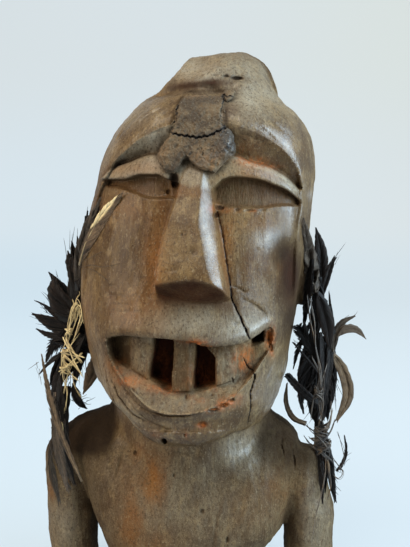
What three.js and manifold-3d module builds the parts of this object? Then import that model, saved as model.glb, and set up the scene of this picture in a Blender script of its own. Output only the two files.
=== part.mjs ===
// Bust of a carved wooden power figure: head with a topknot, overhanging brow
// lobes, slit eyes, wedge nose and a mouth with three square-cut teeth, on a
// neck, shoulders and two upper-arm stubs cut off flat. A cracked resin crust
// sits on the forehead, and feathers tied with raffia hang from both ears.
//
// Millimetres, +Z up. The face looks along -Y, the viewer's right is +X, and
// the origin is at the middle of the flat underside. "v" below is the distance
// forward, that is -y.

import * as THREE from "three";
import Module from "manifold-3d";

// ---------------------------------------------------------------- main sizes
const TOP_Z = 231.6;              // top of the topknot
const CELL = 1.3;                 // grid step used to find the carved surface
const FIGURE_TRIANGLES = 5600;    // facets kept on the carving
const CHARGE_TRIANGLES = 520;     // facets kept on the resin crust
const GAP = 0.34;                 // clearance between pieces that touch

// cranium: superellipsoid cap over a lofted face
const CAP_Z = 176, CAP_H = 40, HEAD_N = 2.4;
const BROW_F = 46;                // forehead forward of the head axis
const LEAN_Z = 125, LEAN = 0.1;   // the head drifts to +X above this height

// topknot dome
const KNOT = { x: 11, z: 205, a: 27.7, front: 29.5, back: 33, h: 26.6, lean: 0.19, leanZ: 213 };

// nose
const NOSE_TOP = 181.6, NOSE_TIP = 60, NOSE_ROOT = 43.5;

// mouth
const MOUTH_L = -28.2, MOUTH_R = 36.6;

// arms
const ARM_L = { x: -55, r: 10.5 }, ARM_R = { x: 52.7, r: 10.8 };

// ------------------------------------------------------------ small helpers
const clamp = (x, a, b) => (x < a ? a : x > b ? b : x);
const mix = (a, b, t) => a + (b - a) * t;
const step = (a, b, x) => { const t = clamp((x - a) / (b - a), 0, 1); return t * t * (3 - 2 * t); };
const smin = (a, b, k) => { const h = clamp(0.5 + 0.5 * (b - a) / k, 0, 1); return mix(b, a, h) - k * h * (1 - h); };
const smax = (a, b, k) => -smin(-a, -b, k);
const hyp = (a, b) => Math.sqrt(a * a + b * b);

// smooth curve through a few named sizes (monotone cubic), flat past its ends
function curve(pairs) {
  const p = [...pairs].sort((a, b) => a[0] - b[0]);
  const n = p.length, d = [], m = [];
  for (let i = 0; i < n - 1; i++) d.push((p[i + 1][1] - p[i][1]) / (p[i + 1][0] - p[i][0]));
  for (let i = 0; i < n; i++) {
    if (i === 0) m.push(d[0]);
    else if (i === n - 1) m.push(d[n - 2]);
    else m.push(d[i - 1] * d[i] <= 0 ? 0 : 2 * d[i - 1] * d[i] / (d[i - 1] + d[i]));
  }
  return (x) => {
    if (x <= p[0][0]) return p[0][1];
    if (x >= p[n - 1][0]) return p[n - 1][1];
    let i = 0;
    while (x > p[i + 1][0]) i++;
    const h = p[i + 1][0] - p[i][0], t = (x - p[i][0]) / h;
    const t2 = t * t, t3 = t2 * t;
    return (2 * t3 - 3 * t2 + 1) * p[i][1] + (t3 - 2 * t2 + t) * h * m[i]
      + (3 * t2 - 2 * t3) * p[i + 1][1] + (t3 - t2) * h * m[i + 1];
  };
}

// ------------------------------------------------------------ named profiles
// head: half width, face depth and back depth by height
const headHalf = curve([[60, 32.0], [72, 33.2], [82, 35.3], [92, 39.2], [102.5, 42.2], [114, 44.6], [126, 46.3], [140, 47.5], [160, 47.9], [176, 47.6]]);
const faceDepth = curve([[70, 45], [76, 47], [84, 49.5], [89, 51.5], [96, 50.5], [106, 50], [116, 50.8], [126, 48.3], [138, 45.2], [150, 43.4], [164, 41.8], [176, 41.2]]);
// narrowing of the cranium on the viewer's left, swelling of the jaw on the right
const leftTrim = curve([[148, 0], [158, 0.035], [165, 0.05], [172, 0.075], [180, 0.10], [187.5, 0.125], [194.7, 0.15], [200.4, 0.155], [206, 0.15], [216, 0.14]]);
const jawSwell = curve([[76, 0], [81, 0.035], [86, 0.045], [92, 0.025], [98, 0.015], [104, 0]]);
const backDepth = curve([[60, 24], [90, 27], [104, 32], [120, 39], [140, 45.5], [160, 48.5], [176, 49]]);

// brow lobes, lids and eye slits: heights across the face
const browEdge = curve([[-38, 170], [-33, 174.5], [-29.2, 179.3], [-25.8, 184.3], [-19.8, 189.2], [-13.6, 193.3], [-4.8, 197], [6, 199.2], [18, 198.3], [26.2, 195.8], [34.6, 192], [40.7, 187.4], [44.9, 181.8], [47, 175], [49, 168]]);
const lidTop = curve([[-34, 176.5], [-26.3, 182.1], [-19.1, 184.1], [-12, 186.3], [6, 187.5], [21.8, 185.8], [26.6, 183.8], [35.1, 181.4], [40.8, 178.1], [46, 173]]);
const lidEdge = curve([[-31, 176.9], [-22, 176.9], [-13.7, 178.5], [-7.8, 178.5], [-3.5, 176.5], [5, 174], [13, 173.2], [17, 176.4], [21, 177.4], [28.4, 176.9], [35.2, 175], [41.6, 172.3], [47, 168]]);
const eyeFoot = curve([[-31, 174.2], [-23.2, 173.1], [-17.3, 171.2], [-9.8, 169.2], [-3.5, 169.6], [5, 170], [12.5, 168.8], [18.7, 166.3], [32.6, 165.8], [37.9, 166.6], [47, 166.4]]);
const rimLeft = curve([[118, -44], [126, -42.5], [136, -41], [150, -39.5], [165, -36.2], [174, -32.6], [180, -30.2]]);
const rimRight = curve([[118, 46], [126, 44.8], [136, 44.9], [150, 45.2], [160, 45.6], [166, 46.4], [176, 46], [182, 44.9]]);

// nose: edges and ridge by height
const noseLeft = curve([[128, -8.2], [137.6, -7.3], [144.8, -6.6], [151.9, -5.2], [160.5, -2.9], [169.7, 0.1], [178.1, 2.7], [182, 5]]);
const noseRight = curve([[128, 20.6], [132.4, 20.1], [138.5, 19.1], [144.8, 17.6], [155.5, 15.5], [167.5, 13.3], [176.7, 12.2], [182, 10]]);
const noseRidge = curve([[128, 15.6], [139.1, 14.6], [144.6, 12.6], [153.8, 10.4], [160.7, 8.9], [169.7, 9.2], [178.7, 9.8]]);
const noseHeight = curve([[128, 61], [139, NOSE_TIP], [150, 56], [160, 52], [170, 48], [178, 45], [182, NOSE_ROOT]]);
const noseUnder = curve([[-8, 0.26], [0, 0.50], [7, 0.68], [14, 0.54], [20, 0.24]]);
const noseFoot = curve([[-8, 137.8], [-1, 139.2], [6, 139.9], [13, 138.8], [20, 135.8]]);

// mouth: lip edges, teeth line and chin by position across the face
const upperLip = curve([[-28.2, 114.6], [-25, 115.9], [-18.9, 116.8], [-7.7, 116.3], [3, 115.7], [11, 113.4], [17.7, 113.2], [25, 114.2], [30.7, 116.7], [34.9, 119.4], [36.6, 118.4]]);
const lowerRim = curve([[-28.2, 111.5], [-27.2, 107.4], [-22.6, 100.3], [-16.4, 94.6], [-9.1, 89.6], [-1.8, 88], [7.1, 88.4], [14.3, 90.8], [21.5, 94.1], [27.3, 99.3], [31.6, 105.5], [35.1, 110.7], [36.6, 115.5]]);
const teethFoot = curve([[-27, 105.5], [-19.5, 103.2], [-12, 99.6], [-1.4, 95], [6.1, 95.3], [16.7, 97.9], [28.3, 101.4], [35, 109]]);
const chinEdge = curve([[-34, 92], [-28, 88], [-21.7, 84], [-17, 78.9], [-12, 74.6], [-4.7, 72.3], [2.5, 72.2], [9.6, 73.1], [16.7, 75.2], [23.7, 76.6], [31.1, 76.2], [37, 77.5]]);

// shoulders and chest by height: left edge, right edge, front, back
const bodyLeft = curve([[-8, -30], [0, -31.5], [14, -35.5], [26.5, -40.7], [34.7, -44.2], [42, -46.6], [55, -51], [65, -53], [71, -48], [76.4, -37]]);
const bodyRight = curve([[-8, 28.6], [0, 29.2], [17.6, 33.2], [24, 38.5], [29, 42.4], [42, 45.5], [55, 47.5], [64, 47.5], [70, 43.5], [76, 34]]);
const bodyFront = curve([[-8, 35], [0, 34.6], [27, 33.4], [40, 31], [53, 27], [62, 22], [70, 15], [77, 8]]);
const bodyBack = curve([[-8, 27.5], [0, 27.5], [30, 30], [46, 30], [60, 26.5], [70, 20], [77, 10]]);

// resin crust on the forehead
const crustLeft = curve([[178.5, -4.4], [182.6, -7.1], [186, -8.2], [189, -7.2], [193, -3.6], [199.4, -1.8], [203.5, -1.3], [210, 1.4]]);
const crustRight = curve([[179, 15.5], [181.4, 17], [184.3, 19.6], [186.2, 22], [191.4, 21.2], [195, 19.7], [197, 17.9], [203.3, 17.3], [206, 17.4], [208, 20.2], [211, 20.6], [212.6, 18]]);
const crustFoot = curve([[-7.6, 183], [-4, 179.4], [-1.3, 179.3], [1, 181.9], [2.8, 184.4], [5.4, 185], [8.3, 182.6], [11, 180.2], [13.6, 179.2], [16.3, 181.4], [18.9, 184.3], [22, 186.4]]);
const crustFace = curve([[178, 45.2], [184, 44.8], [188, 44.0], [192, 43.0], [196, 42.1], [198, 41.5], [200, 40.7], [202, 39.6], [204, 37.9], [206, 35.8], [208, 33.4], [211, 29.8]]);

// ------------------------------------------------------------ carved surface
const headCentre = (z) => LEAN * (hyp(Math.max(z - LEAN_Z, 0), 4) - 4);

function underBrow(x, z) {
  // how far up the brow's sloping underside: 0 at the crease above the lid, 1 at its edge
  const b = browEdge(x), t = Math.min(lidTop(x), b - 1.4);
  return clamp((z - t) / (b - t), 0, 1);
}

function browBlend(x, z) {
  // 1 on the forehead lobes and on the smooth side of the head, 0 on the face
  const overBrow = Math.pow(underBrow(x, z), 1.15);
  const s = step(118, 132, z);
  const side = Math.max(step(-0.9, 0.9, x - rimRight(z)), step(-0.9, 0.9, rimLeft(z) - x)) * s;
  return Math.max(overBrow, side);
}

function faceCut(x, z) {
  // depth of the carving below the lofted face, in mm
  let d = 0;
  // underside of the brow, deepest in the crease above the lid
  if (z > 160) {
    const b = browEdge(x), t = lidTop(x), l = lidEdge(x), e = eyeFoot(x);
    const band = step(-0.6, 0.9, z - t) * (1 - step(-0.7, 0.7, z - b));
    d += band * (0.3 + 3.4 * (1 - underBrow(x, z)) ** 1.3);
    // lid: a rounded shelf above the slit
    const q = clamp((z - l) / Math.max(t - l, 1), 0, 1);
    const lid = step(-0.5, 0.5, z - l) * (1 - step(-0.5, 0.9, z - t)) * step(-36, -31, x) * (1 - step(43.5, 47.5, x));
    d -= lid * (2.4 * Math.sqrt(Math.max(0, 1 - (q - 0.12) * (q - 0.12) / 0.81)) - 1.3 * q * q);
    // slit
    const inner = 1 - step(-4.2, -2.6, x) * (1 - step(11.6, 13.2, x));
    const ends = step(-32.5, -29.5, x) * (1 - step(44.5, 47.5, x));
    const slit = step(-0.7, 1.1, z - e) * (1 - step(-0.5, 0.5, z - l));
    const rise = clamp((z - e) / Math.max(l - e, 1), 0, 1);
    d += slit * ends * mix(1.9, mix(2.3, 3.9, rise), inner);
  }
  // hollow where the cheek turns up to the rim at the side of the head
  d += 2.1 * step(36, 43, x) * (1 - step(43.6, 45.5, x)) * step(124, 131, z) * (1 - step(147, 155, z));
  // inside of the mouth
  if (z < 124 && z > 80) {
    const u = upperLip(x), r = lowerRim(x), f = teethFoot(x);
    const inX = step(MOUTH_L - 0.3, MOUTH_L + 1, x) * (1 - step(MOUTH_R - 1, MOUTH_R + 0.3, x));
    const under = 1 - step(-0.7, 0.5, z - u);
    const above = step(-0.4, 0.5, z - r);
    if (inX * under * above > 0) {
      const back = step(f - 0.7, f + 0.7, z);          // above the foot of the teeth
      const ledge = 1 + 5.6 * clamp((z - r) / Math.max(f - r, 2), 0, 1);
      const lipShade = (3.4 + 1.2 * step(0, 3.5, u - z)) * (1 - 0.55 * step(28, 34, x));  // behind the upper lip
      let deep = 16.5;
      // three teeth left standing, and the broken corner at the right
      const tooth = (a, b, dd) => { const k = step(a - 0.5, a + 0.5, x) * (1 - step(b - 0.5, b + 0.5, x)); deep = mix(deep, dd, k); };
      tooth(-30, -18, 7.6);
      tooth(-19.2, -11, 5.4);
      tooth(-2.2, 6.9, 4.9 + 0.32 * Math.abs(x - 4.5));
      tooth(14, 23.4, 4.8 + 0.22 * Math.abs(z - 105.4));
      tooth(22.4, 38, mix(7.4, 2.6, step(26, 35, x)));
      const notch = step(27.4, 28.6, x) * (1 - step(32.2, 33.4, x)) * step(112.2, 113.4, z - 0.35 * (x - 30));
      deep = mix(deep, 13.5, notch);
      const inside = mix(ledge, Math.max(deep, lipShade), back);
      d += inX * under * above * inside;
    }
  }
  // the upper lip rolls in at its edge
  if (z < 124 && z > 80) {
    const over = z - upperLip(x);
    const roll = step(MOUTH_L - 4, MOUTH_L + 4, x) * (1 - step(MOUTH_R - 5, MOUTH_R + 1, x));
    if (over > 0) d += roll * 1.4 * clamp(1 - over / 3.8, 0, 1) ** 2;
  }
  // lip rim stands a little proud of the chin below it
  const below = lowerRim(x) - z;
  d += 1.7 * step(0.1, 1.1, below) * (1 - step(3, 17, below)) * (1 - step(27, 35, Math.abs(x - 4)));
  return d;
}

function headField(x, v, z) {
  let u = x - headCentre(z);
  u *= u < 0 ? 1 + leftTrim(z) : 1 - jawSwell(z);
  const a = z < CAP_Z ? headHalf(z) : 47.6;
  const b = z < CAP_Z ? backDepth(z) : 49;
  let f, vv = v;
  if (v > 0) {
    const blend = browBlend(x, z);
    const brow = z > CAP_Z - 14 ? BROW_F : mix(faceDepth(z) + 3.6, BROW_F, step(130, CAP_Z - 14, z));
    const face = z < CAP_Z ? faceDepth(z) : 41.2 - 0.05 * (z - CAP_Z);
    f = mix(face, brow, blend);
    // the lobes roll over at their lower edge
    const e = z - browEdge(x);
    if (e > 0 && e < 4) f -= 0.9 * (1 - e / 4) * (1 - e / 4);
    vv = v + faceCut(x, z) * step(4, 16, v);
    if (vv < 0) vv = 0;
  } else { f = b; vv = -v; }
  const p = Math.abs(u) / a, q = vv / f;
  const h = z > CAP_Z ? (z - CAP_Z) / CAP_H : 0;
  const n = HEAD_N;
  const s = Math.pow(Math.pow(p, n) + Math.pow(q, n) + Math.pow(h, n), 1 / n);
  const sp = Math.pow(s + 1e-6, 1 - n);
  const gu = Math.pow(p, n - 1) / a * sp, gv = Math.pow(q, n - 1) / f * sp, gh = Math.pow(h, n - 1) / CAP_H * sp;
  let d = (s - 1) / Math.max(Math.sqrt(gu * gu + gv * gv + gh * gh), 0.012);
  // underside of the jaw and nape
  const jaw = chinEdge(x) - 0.0 * v;
  const cut = v > 0 ? jaw - z : mix(jaw, 78, step(0, -30, v)) - z;
  return smax(d, cut, 5);
}

function knotField(x, v, z) {
  const cx = KNOT.x + KNOT.lean * (z - KNOT.leanZ);
  const a = KNOT.a, f = v > 0 ? KNOT.front : KNOT.back, h = KNOT.h;
  const px = (x - cx) / a, pv = v / f, pz = (z - KNOT.z) / h;
  const s = Math.sqrt(px * px + pv * pv + pz * pz);
  const g = Math.sqrt(px * px / (a * a) + pv * pv / (f * f) + pz * pz / (h * h)) / Math.max(s, 1e-6);
  let d = (s - 1) / Math.max(g, 0.02);
  // broad knife facets
  const facet = (ax, av, az, off) => { d = smax(d, (x - cx) * ax + v * av + (z - KNOT.z) * az - off, 0.5); };
  facet(-0.30, 0.60, 0.742, 25.9);
  facet(0.42, 0.60, 0.681, 27.1);
  facet(-0.82, 0.20, 0.536, 24.6);
  facet(0.80, 0.20, 0.566, 26.1);
  facet(-0.10, 0.10, 0.990, 24.4);
  facet(-0.55, -0.35, 0.758, 24.9);
  facet(0.50, -0.50, 0.707, 27.2);
  return d;
}

function noseField(x, v, z) {
  const foot = noseFoot(x), ridge = noseRidge(z), top = noseHeight(z);
  const front = (v - (top - 0.10 * Math.max(ridge - x, 0))) * 0.97;
  const right = (v - top + 0.95 * (x - ridge)) * 0.72;
  const wl = (noseLeft(z) - x) + 0.12 * (v - 50);
  const wr = (x - noseRight(z)) + 0.10 * (v - 50);
  const under = (foot - z) * 0.80 + (v - 59) * noseUnder(x);
  const crown = (z - NOSE_TOP) * 0.9 + (v - 44) * 0.3;
  let d = smax(front, right, 0.8);
  d = smax(d, wl, 1.0);
  d = smax(d, wr, 0.8);
  d = smax(d, under, 0.9);
  d = smax(d, crown, 2.0);
  return Math.max(d, 25 - v);
}

function loft(x, v, z, left, right, front, back, n) {
  const cx = (left + right) / 2, a = (right - left) / 2, f = v > 0 ? front : back;
  const p = Math.abs(x - cx) / a, q = Math.abs(v) / f;
  const s = Math.pow(Math.pow(p, n) + Math.pow(q, n), 1 / n), sp = Math.pow(s + 1e-6, 1 - n);
  const gu = Math.pow(p, n - 1) / a * sp, gv = Math.pow(q, n - 1) / f * sp;
  return (s - 1) / Math.max(hyp(gu, gv), 0.012);
}

const neckHalf = curve([[50, 32.5], [58, 33], [68, 34.2], [78, 34], [92, 31]]);
const neckFront = curve([[50, 28.5], [58, 28], [70, 26.8], [92, 26]]);

function neckField(x, v, z) {
  const a = neckHalf(z), d = loft(x + 0.4, v, z, -a, a, neckFront(z), 26, 2.2);
  return Math.max(d, 44 - z, z - 100);
}

function bodyField(x, v, z) {
  const d = loft(x, v, z, bodyLeft(z), bodyRight(z), bodyFront(z), bodyBack(z), 2.7) * 0.92;
  return smax(d, z - 77, 3);
}

function capsule(x, v, z, ax, av, az, bx, bv, bz, ra, rb, squash) {
  const dx = bx - ax, dv = bv - av, dz = bz - az;
  const t = clamp(((x - ax) * dx + (v - av) * dv + (z - az) * dz) / (dx * dx + dv * dv + dz * dz), 0, 1);
  const ex = x - ax - dx * t, ev = (v - av - dv * t) / squash, ez = z - az - dz * t;
  return Math.sqrt(ex * ex + ev * ev + ez * ez) - mix(ra, rb, t);
}

function armField(x, v, z) {
  const l = Math.min(
    capsule(x, v, z, ARM_L.x - 0.3, 1, 53, ARM_L.x + 0.8, 1.5, -20, 11.6, ARM_L.r - 0.7, 1.12),
    capsule(x, v, z, -46, 0, 61.5, ARM_L.x - 0.3, 1, 53.5, 11, 11.6, 1.12));
  const r = Math.min(
    capsule(x, v, z, ARM_R.x - 4.2, 1, 50, ARM_R.x, 1.5, 33, 10.8, ARM_R.r, 1.16),
    capsule(x, v, z, ARM_R.x, 1.5, 33, ARM_R.x, 1.5, -20, ARM_R.r, ARM_R.r, 1.16));
  return Math.min(l, r);
}

function earField(x, v, z) {
  // small pierced C-shaped lugs
  const one = (cx, cz, s) => {
    const px = (x - cx) / 5.4, pv = (v - 1.5) / 7, pz = (z - cz) / 12.5;
    const r = Math.sqrt(px * px + pv * pv + pz * pz);
    let d = (r - 1) * 5.6;
    const hx = (x - cx - s * 4.6), hv = (v - 4) / 1.5, hz = (z - cz) / 3;
    d = smax(d, -(Math.sqrt(hx * hx + hv * hv + hz * hz) - 2.2), 0.8);
    return d;
  };
  return Math.min(one(-47.4, 131, -1), one(48.4, 136, 1));
}

function figureField(x, v, z) {
  let d = headField(x, v, z);
  if (z > 195) {
    // crisp crease at the front left of the dome, soft blend at the right
    const k = mix(2.0, 7, step(15, 24, x) * step(2, 16, v));
    d = smin(d, knotField(x, v, z), k);
    // crease cut under the dome
    const cz = 212.6 - 0.012 * (x - 2) * (x - 2) + 0.05 * x;
    const groove = step(-16, -9, x) * (1 - step(13, 17, x)) * step(6, 16, v);
    d += 1.3 * groove * Math.exp(-((z - cz) * (z - cz)) / 2.2);
  }
  if (z > 120 && v > 20) d = smin(d, noseField(x, v, z), 0.7);
  if (z < 112) {
    let b = smin(bodyField(x, v, z), armField(x, v, z), 3.5);
    b = smin(b, neckField(x, v, z), mix(6, 1.6, step(6, 18, v)));
    d = smin(d, b, 2.2);
  }
  if (Math.abs(x) > 36 && z > 112 && z < 155) d = smin(d, earField(x, v, z), 1.6);
  return Math.max(d, -5 - z);
}

// resin crust: everything between the carving and the crust's own face
function crustField(x, v, z) {
  const carved = figureField(x, v, z);
  const u = x - headCentre(z);
  const round = Math.pow(Math.max(0, 1 - Math.pow(Math.abs(u) / 47.6, HEAD_N)), 1 / HEAD_N);
  let d = (v - crustFace(z) * round) * 0.9;
  d = smax(d, crustLeft(z) - x, 0.9);
  d = smax(d, x - crustRight(z), 0.9);
  const topLine = mix(209.2, 211.6, step(15, 17, x));
  d = smax(d, z - topLine, 0.9);
  d = smax(d, (crustFoot(x) - z) * 0.9, 0.9);
  return Math.max(d, 0.1 - carved, 24 - v);
}

// --------------------------------------------------- surface of a field
// Each grid cube is parted into six tetrahedra along its diagonal, and the
// surface crosses each one in a triangle or a quad, so it is always closed.
function surface(field, lo, hi, cell) {
  const [nx, ny, nz] = [0, 1, 2].map((i) => Math.ceil((hi[i] - lo[i]) / cell) + 1);
  const val = new Float32Array(nx * ny * nz);
  for (let k = 0, i = 0; k < nz; k++) for (let j = 0; j < ny; j++) for (let l = 0; l < nx; l++, i++)
    val[i] = field(lo[0] + l * cell, -(lo[1] + j * cell), lo[2] + k * cell) || 1e-6;
  const off = [0, 1, nx, nx + 1, nx * ny, nx * ny + 1, nx * ny + nx, nx * ny + nx + 1];
  const tets = [[0, 1, 3, 7], [0, 3, 2, 7], [0, 2, 6, 7], [0, 6, 4, 7], [0, 4, 5, 7], [0, 5, 1, 7]];
  const pos = [], tri = [], seen = new Map();
  const place = (c, p, q) => {
    if (p > q) [p, q] = [q, p];
    const a = c + off[p], b = c + off[q], key = a * 8 + (q - p);
    let v = seen.get(key);
    if (v !== undefined) return v;
    const t = clamp(val[a] / (val[a] - val[b]), 0.06, 0.94);
    const l = a % nx, j = Math.floor(a / nx) % ny, k = Math.floor(a / (nx * ny)), d = q - p;
    v = pos.length / 3;
    pos.push(lo[0] + (l + (d & 1) * t) * cell, lo[1] + (j + ((d >> 1) & 1) * t) * cell, lo[2] + (k + (d >> 2) * t) * cell);
    seen.set(key, v);
    return v;
  };
  const face = (a, b, c, g) => {
    a *= 3; b *= 3; c *= 3;
    const ux = pos[b] - pos[a], uy = pos[b + 1] - pos[a + 1], uz = pos[b + 2] - pos[a + 2];
    const wx = pos[c] - pos[a], wy = pos[c + 1] - pos[a + 1], wz = pos[c + 2] - pos[a + 2];
    const s = (uy * wz - uz * wy) * g[0] + (uz * wx - ux * wz) * g[1] + (ux * wy - uy * wx) * g[2];
    if (s > 0) tri.push(a / 3, b / 3, c / 3); else tri.push(a / 3, c / 3, b / 3);
  };
  const bits = (q) => [q & 1, (q >> 1) & 1, q >> 2];
  for (let k = 0; k < nz - 1; k++) for (let j = 0; j < ny - 1; j++) for (let l = 0; l < nx - 1; l++) {
    const c = l + nx * (j + ny * k);
    let m = 0;
    for (let q = 0; q < 8; q++) if (val[c + off[q]] < 0) m++;
    if (m === 0 || m === 8) continue;
    for (const t of tets) {
      const neg = t.filter((q) => val[c + off[q]] < 0), plus = t.filter((q) => val[c + off[q]] >= 0);
      if (!neg.length || !plus.length) continue;
      const g = [0, 0, 0];
      for (const q of plus) bits(q).forEach((x, i) => { g[i] += x / plus.length; });
      for (const q of neg) bits(q).forEach((x, i) => { g[i] -= x / neg.length; });
      if (neg.length === 1) face(place(c, neg[0], plus[0]), place(c, neg[0], plus[1]), place(c, neg[0], plus[2]), g);
      else if (plus.length === 1) face(place(c, plus[0], neg[0]), place(c, plus[0], neg[1]), place(c, plus[0], neg[2]), g);
      else {
        const v = [place(c, neg[0], plus[0]), place(c, neg[0], plus[1]), place(c, neg[1], plus[1]), place(c, neg[1], plus[0])];
        face(v[0], v[1], v[2], g); face(v[0], v[2], v[3], g);
      }
    }
  }
  return { pos, tri };
}

// --------------------------------------------------- fewer, larger facets
// Repeated edge collapse by quadric error, keeping the surface closed.
function simplify({ pos, tri }, target) {
  const nv = pos.length / 3, P = Float64Array.from(pos), T = Int32Array.from(tri), nt = T.length / 3;
  const Q = new Float64Array(nv * 10), faces = Array.from({ length: nv }, () => []);
  const alive = new Uint8Array(nt).fill(1), stamp = new Int32Array(nv);
  const normal = (a, b, c, out) => {
    const ux = P[b] - P[a], uy = P[b + 1] - P[a + 1], uz = P[b + 2] - P[a + 2];
    const wx = P[c] - P[a], wy = P[c + 1] - P[a + 1], wz = P[c + 2] - P[a + 2];
    out[0] = uy * wz - uz * wy; out[1] = uz * wx - ux * wz; out[2] = ux * wy - uy * wx;
    return Math.hypot(out[0], out[1], out[2]);
  };
  const N = [0, 0, 0];
  for (let t = 0; t < nt; t++) {
    const a = T[3 * t], b = T[3 * t + 1], c = T[3 * t + 2], len = normal(3 * a, 3 * b, 3 * c, N);
    faces[a].push(t); faces[b].push(t); faces[c].push(t);
    if (len < 1e-12) continue;
    const x = N[0] / len, y = N[1] / len, z = N[2] / len, w = len / 2;
    const d = -(x * P[3 * a] + y * P[3 * a + 1] + z * P[3 * a + 2]);
    const q = [x * x, x * y, x * z, x * d, y * y, y * z, y * d, z * z, z * d, d * d];
    for (const v of [a, b, c]) for (let i = 0; i < 10; i++) Q[v * 10 + i] += q[i] * w;
  }
  const q = new Float64Array(10);
  const err = (x, y, z) => q[0] * x * x + 2 * q[1] * x * y + 2 * q[2] * x * z + 2 * q[3] * x + q[4] * y * y
    + 2 * q[5] * y * z + 2 * q[6] * y + q[7] * z * z + 2 * q[8] * z + q[9];
  const best = [0, 0, 0];
  const cost = (a, b) => {
    for (let i = 0; i < 10; i++) q[i] = Q[a * 10 + i] + Q[b * 10 + i];
    const mx = (P[3 * a] + P[3 * b]) / 2, my = (P[3 * a + 1] + P[3 * b + 1]) / 2, mz = (P[3 * a + 2] + P[3 * b + 2]) / 2;
    // small pull to the middle of the edge keeps the solve steady on flats
    const k = 1e-3 * (q[0] + q[4] + q[7]) + 1e-9;
    const A = q[0] + k, B = q[1], C = q[2], D = q[4] + k, E = q[5], F = q[7] + k;
    const r0 = -q[3] + k * mx, r1 = -q[6] + k * my, r2 = -q[8] + k * mz;
    const c00 = D * F - E * E, c01 = C * E - B * F, c02 = B * E - C * D;
    const det = A * c00 + B * c01 + C * c02;
    let x, y, z;
    if (Math.abs(det) > 1e-14) {
      x = (c00 * r0 + c01 * r1 + c02 * r2) / det;
      y = (c01 * r0 + (A * F - C * C) * r1 + (B * C - A * E) * r2) / det;
      z = (c02 * r0 + (B * C - A * E) * r1 + (A * D - B * B) * r2) / det;
    }
    const len = Math.hypot(P[3 * a] - P[3 * b], P[3 * a + 1] - P[3 * b + 1], P[3 * a + 2] - P[3 * b + 2]);
    if (!(Math.hypot(x - mx, y - my, z - mz) < 1.5 * len)) { x = mx; y = my; z = mz; }
    best[0] = x; best[1] = y; best[2] = z;
    return Math.max(err(x, y, z), 0) + 1e-5 * len * len;
  };
  // binary heap of edges
  const hc = [], ha = [], hb = [], hs = [];
  const swap = (i, j) => { for (const h of [hc, ha, hb, hs]) { const t = h[i]; h[i] = h[j]; h[j] = t; } };
  const push = (a, b) => {
    hc.push(cost(a, b)); ha.push(a); hb.push(b); hs.push(stamp[a] + stamp[b]);
    let i = hc.length - 1;
    while (i > 0) { const p = (i - 1) >> 1; if (hc[p] <= hc[i]) break; swap(i, p); i = p; }
  };
  const pop = () => {
    const r = [ha[0], hb[0], hs[0]], last = hc.length - 1;
    swap(0, last); hc.pop(); ha.pop(); hb.pop(); hs.pop();
    let i = 0;
    for (;;) {
      const l = 2 * i + 1, m = l + 1; let s = i;
      if (l < last && hc[l] < hc[s]) s = l;
      if (m < last && hc[m] < hc[s]) s = m;
      if (s === i) break;
      swap(i, s); i = s;
    }
    return r;
  };
  const ring = (v) => { const s = new Set(); for (const t of faces[v]) for (let i = 0; i < 3; i++) if (T[3 * t + i] !== v) s.add(T[3 * t + i]); return s; };
  for (let v = 0; v < nv; v++) for (const w of ring(v)) if (v < w) push(v, w);
  let count = nt;
  const N2 = [0, 0, 0];
  while (count > target && hc.length) {
    const [a, b, s] = pop();
    if (!faces[a].length || !faces[b].length || s !== stamp[a] + stamp[b]) continue;
    const ra = ring(a); if (!ra.has(b)) continue;
    const rb = ring(b); let common = 0;
    for (const w of ra) if (rb.has(w)) common++;
    if (common !== 2) continue;
    cost(a, b);
    const [x, y, z] = best;
    let ok = true;
    for (const [v, o] of [[a, b], [b, a]]) {
      for (const t of faces[v]) {
        const i0 = T[3 * t], i1 = T[3 * t + 1], i2 = T[3 * t + 2];
        if (i0 === o || i1 === o || i2 === o) continue;
        const l1 = normal(3 * i0, 3 * i1, 3 * i2, N);
        const sx = P[3 * v], sy = P[3 * v + 1], sz = P[3 * v + 2];
        P[3 * v] = x; P[3 * v + 1] = y; P[3 * v + 2] = z;
        const l2 = normal(3 * i0, 3 * i1, 3 * i2, N2);
        let per = 0;
        for (const [e, g] of [[i0, i1], [i1, i2], [i2, i0]]) per += (P[3 * e] - P[3 * g]) ** 2 + (P[3 * e + 1] - P[3 * g + 1]) ** 2 + (P[3 * e + 2] - P[3 * g + 2]) ** 2;
        P[3 * v] = sx; P[3 * v + 1] = sy; P[3 * v + 2] = sz;
        if (l2 < 0.03 * per || (N[0] * N2[0] + N[1] * N2[1] + N[2] * N2[2]) < 0.25 * l1 * l2) { ok = false; break; }
      }
      if (!ok) break;
    }
    if (!ok) continue;
    P[3 * a] = x; P[3 * a + 1] = y; P[3 * a + 2] = z;
    for (let i = 0; i < 10; i++) Q[a * 10 + i] += Q[b * 10 + i];
    for (const t of faces[b]) {
      if (T[3 * t] === a || T[3 * t + 1] === a || T[3 * t + 2] === a) {
        alive[t] = 0; count--;
        for (let i = 0; i < 3; i++) { const w = T[3 * t + i]; if (w !== b) faces[w].splice(faces[w].indexOf(t), 1); }
      } else {
        for (let i = 0; i < 3; i++) if (T[3 * t + i] === b) T[3 * t + i] = a;
        faces[a].push(t);
      }
    }
    faces[b] = [];
    stamp[a]++;
    for (const w of ring(a)) { if (a < w) push(a, w); else push(w, a); }
  }
  const map = new Int32Array(nv).fill(-1), op = [], ot = [];
  for (let t = 0; t < nt; t++) if (alive[t]) for (let i = 0; i < 3; i++) {
    const v = T[3 * t + i];
    if (map[v] < 0) { map[v] = op.length / 3; op.push(P[3 * v], P[3 * v + 1], P[3 * v + 2]); }
    ot.push(map[v]);
  }
  return { pos: op, tri: ot };
}

// ------------------------------------------------------------ solids
const wasm = await Module();
wasm.setup();

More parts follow.
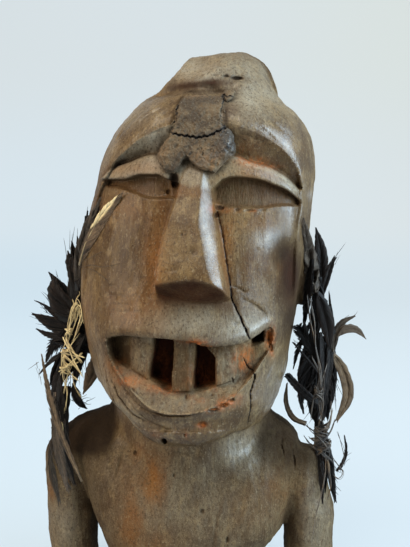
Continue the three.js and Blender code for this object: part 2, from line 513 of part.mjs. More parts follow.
const solid = ({ pos, tri }) => new wasm.Manifold(new wasm.Mesh({
  numProp: 3, vertProperties: Float32Array.from(pos), triVerts: Uint32Array.from(tri) }));

function geometry(body) {
  const m = body.getMesh(), g = new THREE.BufferGeometry();
  g.setAttribute("position", new THREE.BufferAttribute(Float32Array.from(m.vertProperties), 3));
  g.setIndex(Array.from(m.triVerts));
  g.computeVertexNormals();
  return g;
}

// block used for the flat cuts
function block(x0, x1, y0, y1, z0, z1) {
  const pos = [], tri = [0, 2, 1, 1, 2, 3, 4, 5, 6, 5, 7, 6, 0, 1, 4, 1, 5, 4, 2, 6, 3, 3, 6, 7, 0, 4, 2, 2, 4, 6, 1, 3, 5, 3, 7, 5];
  for (const z of [z0, z1]) for (const y of [y0, y1]) for (const x of [x0, x1]) pos.push(x, y, z);
  return solid({ pos, tri });
}

// the same closed mesh grown outwards along its vertex normals
function grown({ pos, tri }, by) {
  const n = new Float64Array(pos.length);
  for (let t = 0; t < tri.length; t += 3) {
    const [a, b, c] = [tri[t] * 3, tri[t + 1] * 3, tri[t + 2] * 3];
    const u = [0, 1, 2].map((i) => pos[b + i] - pos[a + i]), w = [0, 1, 2].map((i) => pos[c + i] - pos[a + i]);
    const f = [u[1] * w[2] - u[2] * w[1], u[2] * w[0] - u[0] * w[2], u[0] * w[1] - u[1] * w[0]];
    for (const v of [a, b, c]) for (let i = 0; i < 3; i++) n[v + i] += f[i];
  }
  const out = [];
  for (let i = 0; i < pos.length; i += 3) {
    const l = Math.hypot(n[i], n[i + 1], n[i + 2]) || 1;
    out.push(pos[i] + n[i] / l * by, pos[i + 1] + n[i + 1] / l * by, pos[i + 2] + n[i + 2] / l * by);
  }
  return { pos: out, tri };
}

function largest(body) {
  const parts = body.decompose();
  return parts.reduce((a, b) => (Math.abs(b.volume()) > Math.abs(a.volume()) ? b : a));
}

// ------------------------------------------------------------ the carving
const carvedRaw = surface(figureField, [-76, -70, -9], [76, 60, TOP_Z + 8], CELL);
const carvedMesh = simplify(carvedRaw, FIGURE_TRIANGLES);
const figureSolid = largest(solid(carvedMesh).subtract(block(-120, 120, -120, 120, -40, 0)));

// ------------------------------------------------------------ the crust
const crustRaw = surface(crustField, [-13, -52, 174], [27, -18, 216], 1.0);
const crustMesh = simplify(crustRaw, CHARGE_TRIANGLES);
const crustSolid = largest([0.12, 0.24, GAP, GAP + 0.12].reduce(
  (body, by) => body.subtract(solid(grown(carvedMesh, by))), solid(crustMesh)));

// ------------------------------------------------------------ feathers
// Each feather is a thin blade swept along its shaft: [x, v, z] from the tied
// end to the tip, the full width of the vane, and its colour family.
const BLADE = 0.9;                // thickness at the shaft
const FEATHERS = [
  { name: "feather_left_striped", path: [[-44.1, 17.0, 141.8], [-38.5, 23.0, 154.0], [-31.2, 30.0, 164.0], [-22.4, 38.0, 171.6]], width: 6.1, look: "cream" },
  { name: "feather_left_long_dark", path: [[-47.9, 9.0, 126.1], [-44.7, 13.0, 144.8], [-38.7, 20.0, 158.4], [-33.0, 27.0, 169.6]], width: 3.8, look: "dark" },
  { name: "feather_left_hair_tip", path: [[-50.4, 5.0, 125.1], [-48.4, 6.0, 141.6], [-45.9, 8.0, 154.8], [-43.4, 10.0, 166.5]], width: 3.9, look: "dark" },
  { name: "feather_left_upper", path: [[-50.5, -4.0, 123.9], [-52.8, -3.0, 131.7], [-54.8, -2.0, 140.2], [-56.1, -2.0, 145.5]], width: 6.1, look: "dark", behind: true },
  { name: "feather_left_broad_outer", path: [[-48.6, 7.5, 115.8], [-53.3, 8.5, 122.5], [-57.7, 9.0, 129.0], [-59.3, 9.0, 135.2]], width: 6.8, look: "dark" },
  { name: "feather_left_spiky", path: [[-50.2, 5.0, 110.7], [-58.2, 5.5, 113.4], [-64.9, 5.5, 116.0], [-70.4, 5.5, 118.1]], width: 5.6, look: "dark" },
  { name: "feather_left_hanging", path: [[-52.8, 2.0, 110.6], [-59.4, 2.0, 106.8], [-63.6, 2.0, 102.2], [-66.1, 2.0, 95.7]], width: 5.7, look: "dark" },
  { name: "feather_left_black_mass", path: [[-52.0, -2.0, 118.6], [-50.9, -2.5, 107.5], [-51.6, -2.5, 96.9], [-54.1, -2.5, 84.7]], width: 7.5, look: "dark" },
  { name: "feather_left_soft_grey", path: [[-43.5, -9.0, 99.5], [-45.5, -9.0, 91.5], [-48.6, -9.0, 84.6], [-52.2, -9.0, 78.4]], width: 4.1, look: "grey", behind: true },
  { name: "feather_left_shoulder_tuft", path: [[-57.8, -12.0, 82.5], [-57.3, -13.0, 76.6], [-55.6, -14.0, 72.2], [-52.2, -15.0, 69.6]], width: 5.4, look: "dark", behind: true },
  { name: "feather_left_lower_strip", path: [[-54.3, 17.0, 88.8], [-54.3, 18.0, 74.0], [-52.4, 18.0, 59.8], [-49.1, 18.0, 45.5]], width: 3.7, look: "dark" },
  { name: "feather_left_lower_grey", path: [[-56.3, 21.0, 81.9], [-55.4, 22.0, 67.3], [-53.5, 22.0, 55.0], [-51.5, 22.0, 44.8]], width: 4.9, look: "grey" },
  { name: "feather_left_tan_shaft", path: [[-47.2, 26.0, 47.5], [-52.1, 26.0, 64.8], [-57.6, 25.0, 83.0], [-62.3, 24.0, 102.4]], width: 3.2, look: "tan" },
  { name: "feather_right_grey_broad", path: [[55.2, 1.0, 128.2], [53.3, 2.0, 139.6], [50.9, 6.0, 150.6], [48.9, 12.0, 161.3]], width: 6.5, look: "grey" },
  { name: "feather_right_second", path: [[56.3, -4.0, 128.5], [56.6, -4.0, 139.1], [56.0, -4.0, 148.2], [54.1, -4.0, 156.5]], width: 4.0, look: "dark" },
  { name: "feather_right_short_dark", path: [[56.9, -1.0, 127.1], [58.9, -1.0, 134.4], [61.3, -1.0, 142.1], [66.9, -1.0, 150.6]], width: 2.2, look: "dark" },
  { name: "feather_right_long_dark", path: [[54.4, 9.0, 130.1], [56.6, 9.0, 123.8], [58.8, 9.0, 115.7], [60.2, 9.0, 106.3]], width: 5.6, look: "dark" },
  { name: "feather_right_thin_tip", path: [[62.0, 5.5, 111.7], [61.1, 5.5, 118.6], [60.1, 5.5, 125.0], [59.6, 5.5, 131.0]], width: 1.7, look: "dark" },
  { name: "feather_right_curl", path: [[62.0, 2.0, 103.1], [62.7, 2.0, 110.2], [65.6, 2.0, 115.9], [71.1, 2.0, 119.1]], width: 2.6, look: "dark" },
  { name: "feather_right_curl_branch", path: [[63.3, 6.0, 110.5], [66.6, 6.0, 114.0], [71.6, 6.0, 113.7], [75.5, 6.0, 109.9]], width: 2.2, look: "grey" },
  { name: "feather_right_comb", path: [[56.0, 4.0, 99.0], [52.4, 4.0, 105.1], [48.5, 4.0, 111.6], [44.6, 4.0, 117.2]], width: 5.6, look: "dark" },
  { name: "feather_right_stem_upper", path: [[57.0, 11.0, 93.3], [53.1, 11.0, 98.8], [48.4, 11.0, 104.3], [44.2, 11.0, 109.3]], width: 1.7, look: "dark" },
  { name: "feather_right_stem_lower", path: [[55.6, 8.0, 81.1], [50.0, 8.0, 85.8], [45.3, 8.0, 90.5], [41.4, 8.0, 95.2]], width: 3.4, look: "dark" },
  { name: "feather_right_curved_tan", path: [[50.8, 4.0, 71.3], [45.1, 4.0, 73.8], [42.0, 4.0, 80.9], [42.3, 4.0, 88.9]], width: 1.7, look: "tan" },
  { name: "feather_right_dark_mass", path: [[57.3, 0.0, 107.0], [56.2, 0.0, 96.3], [55.5, 0.0, 85.6], [57.0, 0.0, 74.8]], width: 10.5, look: "dark" },
  { name: "feather_right_dark_rear", path: [[60.2, -5.0, 108.8], [61.2, -5.0, 97.1], [61.0, -5.0, 84.4], [59.9, -5.0, 72.5]], width: 8.0, look: "dark" },
  { name: "feather_right_broad_brown", path: [[61.4, -2.2, 102.2], [66.8, -2.2, 93.8], [69.2, -2.2, 82.7], [64.6, -2.2, 71.7]], width: 4.4, look: "tan" },
  { name: "feather_right_tail", path: [[60.1, 3.0, 60.1], [61.5, 3.0, 53.3], [62.5, 3.0, 45.2], [64.0, 3.0, 37.0]], width: 3.9, look: "dark" },
  { name: "feather_right_hook", path: [[64.0, 7.5, 51.8], [66.4, 7.5, 55.1], [68.0, 7.5, 60.9], [67.1, 7.5, 68.0]], width: 1.5, look: "dark" },
];

// raffia: twists with a knot, [x, v, z] from the ear down
const TIES = [
  { name: "raffia_tie_left", path: [[-48.6, 17.5, 124.5], [-50.2, 18, 121.5], [-48.4, 19.0, 115.6], [-51.2, 18, 108.2], [-49.6, 17.0, 99.6], [-51.1, 16.5, 91.0]], r: 1.5, knots: [[0.55, 3.0], [0.8, 2.4]] },
  { name: "raffia_tie_right", path: [[50.1, 14.0, 127.4], [52.4, 14.0, 114.8], [55.0, 14.5, 102.2], [56.5, 14.0, 87.1], [57.2, 13.0, 76.1], [57.3, 13.0, 67.3]], r: 1.2, knots: [[0.86, 4.2]] },
];

// the shaft's points, each moved forward (or back, for what lies behind the
// figure) until the vane there clears the carving by the given distance
function shaft(path, half, by, n, behind) {
  const c = new THREE.CatmullRomCurve3(path.map(([x, v, z]) => new THREE.Vector3(x, -v, z)), false, "centripetal");
  const pts = c.getPoints(n), dir = behind ? 0.25 : -0.25;
  return pts.map((p, i) => {
    const d = new THREE.Vector3().subVectors(pts[Math.min(i + 1, n)], pts[Math.max(i - 1, 0)]).normalize();
    const side = new THREE.Vector3(0, -1, 0).cross(d).normalize();
    const q = p.clone();
    const room = () => Math.min(...[-half, 0, half].map((s) => figureField(q.x + side.x * s, -(q.y + side.y * s), q.z + side.z * s)));
    for (let k = 0; k < 160 && room() < by; k++) q.y += dir;
    return q;
  });
}

function blade({ path, width, behind }) {
  const n = 9, c = shaft(path, width / 2, 1.3, n, behind), pos = [], tri = [];
  const ring = 6;
  for (let i = 1; i < n; i++) {
    const t = i / n, w = width / 2 * Math.pow(Math.sin(Math.PI * Math.min(1, 0.10 + 0.86 * Math.pow(t, 0.75))), 0.55);
    const d = new THREE.Vector3().subVectors(c[i + 1], c[i - 1]).normalize();
    const side = new THREE.Vector3(0, -1, 0).cross(d).normalize();
    const up = new THREE.Vector3().crossVectors(d, side).normalize();
    const h = BLADE / 2 * (1 - 0.45 * t), e = 0.16;
    for (const [a, b] of [[-w, -e], [0, -h], [w, -e], [w, e], [0, h], [-w, e]])
      pos.push(...c[i].clone().addScaledVector(side, a).addScaledVector(up, b).toArray());
  }
  const rows = n - 1;
  for (let i = 0; i < rows - 1; i++) for (let k = 0; k < ring; k++) {
    const a = i * ring + k, b = i * ring + (k + 1) % ring, e = a + ring, f = b + ring;
    tri.push(a, b, f, a, f, e);
  }
  const s = pos.length / 3; pos.push(...c[0].toArray());
  const z = s + 1; pos.push(...c[n].toArray());
  for (let k = 0; k < ring; k++) {
    tri.push(s, (k + 1) % ring, k);
    const o = (rows - 1) * ring;
    tri.push(z, o + k, o + (k + 1) % ring);
  }
  return { pos, tri };
}

function twist({ path, r, knots }) {
  const n = 18, c = shaft(path, 0, r + 1.2, n, false), pos = [], tri = [], ring = 7;
  for (let i = 0; i <= n; i++) {
    const t = i / n;
    let q = r * (0.75 + 0.25 * Math.cos(i * 2.1));
    for (const [k, kr] of knots) q += kr * Math.exp(-(((t - k) / 0.045) ** 2)) * 0.8;
    if (i === 0 || i === n) q *= 0.55;
    const d = new THREE.Vector3().subVectors(c[Math.min(i + 1, n)], c[Math.max(i - 1, 0)]).normalize();
    const side = new THREE.Vector3(0, -1, 0).cross(d).normalize();
    const up = new THREE.Vector3().crossVectors(d, side).normalize();
    for (let k = 0; k < ring; k++) {
      const a = (k / ring) * 2 * Math.PI + 0.3 * i;
      pos.push(...c[i].clone().addScaledVector(side, Math.cos(a) * q).addScaledVector(up, -Math.sin(a) * q * 0.85).toArray());
    }
  }
  for (let i = 0; i < n; i++) for (let k = 0; k < ring; k++) {
    const a = i * ring + k, b = i * ring + (k + 1) % ring, e = a + ring, f = b + ring;
    tri.push(a, f, b, a, e, f);
  }
  const s = pos.length / 3; pos.push(...c[0].toArray());
  pos.push(...c[n].toArray());
  for (let k = 0; k < ring; k++) {
    tri.push(s, k, (k + 1) % ring);
    tri.push(s + 1, n * ring + (k + 1) % ring, n * ring + k);
  }
  return { pos, tri };
}

// turn the mesh the right way out if its volume is negative
function outward(m) {
  let v = 0;
  for (let t = 0; t < m.tri.length; t += 3) {
    const [a, b, c] = [m.tri[t] * 3, m.tri[t + 1] * 3, m.tri[t + 2] * 3], p = m.pos;
    v += p[a] * (p[b + 1] * p[c + 2] - p[b + 2] * p[c + 1]) + p[a + 1] * (p[b + 2] * p[c] - p[b] * p[c + 2]) + p[a + 2] * (p[b] * p[c + 1] - p[b + 1] * p[c]);
  }
  if (v < 0) for (let t = 0; t < m.tri.length; t += 3) { const k = m.tri[t]; m.tri[t] = m.tri[t + 1]; m.tri[t + 1] = k; }
  return m;
}

// ------------------------------------------------------------ the group
const COLOURS = {
  wood: [0x6b5a48, 0.55], crust: [0x59524a, 0.9], dark: [0x17130f, 0.6],
  cream: [0xb9a77c, 0.7], grey: [0x4a443d, 0.7], tan: [0x6f5a40, 0.7], raffia: [0xa08a55, 0.8],
};
const material = (look) => new THREE.MeshStandardMaterial({ color: COLOURS[look][0], roughness: COLOURS[look][1], metalness: 0 });

const group = new THREE.Group();
const add = (name, geo, look) => { const m = new THREE.Mesh(geo, material(look)); m.name = name; group.add(m); };

add("figure", geometry(figureSolid), "wood");
add("forehead_charge", geometry(crustSolid), "crust");
for (const f of FEATHERS) add(f.name, geometry(solid(outward(blade(f)))), f.look);
for (const t of TIES) add(t.name, geometry(solid(outward(twist(t)))), "raffia");

export default group;
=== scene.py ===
# Looks of the bust of a carved wooden power figure: the worn carving with its
# cracks and chips, the resin crust on the forehead, and the feathers and raffia
# that hang from the ears. Lengths inside are millimetres until a mesh is made.

import math
import bpy
import numpy as np
from mathutils import Vector, Matrix


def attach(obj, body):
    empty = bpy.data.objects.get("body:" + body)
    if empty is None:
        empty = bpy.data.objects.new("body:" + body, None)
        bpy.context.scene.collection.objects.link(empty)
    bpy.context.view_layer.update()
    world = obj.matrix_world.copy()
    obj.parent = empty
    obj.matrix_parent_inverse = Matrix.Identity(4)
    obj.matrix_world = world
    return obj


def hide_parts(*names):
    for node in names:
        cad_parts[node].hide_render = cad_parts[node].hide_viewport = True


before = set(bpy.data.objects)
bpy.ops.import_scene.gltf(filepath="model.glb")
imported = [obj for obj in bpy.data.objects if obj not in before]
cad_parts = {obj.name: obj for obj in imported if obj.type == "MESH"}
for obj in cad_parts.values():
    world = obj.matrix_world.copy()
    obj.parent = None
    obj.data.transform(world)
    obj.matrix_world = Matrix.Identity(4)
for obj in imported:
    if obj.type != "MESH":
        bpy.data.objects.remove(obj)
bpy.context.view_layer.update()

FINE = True
MM = 0.001

# ------------------------------------------------------------------- sizes
CELL = 0.50 if FINE else 1.1            # grid step of the carving's surface
FIGURE_FACES = 190000 if FINE else 60000
CRUST_CELL = 0.33 if FINE else 0.8
CARE = 0.004                            # how much the face is favoured when faces are saved

# --------------------------------------------------------------- carved form
# The same named profiles as the CAD source, as vectorised functions.
# x to the viewer's right, v forward (-y), z up, all in millimetres.

def ramp(a, b, x):
    t = np.clip((x - a) / (b - a), 0.0, 1.0)
    return t * t * (3.0 - 2.0 * t)


def mix(a, b, t):
    return a + (b - a) * t


def smin(a, b, k):
    h = np.clip(0.5 + 0.5 * (b - a) / k, 0.0, 1.0)
    return mix(b, a, h) - k * h * (1.0 - h)


def smax(a, b, k):
    return -smin(-a, -b, k)


def curve(*pairs):
    """Monotone cubic through a few named sizes, flat past its ends, as a fast table."""
    p = sorted(pairs)
    xs = np.array([q[0] for q in p], float)
    ys = np.array([q[1] for q in p], float)
    d = np.diff(ys) / np.diff(xs)
    m = np.empty(len(p))
    m[0], m[-1] = d[0], d[-1]
    for i in range(1, len(p) - 1):
        m[i] = 0.0 if d[i - 1] * d[i] <= 0 else 2 * d[i - 1] * d[i] / (d[i - 1] + d[i])
    step = 0.1
    X = np.arange(xs[0], xs[-1] + step, step)
    i = np.clip(np.searchsorted(xs, X, side="right") - 1, 0, len(p) - 2)
    h = xs[i + 1] - xs[i]
    t = np.clip((X - xs[i]) / h, 0, 1)
    t2, t3 = t * t, t * t * t
    Y = ((2 * t3 - 3 * t2 + 1) * ys[i] + (t3 - 2 * t2 + t) * h * m[i]
         + (3 * t2 - 2 * t3) * ys[i + 1] + (t3 - t2) * h * m[i + 1])
    x0, last = xs[0], len(X) - 2

    def at(q):
        s = (q - x0) * (1.0 / step)
        k = np.clip(s, 0, last + 0.999)
        j = k.astype(np.int32)
        f = np.minimum(k - j, 1.0)
        return Y[j] + (Y[j + 1] - Y[j]) * f
    return at


CAP_Z, CAP_H, HEAD_N, BROW_F, LEAN_Z, LEAN = 176.0, 40.0, 2.4, 46.0, 125.0, 0.1
NOSE_TOP = 181.6
MOUTH_L, MOUTH_R = -28.2, 36.6
ARM_L, ARM_R = (-55.0, 10.5), (52.7, 10.8)

head_half = curve((60, 32.0), (72, 33.2), (82, 35.3), (92, 39.2), (102.5, 42.2), (114, 44.6), (126, 46.3), (140, 47.5), (160, 47.9), (176, 47.6))
face_depth = curve((70, 45), (76, 47), (84, 49.5), (89, 51.5), (96, 50.5), (106, 50), (116, 50.8), (126, 48.3), (138, 45.2), (150, 43.4), (164, 41.8), (176, 41.2))
left_trim = curve((148, 0.0), (158, 0.035), (165, 0.05), (172, 0.075), (180, 0.10), (187.5, 0.125), (194.7, 0.15), (200.4, 0.155), (206, 0.15), (216, 0.14))
jaw_swell = curve((76, 0.0), (81, 0.035), (86, 0.045), (92, 0.025), (98, 0.015), (104, 0.0))
back_depth = curve((60, 24), (90, 27), (104, 32), (120, 39), (140, 45.5), (160, 48.5), (176, 49))
brow_edge = curve((-38, 170), (-33, 174.5), (-29.2, 179.3), (-25.8, 184.3), (-19.8, 189.2), (-13.6, 193.3), (-4.8, 197), (6, 199.2), (18, 198.3), (26.2, 195.8), (34.6, 192), (40.7, 187.4), (44.9, 181.8), (47, 175), (49, 168))
lid_top = curve((-34, 176.5), (-26.3, 182.1), (-19.1, 184.1), (-12, 186.3), (6, 187.5), (21.8, 185.8), (26.6, 183.8), (35.1, 181.4), (40.8, 178.1), (46, 173))
lid_edge = curve((-31, 176.9), (-22, 176.9), (-13.7, 178.5), (-7.8, 178.5), (-3.5, 176.5), (5, 174), (13, 173.2), (17, 176.4), (21, 177.4), (28.4, 176.9), (35.2, 175), (41.6, 172.3), (47, 168))
eye_foot = curve((-31, 174.2), (-23.2, 173.1), (-17.3, 171.2), (-9.8, 169.2), (-3.5, 169.6), (5, 170), (12.5, 168.8), (18.7, 166.3), (32.6, 165.8), (37.9, 166.6), (47, 166.4))
rim_left = curve((118, -44), (126, -42.5), (136, -41), (150, -39.5), (165, -36.2), (174, -32.6), (180, -30.2))
rim_right = curve((118, 46), (126, 44.8), (136, 44.9), (150, 45.2), (160, 45.6), (166, 46.4), (176, 46), (182, 44.9))
nose_left = curve((128, -8.2), (137.6, -7.3), (144.8, -6.6), (151.9, -5.2), (160.5, -2.9), (169.7, 0.1), (178.1, 2.7), (182, 5))
nose_right = curve((128, 20.6), (132.4, 20.1), (138.5, 19.1), (144.8, 17.6), (155.5, 15.5), (167.5, 13.3), (176.7, 12.2), (182, 10))
nose_ridge = curve((128, 15.6), (139.1, 14.6), (144.6, 12.6), (153.8, 10.4), (160.7, 8.9), (169.7, 9.2), (178.7, 9.8))
nose_height = curve((128, 61), (139, 60), (150, 56), (160, 52), (170, 48), (178, 45), (182, 43.5))
nose_foot = curve((-8, 137.8), (-1, 139.2), (6, 139.9), (13, 138.8), (20, 135.8))
upper_lip = curve((-28.2, 114.6), (-25, 115.9), (-18.9, 116.8), (-7.7, 116.3), (3, 115.7), (11, 113.4), (17.7, 113.2), (25, 114.2), (30.7, 116.7), (34.9, 119.4), (36.6, 118.4))
lower_rim = curve((-28.2, 111.5), (-27.2, 107.4), (-22.6, 100.3), (-16.4, 94.6), (-9.1, 89.6), (-1.8, 88), (7.1, 88.4), (14.3, 90.8), (21.5, 94.1), (27.3, 99.3), (31.6, 105.5), (35.1, 110.7), (36.6, 115.5))
teeth_foot = curve((-27, 105.5), (-19.5, 103.2), (-12, 99.6), (-1.4, 95), (6.1, 95.3), (16.7, 97.9), (28.3, 101.4), (35, 109))
chin_edge = curve((-34, 92), (-28, 88), (-21.7, 84), (-17, 78.9), (-12, 74.6), (-4.7, 72.3), (2.5, 72.2), (9.6, 73.1), (16.7, 75.2), (23.7, 76.6), (31.1, 76.2), (37, 77.5))
body_left = curve((-8, -30), (0, -31.5), (14, -35.5), (26.5, -40.7), (34.7, -44.2), (42, -46.6), (55, -51), (65, -53), (71, -48), (76.4, -37))
body_right = curve((-8, 28.6), (0, 29.2), (17.6, 33.2), (24, 38.5), (29, 42.4), (42, 45.5), (55, 47.5), (64, 47.5), (70, 43.5), (76, 34))
body_front = curve((-8, 35), (0, 34.6), (27, 33.4), (40, 31), (53, 27), (62, 22), (70, 15), (77, 8))
body_back = curve((-8, 27.5), (0, 27.5), (30, 30), (46, 30), (60, 26.5), (70, 20), (77, 10))
nose_under = curve((-8, 0.26), (0, 0.50), (7, 0.68), (14, 0.54), (20, 0.24))
neck_half = curve((50, 32.5), (58, 33), (68, 34.2), (78, 34), (92, 31))
neck_front = curve((50, 28.5), (58, 28), (70, 26.8), (92, 26))
crust_left = curve((178.5, -4.4), (182.6, -7.1), (186, -8.2), (189, -7.2), (193, -3.6), (199.4, -1.8), (203.5, -1.3), (210, 1.4))
crust_right = curve((179, 15.5), (181.4, 17), (184.3, 19.6), (186.2, 22), (191.4, 21.2), (195, 19.7), (197, 17.9), (203.3, 17.3), (206, 17.4), (208, 20.2), (211, 20.6), (212.6, 18))
crust_foot = curve((-7.6, 183), (-4, 179.4), (-1.3, 179.3), (0.6, 180.8), (2.0, 183.4), (3.8, 184.4), (5.6, 182.8), (8.3, 180.8), (11, 179.8), (13.6, 179.2), (16.3, 181.4), (18.9, 184.3), (22, 186.4))
crust_face = curve((178, 45.2), (184, 44.8), (188, 44.0), (192, 43.0), (196, 42.1), (198, 41.5), (200, 40.7), (202, 39.6), (204, 37.9), (206, 35.8), (208, 33.4), (211, 29.8))


def head_centre(z):
    return LEAN * (np.sqrt(np.maximum(z - LEAN_Z, 0.0) ** 2 + 16.0) - 4.0)


def under_brow(x, z):
    """How far up the brow's sloping underside, 0 at the crease above the lid, 1 at its edge."""
    b = brow_edge(x)
    t = np.minimum(lid_top(x), b - 1.4)
    return np.clip((z - t) / (b - t), 0, 1)


def brow_blend(x, z):
    over = under_brow(x, z) ** 1.15
    side = np.maximum(ramp(-0.9, 0.9, x - rim_right(z)), ramp(-0.9, 0.9, rim_left(z) - x))
    return np.maximum(over, side * ramp(118, 132, z))


def face_cut(x, z):
    b, t, l, e = brow_edge(x), lid_top(x), lid_edge(x), eye_foot(x)
    up = z > 160
    band = ramp(-0.6, 0.9, z - t) * (1 - ramp(-0.7, 0.7, z - b))
    d = band * (0.3 + 3.4 * (1 - under_brow(x, z)) ** 1.3)
    q = np.clip((z - l) / np.maximum(t - l, 1), 0, 1)
    lid = ramp(-0.5, 0.5, z - l) * (1 - ramp(-0.5, 0.9, z - t)) * ramp(-36, -31, x) * (1 - ramp(43.5, 47.5, x))
    d = d - lid * (2.4 * np.sqrt(np.maximum(0, 1 - (q - 0.12) ** 2 / 0.81)) - 1.3 * q * q)
    inner = 1 - ramp(-4.2, -2.6, x) * (1 - ramp(11.6, 13.2, x))
    ends = ramp(-32.5, -29.5, x) * (1 - ramp(44.5, 47.5, x))
    slit = ramp(-0.7, 1.1, z - e) * (1 - ramp(-0.5, 0.5, z - l))
    rise = np.clip((z - e) / np.maximum(l - e, 1), 0, 1)
    d = np.where(up, d + slit * ends * mix(1.9, mix(2.3, 3.9, rise), inner), 0.0)
    d = d + 2.1 * ramp(36, 43, x) * (1 - ramp(43.6, 45.5, x)) * ramp(124, 131, z) * (1 - ramp(147, 155, z))
    u, r, f = upper_lip(x), lower_rim(x), teeth_foot(x)
    gate = ((z < 124) & (z > 80)).astype(float)
    in_x = ramp(MOUTH_L - 0.3, MOUTH_L + 1, x) * (1 - ramp(MOUTH_R - 1, MOUTH_R + 0.3, x))
    under = 1 - ramp(-0.7, 0.5, z - u)
    above = ramp(-0.4, 0.5, z - r)
    back = ramp(f - 0.7, f + 0.7, z)
    ledge = 1 + 5.6 * np.clip((z - r) / np.maximum(f - r, 2), 0, 1)
    lip_shade = (3.4 + 1.2 * ramp(0, 3.5, u - z)) * (1 - 0.55 * ramp(28, 34, x))
    deep = np.full_like(x, 16.5)

    def tooth(deep, a, b, dd):
        return mix(deep, dd, ramp(a - 0.5, a + 0.5, x) * (1 - ramp(b - 0.5, b + 0.5, x)))
    # split wedges: their sides lean, the middle one has a ridge, the right one folds back
    deep = tooth(deep, -30, -18.0, 8.6)
    deep = tooth(deep, -19.2, -11.3 + 2.0 * ramp(102, 113, z), 4.8 + 0.045 * (x + 16) ** 2)
    deep = tooth(deep, -2.5 + 0.7 * ramp(99, 112, z), 6.0 + 1.0 * ramp(99, 112, z),
                 4.4 + 0.12 * np.maximum(4.4 - x, 0) + 1.1 * np.maximum(x - 4.4, 0) + 0.9 * ramp(103.2, 104.6, z - 0.2 * x))
    deep = tooth(deep, 14.4 - 3.6 * ramp(107.5, 112.5, z), 23.4, 4.1 + 0.50 * np.maximum(z - 105.2 - 0.42 * (x - 14), 0))
    deep = tooth(deep, 22.4, 38, mix(6.6, 2.4, ramp(26, 35, x)))
    notch = ramp(27.4, 28.6, x) * (1 - ramp(32.2, 33.4, x)) * ramp(112.2, 113.4, z - 0.35 * (x - 30))
    deep = mix(deep, 13.5, notch)
    d = d + gate * in_x * under * above * mix(ledge, np.maximum(deep, lip_shade), back)
    # the upper lip rolls in at its edge
    roll = ramp(MOUTH_L - 4, MOUTH_L + 4, x) * (1 - ramp(MOUTH_R - 5, MOUTH_R + 1, x))
    d = d + gate * roll * np.where(z > u, 1.4 * np.clip(1 - (z - u) / 3.8, 0, 1) ** 2, 0.0) * (1 - in_x * under * above)
    below = r - z
    d = d + gate * 1.7 * ramp(0.1, 1.1, below) * (1 - ramp(3, 17, below)) * (1 - ramp(27, 35, np.abs(x - 4)))
    return d


def head_field(x, v, z):
    u = x - head_centre(z)
    u = np.where(u < 0, u * (1 + left_trim(z)), u * (1 - jaw_swell(z)))
    cap = z >= CAP_Z
    a = np.where(cap, 47.6, head_half(z))
    b = np.where(cap, 49.0, back_depth(z))
    front = v > 0
    fd = face_depth(z)
    brow = np.where(z > CAP_Z - 14, BROW_F, mix(fd + 3.6, BROW_F, ramp(130, CAP_Z - 14, z)))
    face = np.where(cap, 41.2 - 0.05 * (z - CAP_Z), fd)
    f = mix(face, brow, brow_blend(x, z))
    e = z - brow_edge(x)
    f = f - np.where((e > 0) & (e < 4), 0.9 * (1 - e / 4) ** 2, 0.0)
    vv = np.where(front, np.maximum(v + face_cut(x, z) * ramp(4, 16, v), 0), -v)
    f = np.where(front, f, b)
    p, q, h = np.abs(u) / a, vv / f, np.where(cap, (z - CAP_Z) / CAP_H, 0.0)
    n = HEAD_N
    s = (p ** n + q ** n + h ** n) ** (1 / n)
    sp = (s + 1e-6) ** (1 - n)
    g = np.sqrt((p ** (n - 1) / a * sp) ** 2 + (q ** (n - 1) / f * sp) ** 2 + (h ** (n - 1) / CAP_H * sp) ** 2)
    d = (s - 1) / np.maximum(g, 0.012)
    jaw = chin_edge(x)
    cut = np.where(front, jaw, mix(jaw, 78.0, ramp(0, -30, v))) - z
    return smax(d, cut, 5.0)


def knot_field(x, v, z):
    cx = 11 + 0.19 * (z - 213)
    a, h = 27.7, 26.6
    f = np.where(v > 0, 29.5, 33.0)
    zz = z - 205
    px, pv, pz = (x - cx) / a, v / f, zz / h
    s = np.sqrt(px * px + pv * pv + pz * pz)
    g = np.sqrt((px / a) ** 2 + (pv / f) ** 2 + (pz / h) ** 2) / np.maximum(s, 1e-6)
    d = (s - 1) / np.maximum(g, 0.02)
    for ax, av, az, off in ((-0.30, 0.60, 0.742, 25.9), (0.42, 0.60, 0.681, 27.1), (-0.82, 0.20, 0.536, 24.6),
                            (0.80, 0.20, 0.566, 26.1), (-0.10, 0.10, 0.990, 24.4), (-0.55, -0.35, 0.758, 24.9),
                            (0.50, -0.50, 0.707, 27.2)):
        d = smax(d, (x - cx) * ax + v * av + zz * az - off, 0.5)
    return d


def nose_field(x, v, z):
    foot, ridge, top = nose_foot(x), nose_ridge(z), nose_height(z)
    front = (v - (top - 0.10 * np.maximum(ridge - x, 0))) * 0.97
    right = (v - top + 0.95 * (x - ridge)) * 0.72
    wl = (nose_left(z) - x) + 0.12 * (v - 50)
    wr = (x - nose_right(z)) + 0.10 * (v - 50)
    under = (foot - z) * 0.80 + (v - 59) * nose_under(x)
    crown = (z - NOSE_TOP) * 0.9 + (v - 44) * 0.3
    d = smax(front, right, 0.8)
    d = smax(d, wl, 1.0)
    d = smax(d, wr, 0.8)
    d = smax(d, under, 0.9)
    d = smax(d, crown, 2.0)
    return np.maximum(d, 25 - v)


def loft(x, v, z, left, right, front, back, n):
    cx, a = (left + right) / 2, (right - left) / 2
    f = np.where(v > 0, front, back)
    p, q = np.abs(x - cx) / a, np.abs(v) / f
    s = (p ** n + q ** n) ** (1 / n)
    sp = (s + 1e-6) ** (1 - n)
    return (s - 1) / np.maximum(np.sqrt((p ** (n - 1) / a * sp) ** 2 + (q ** (n - 1) / f * sp) ** 2), 0.012)


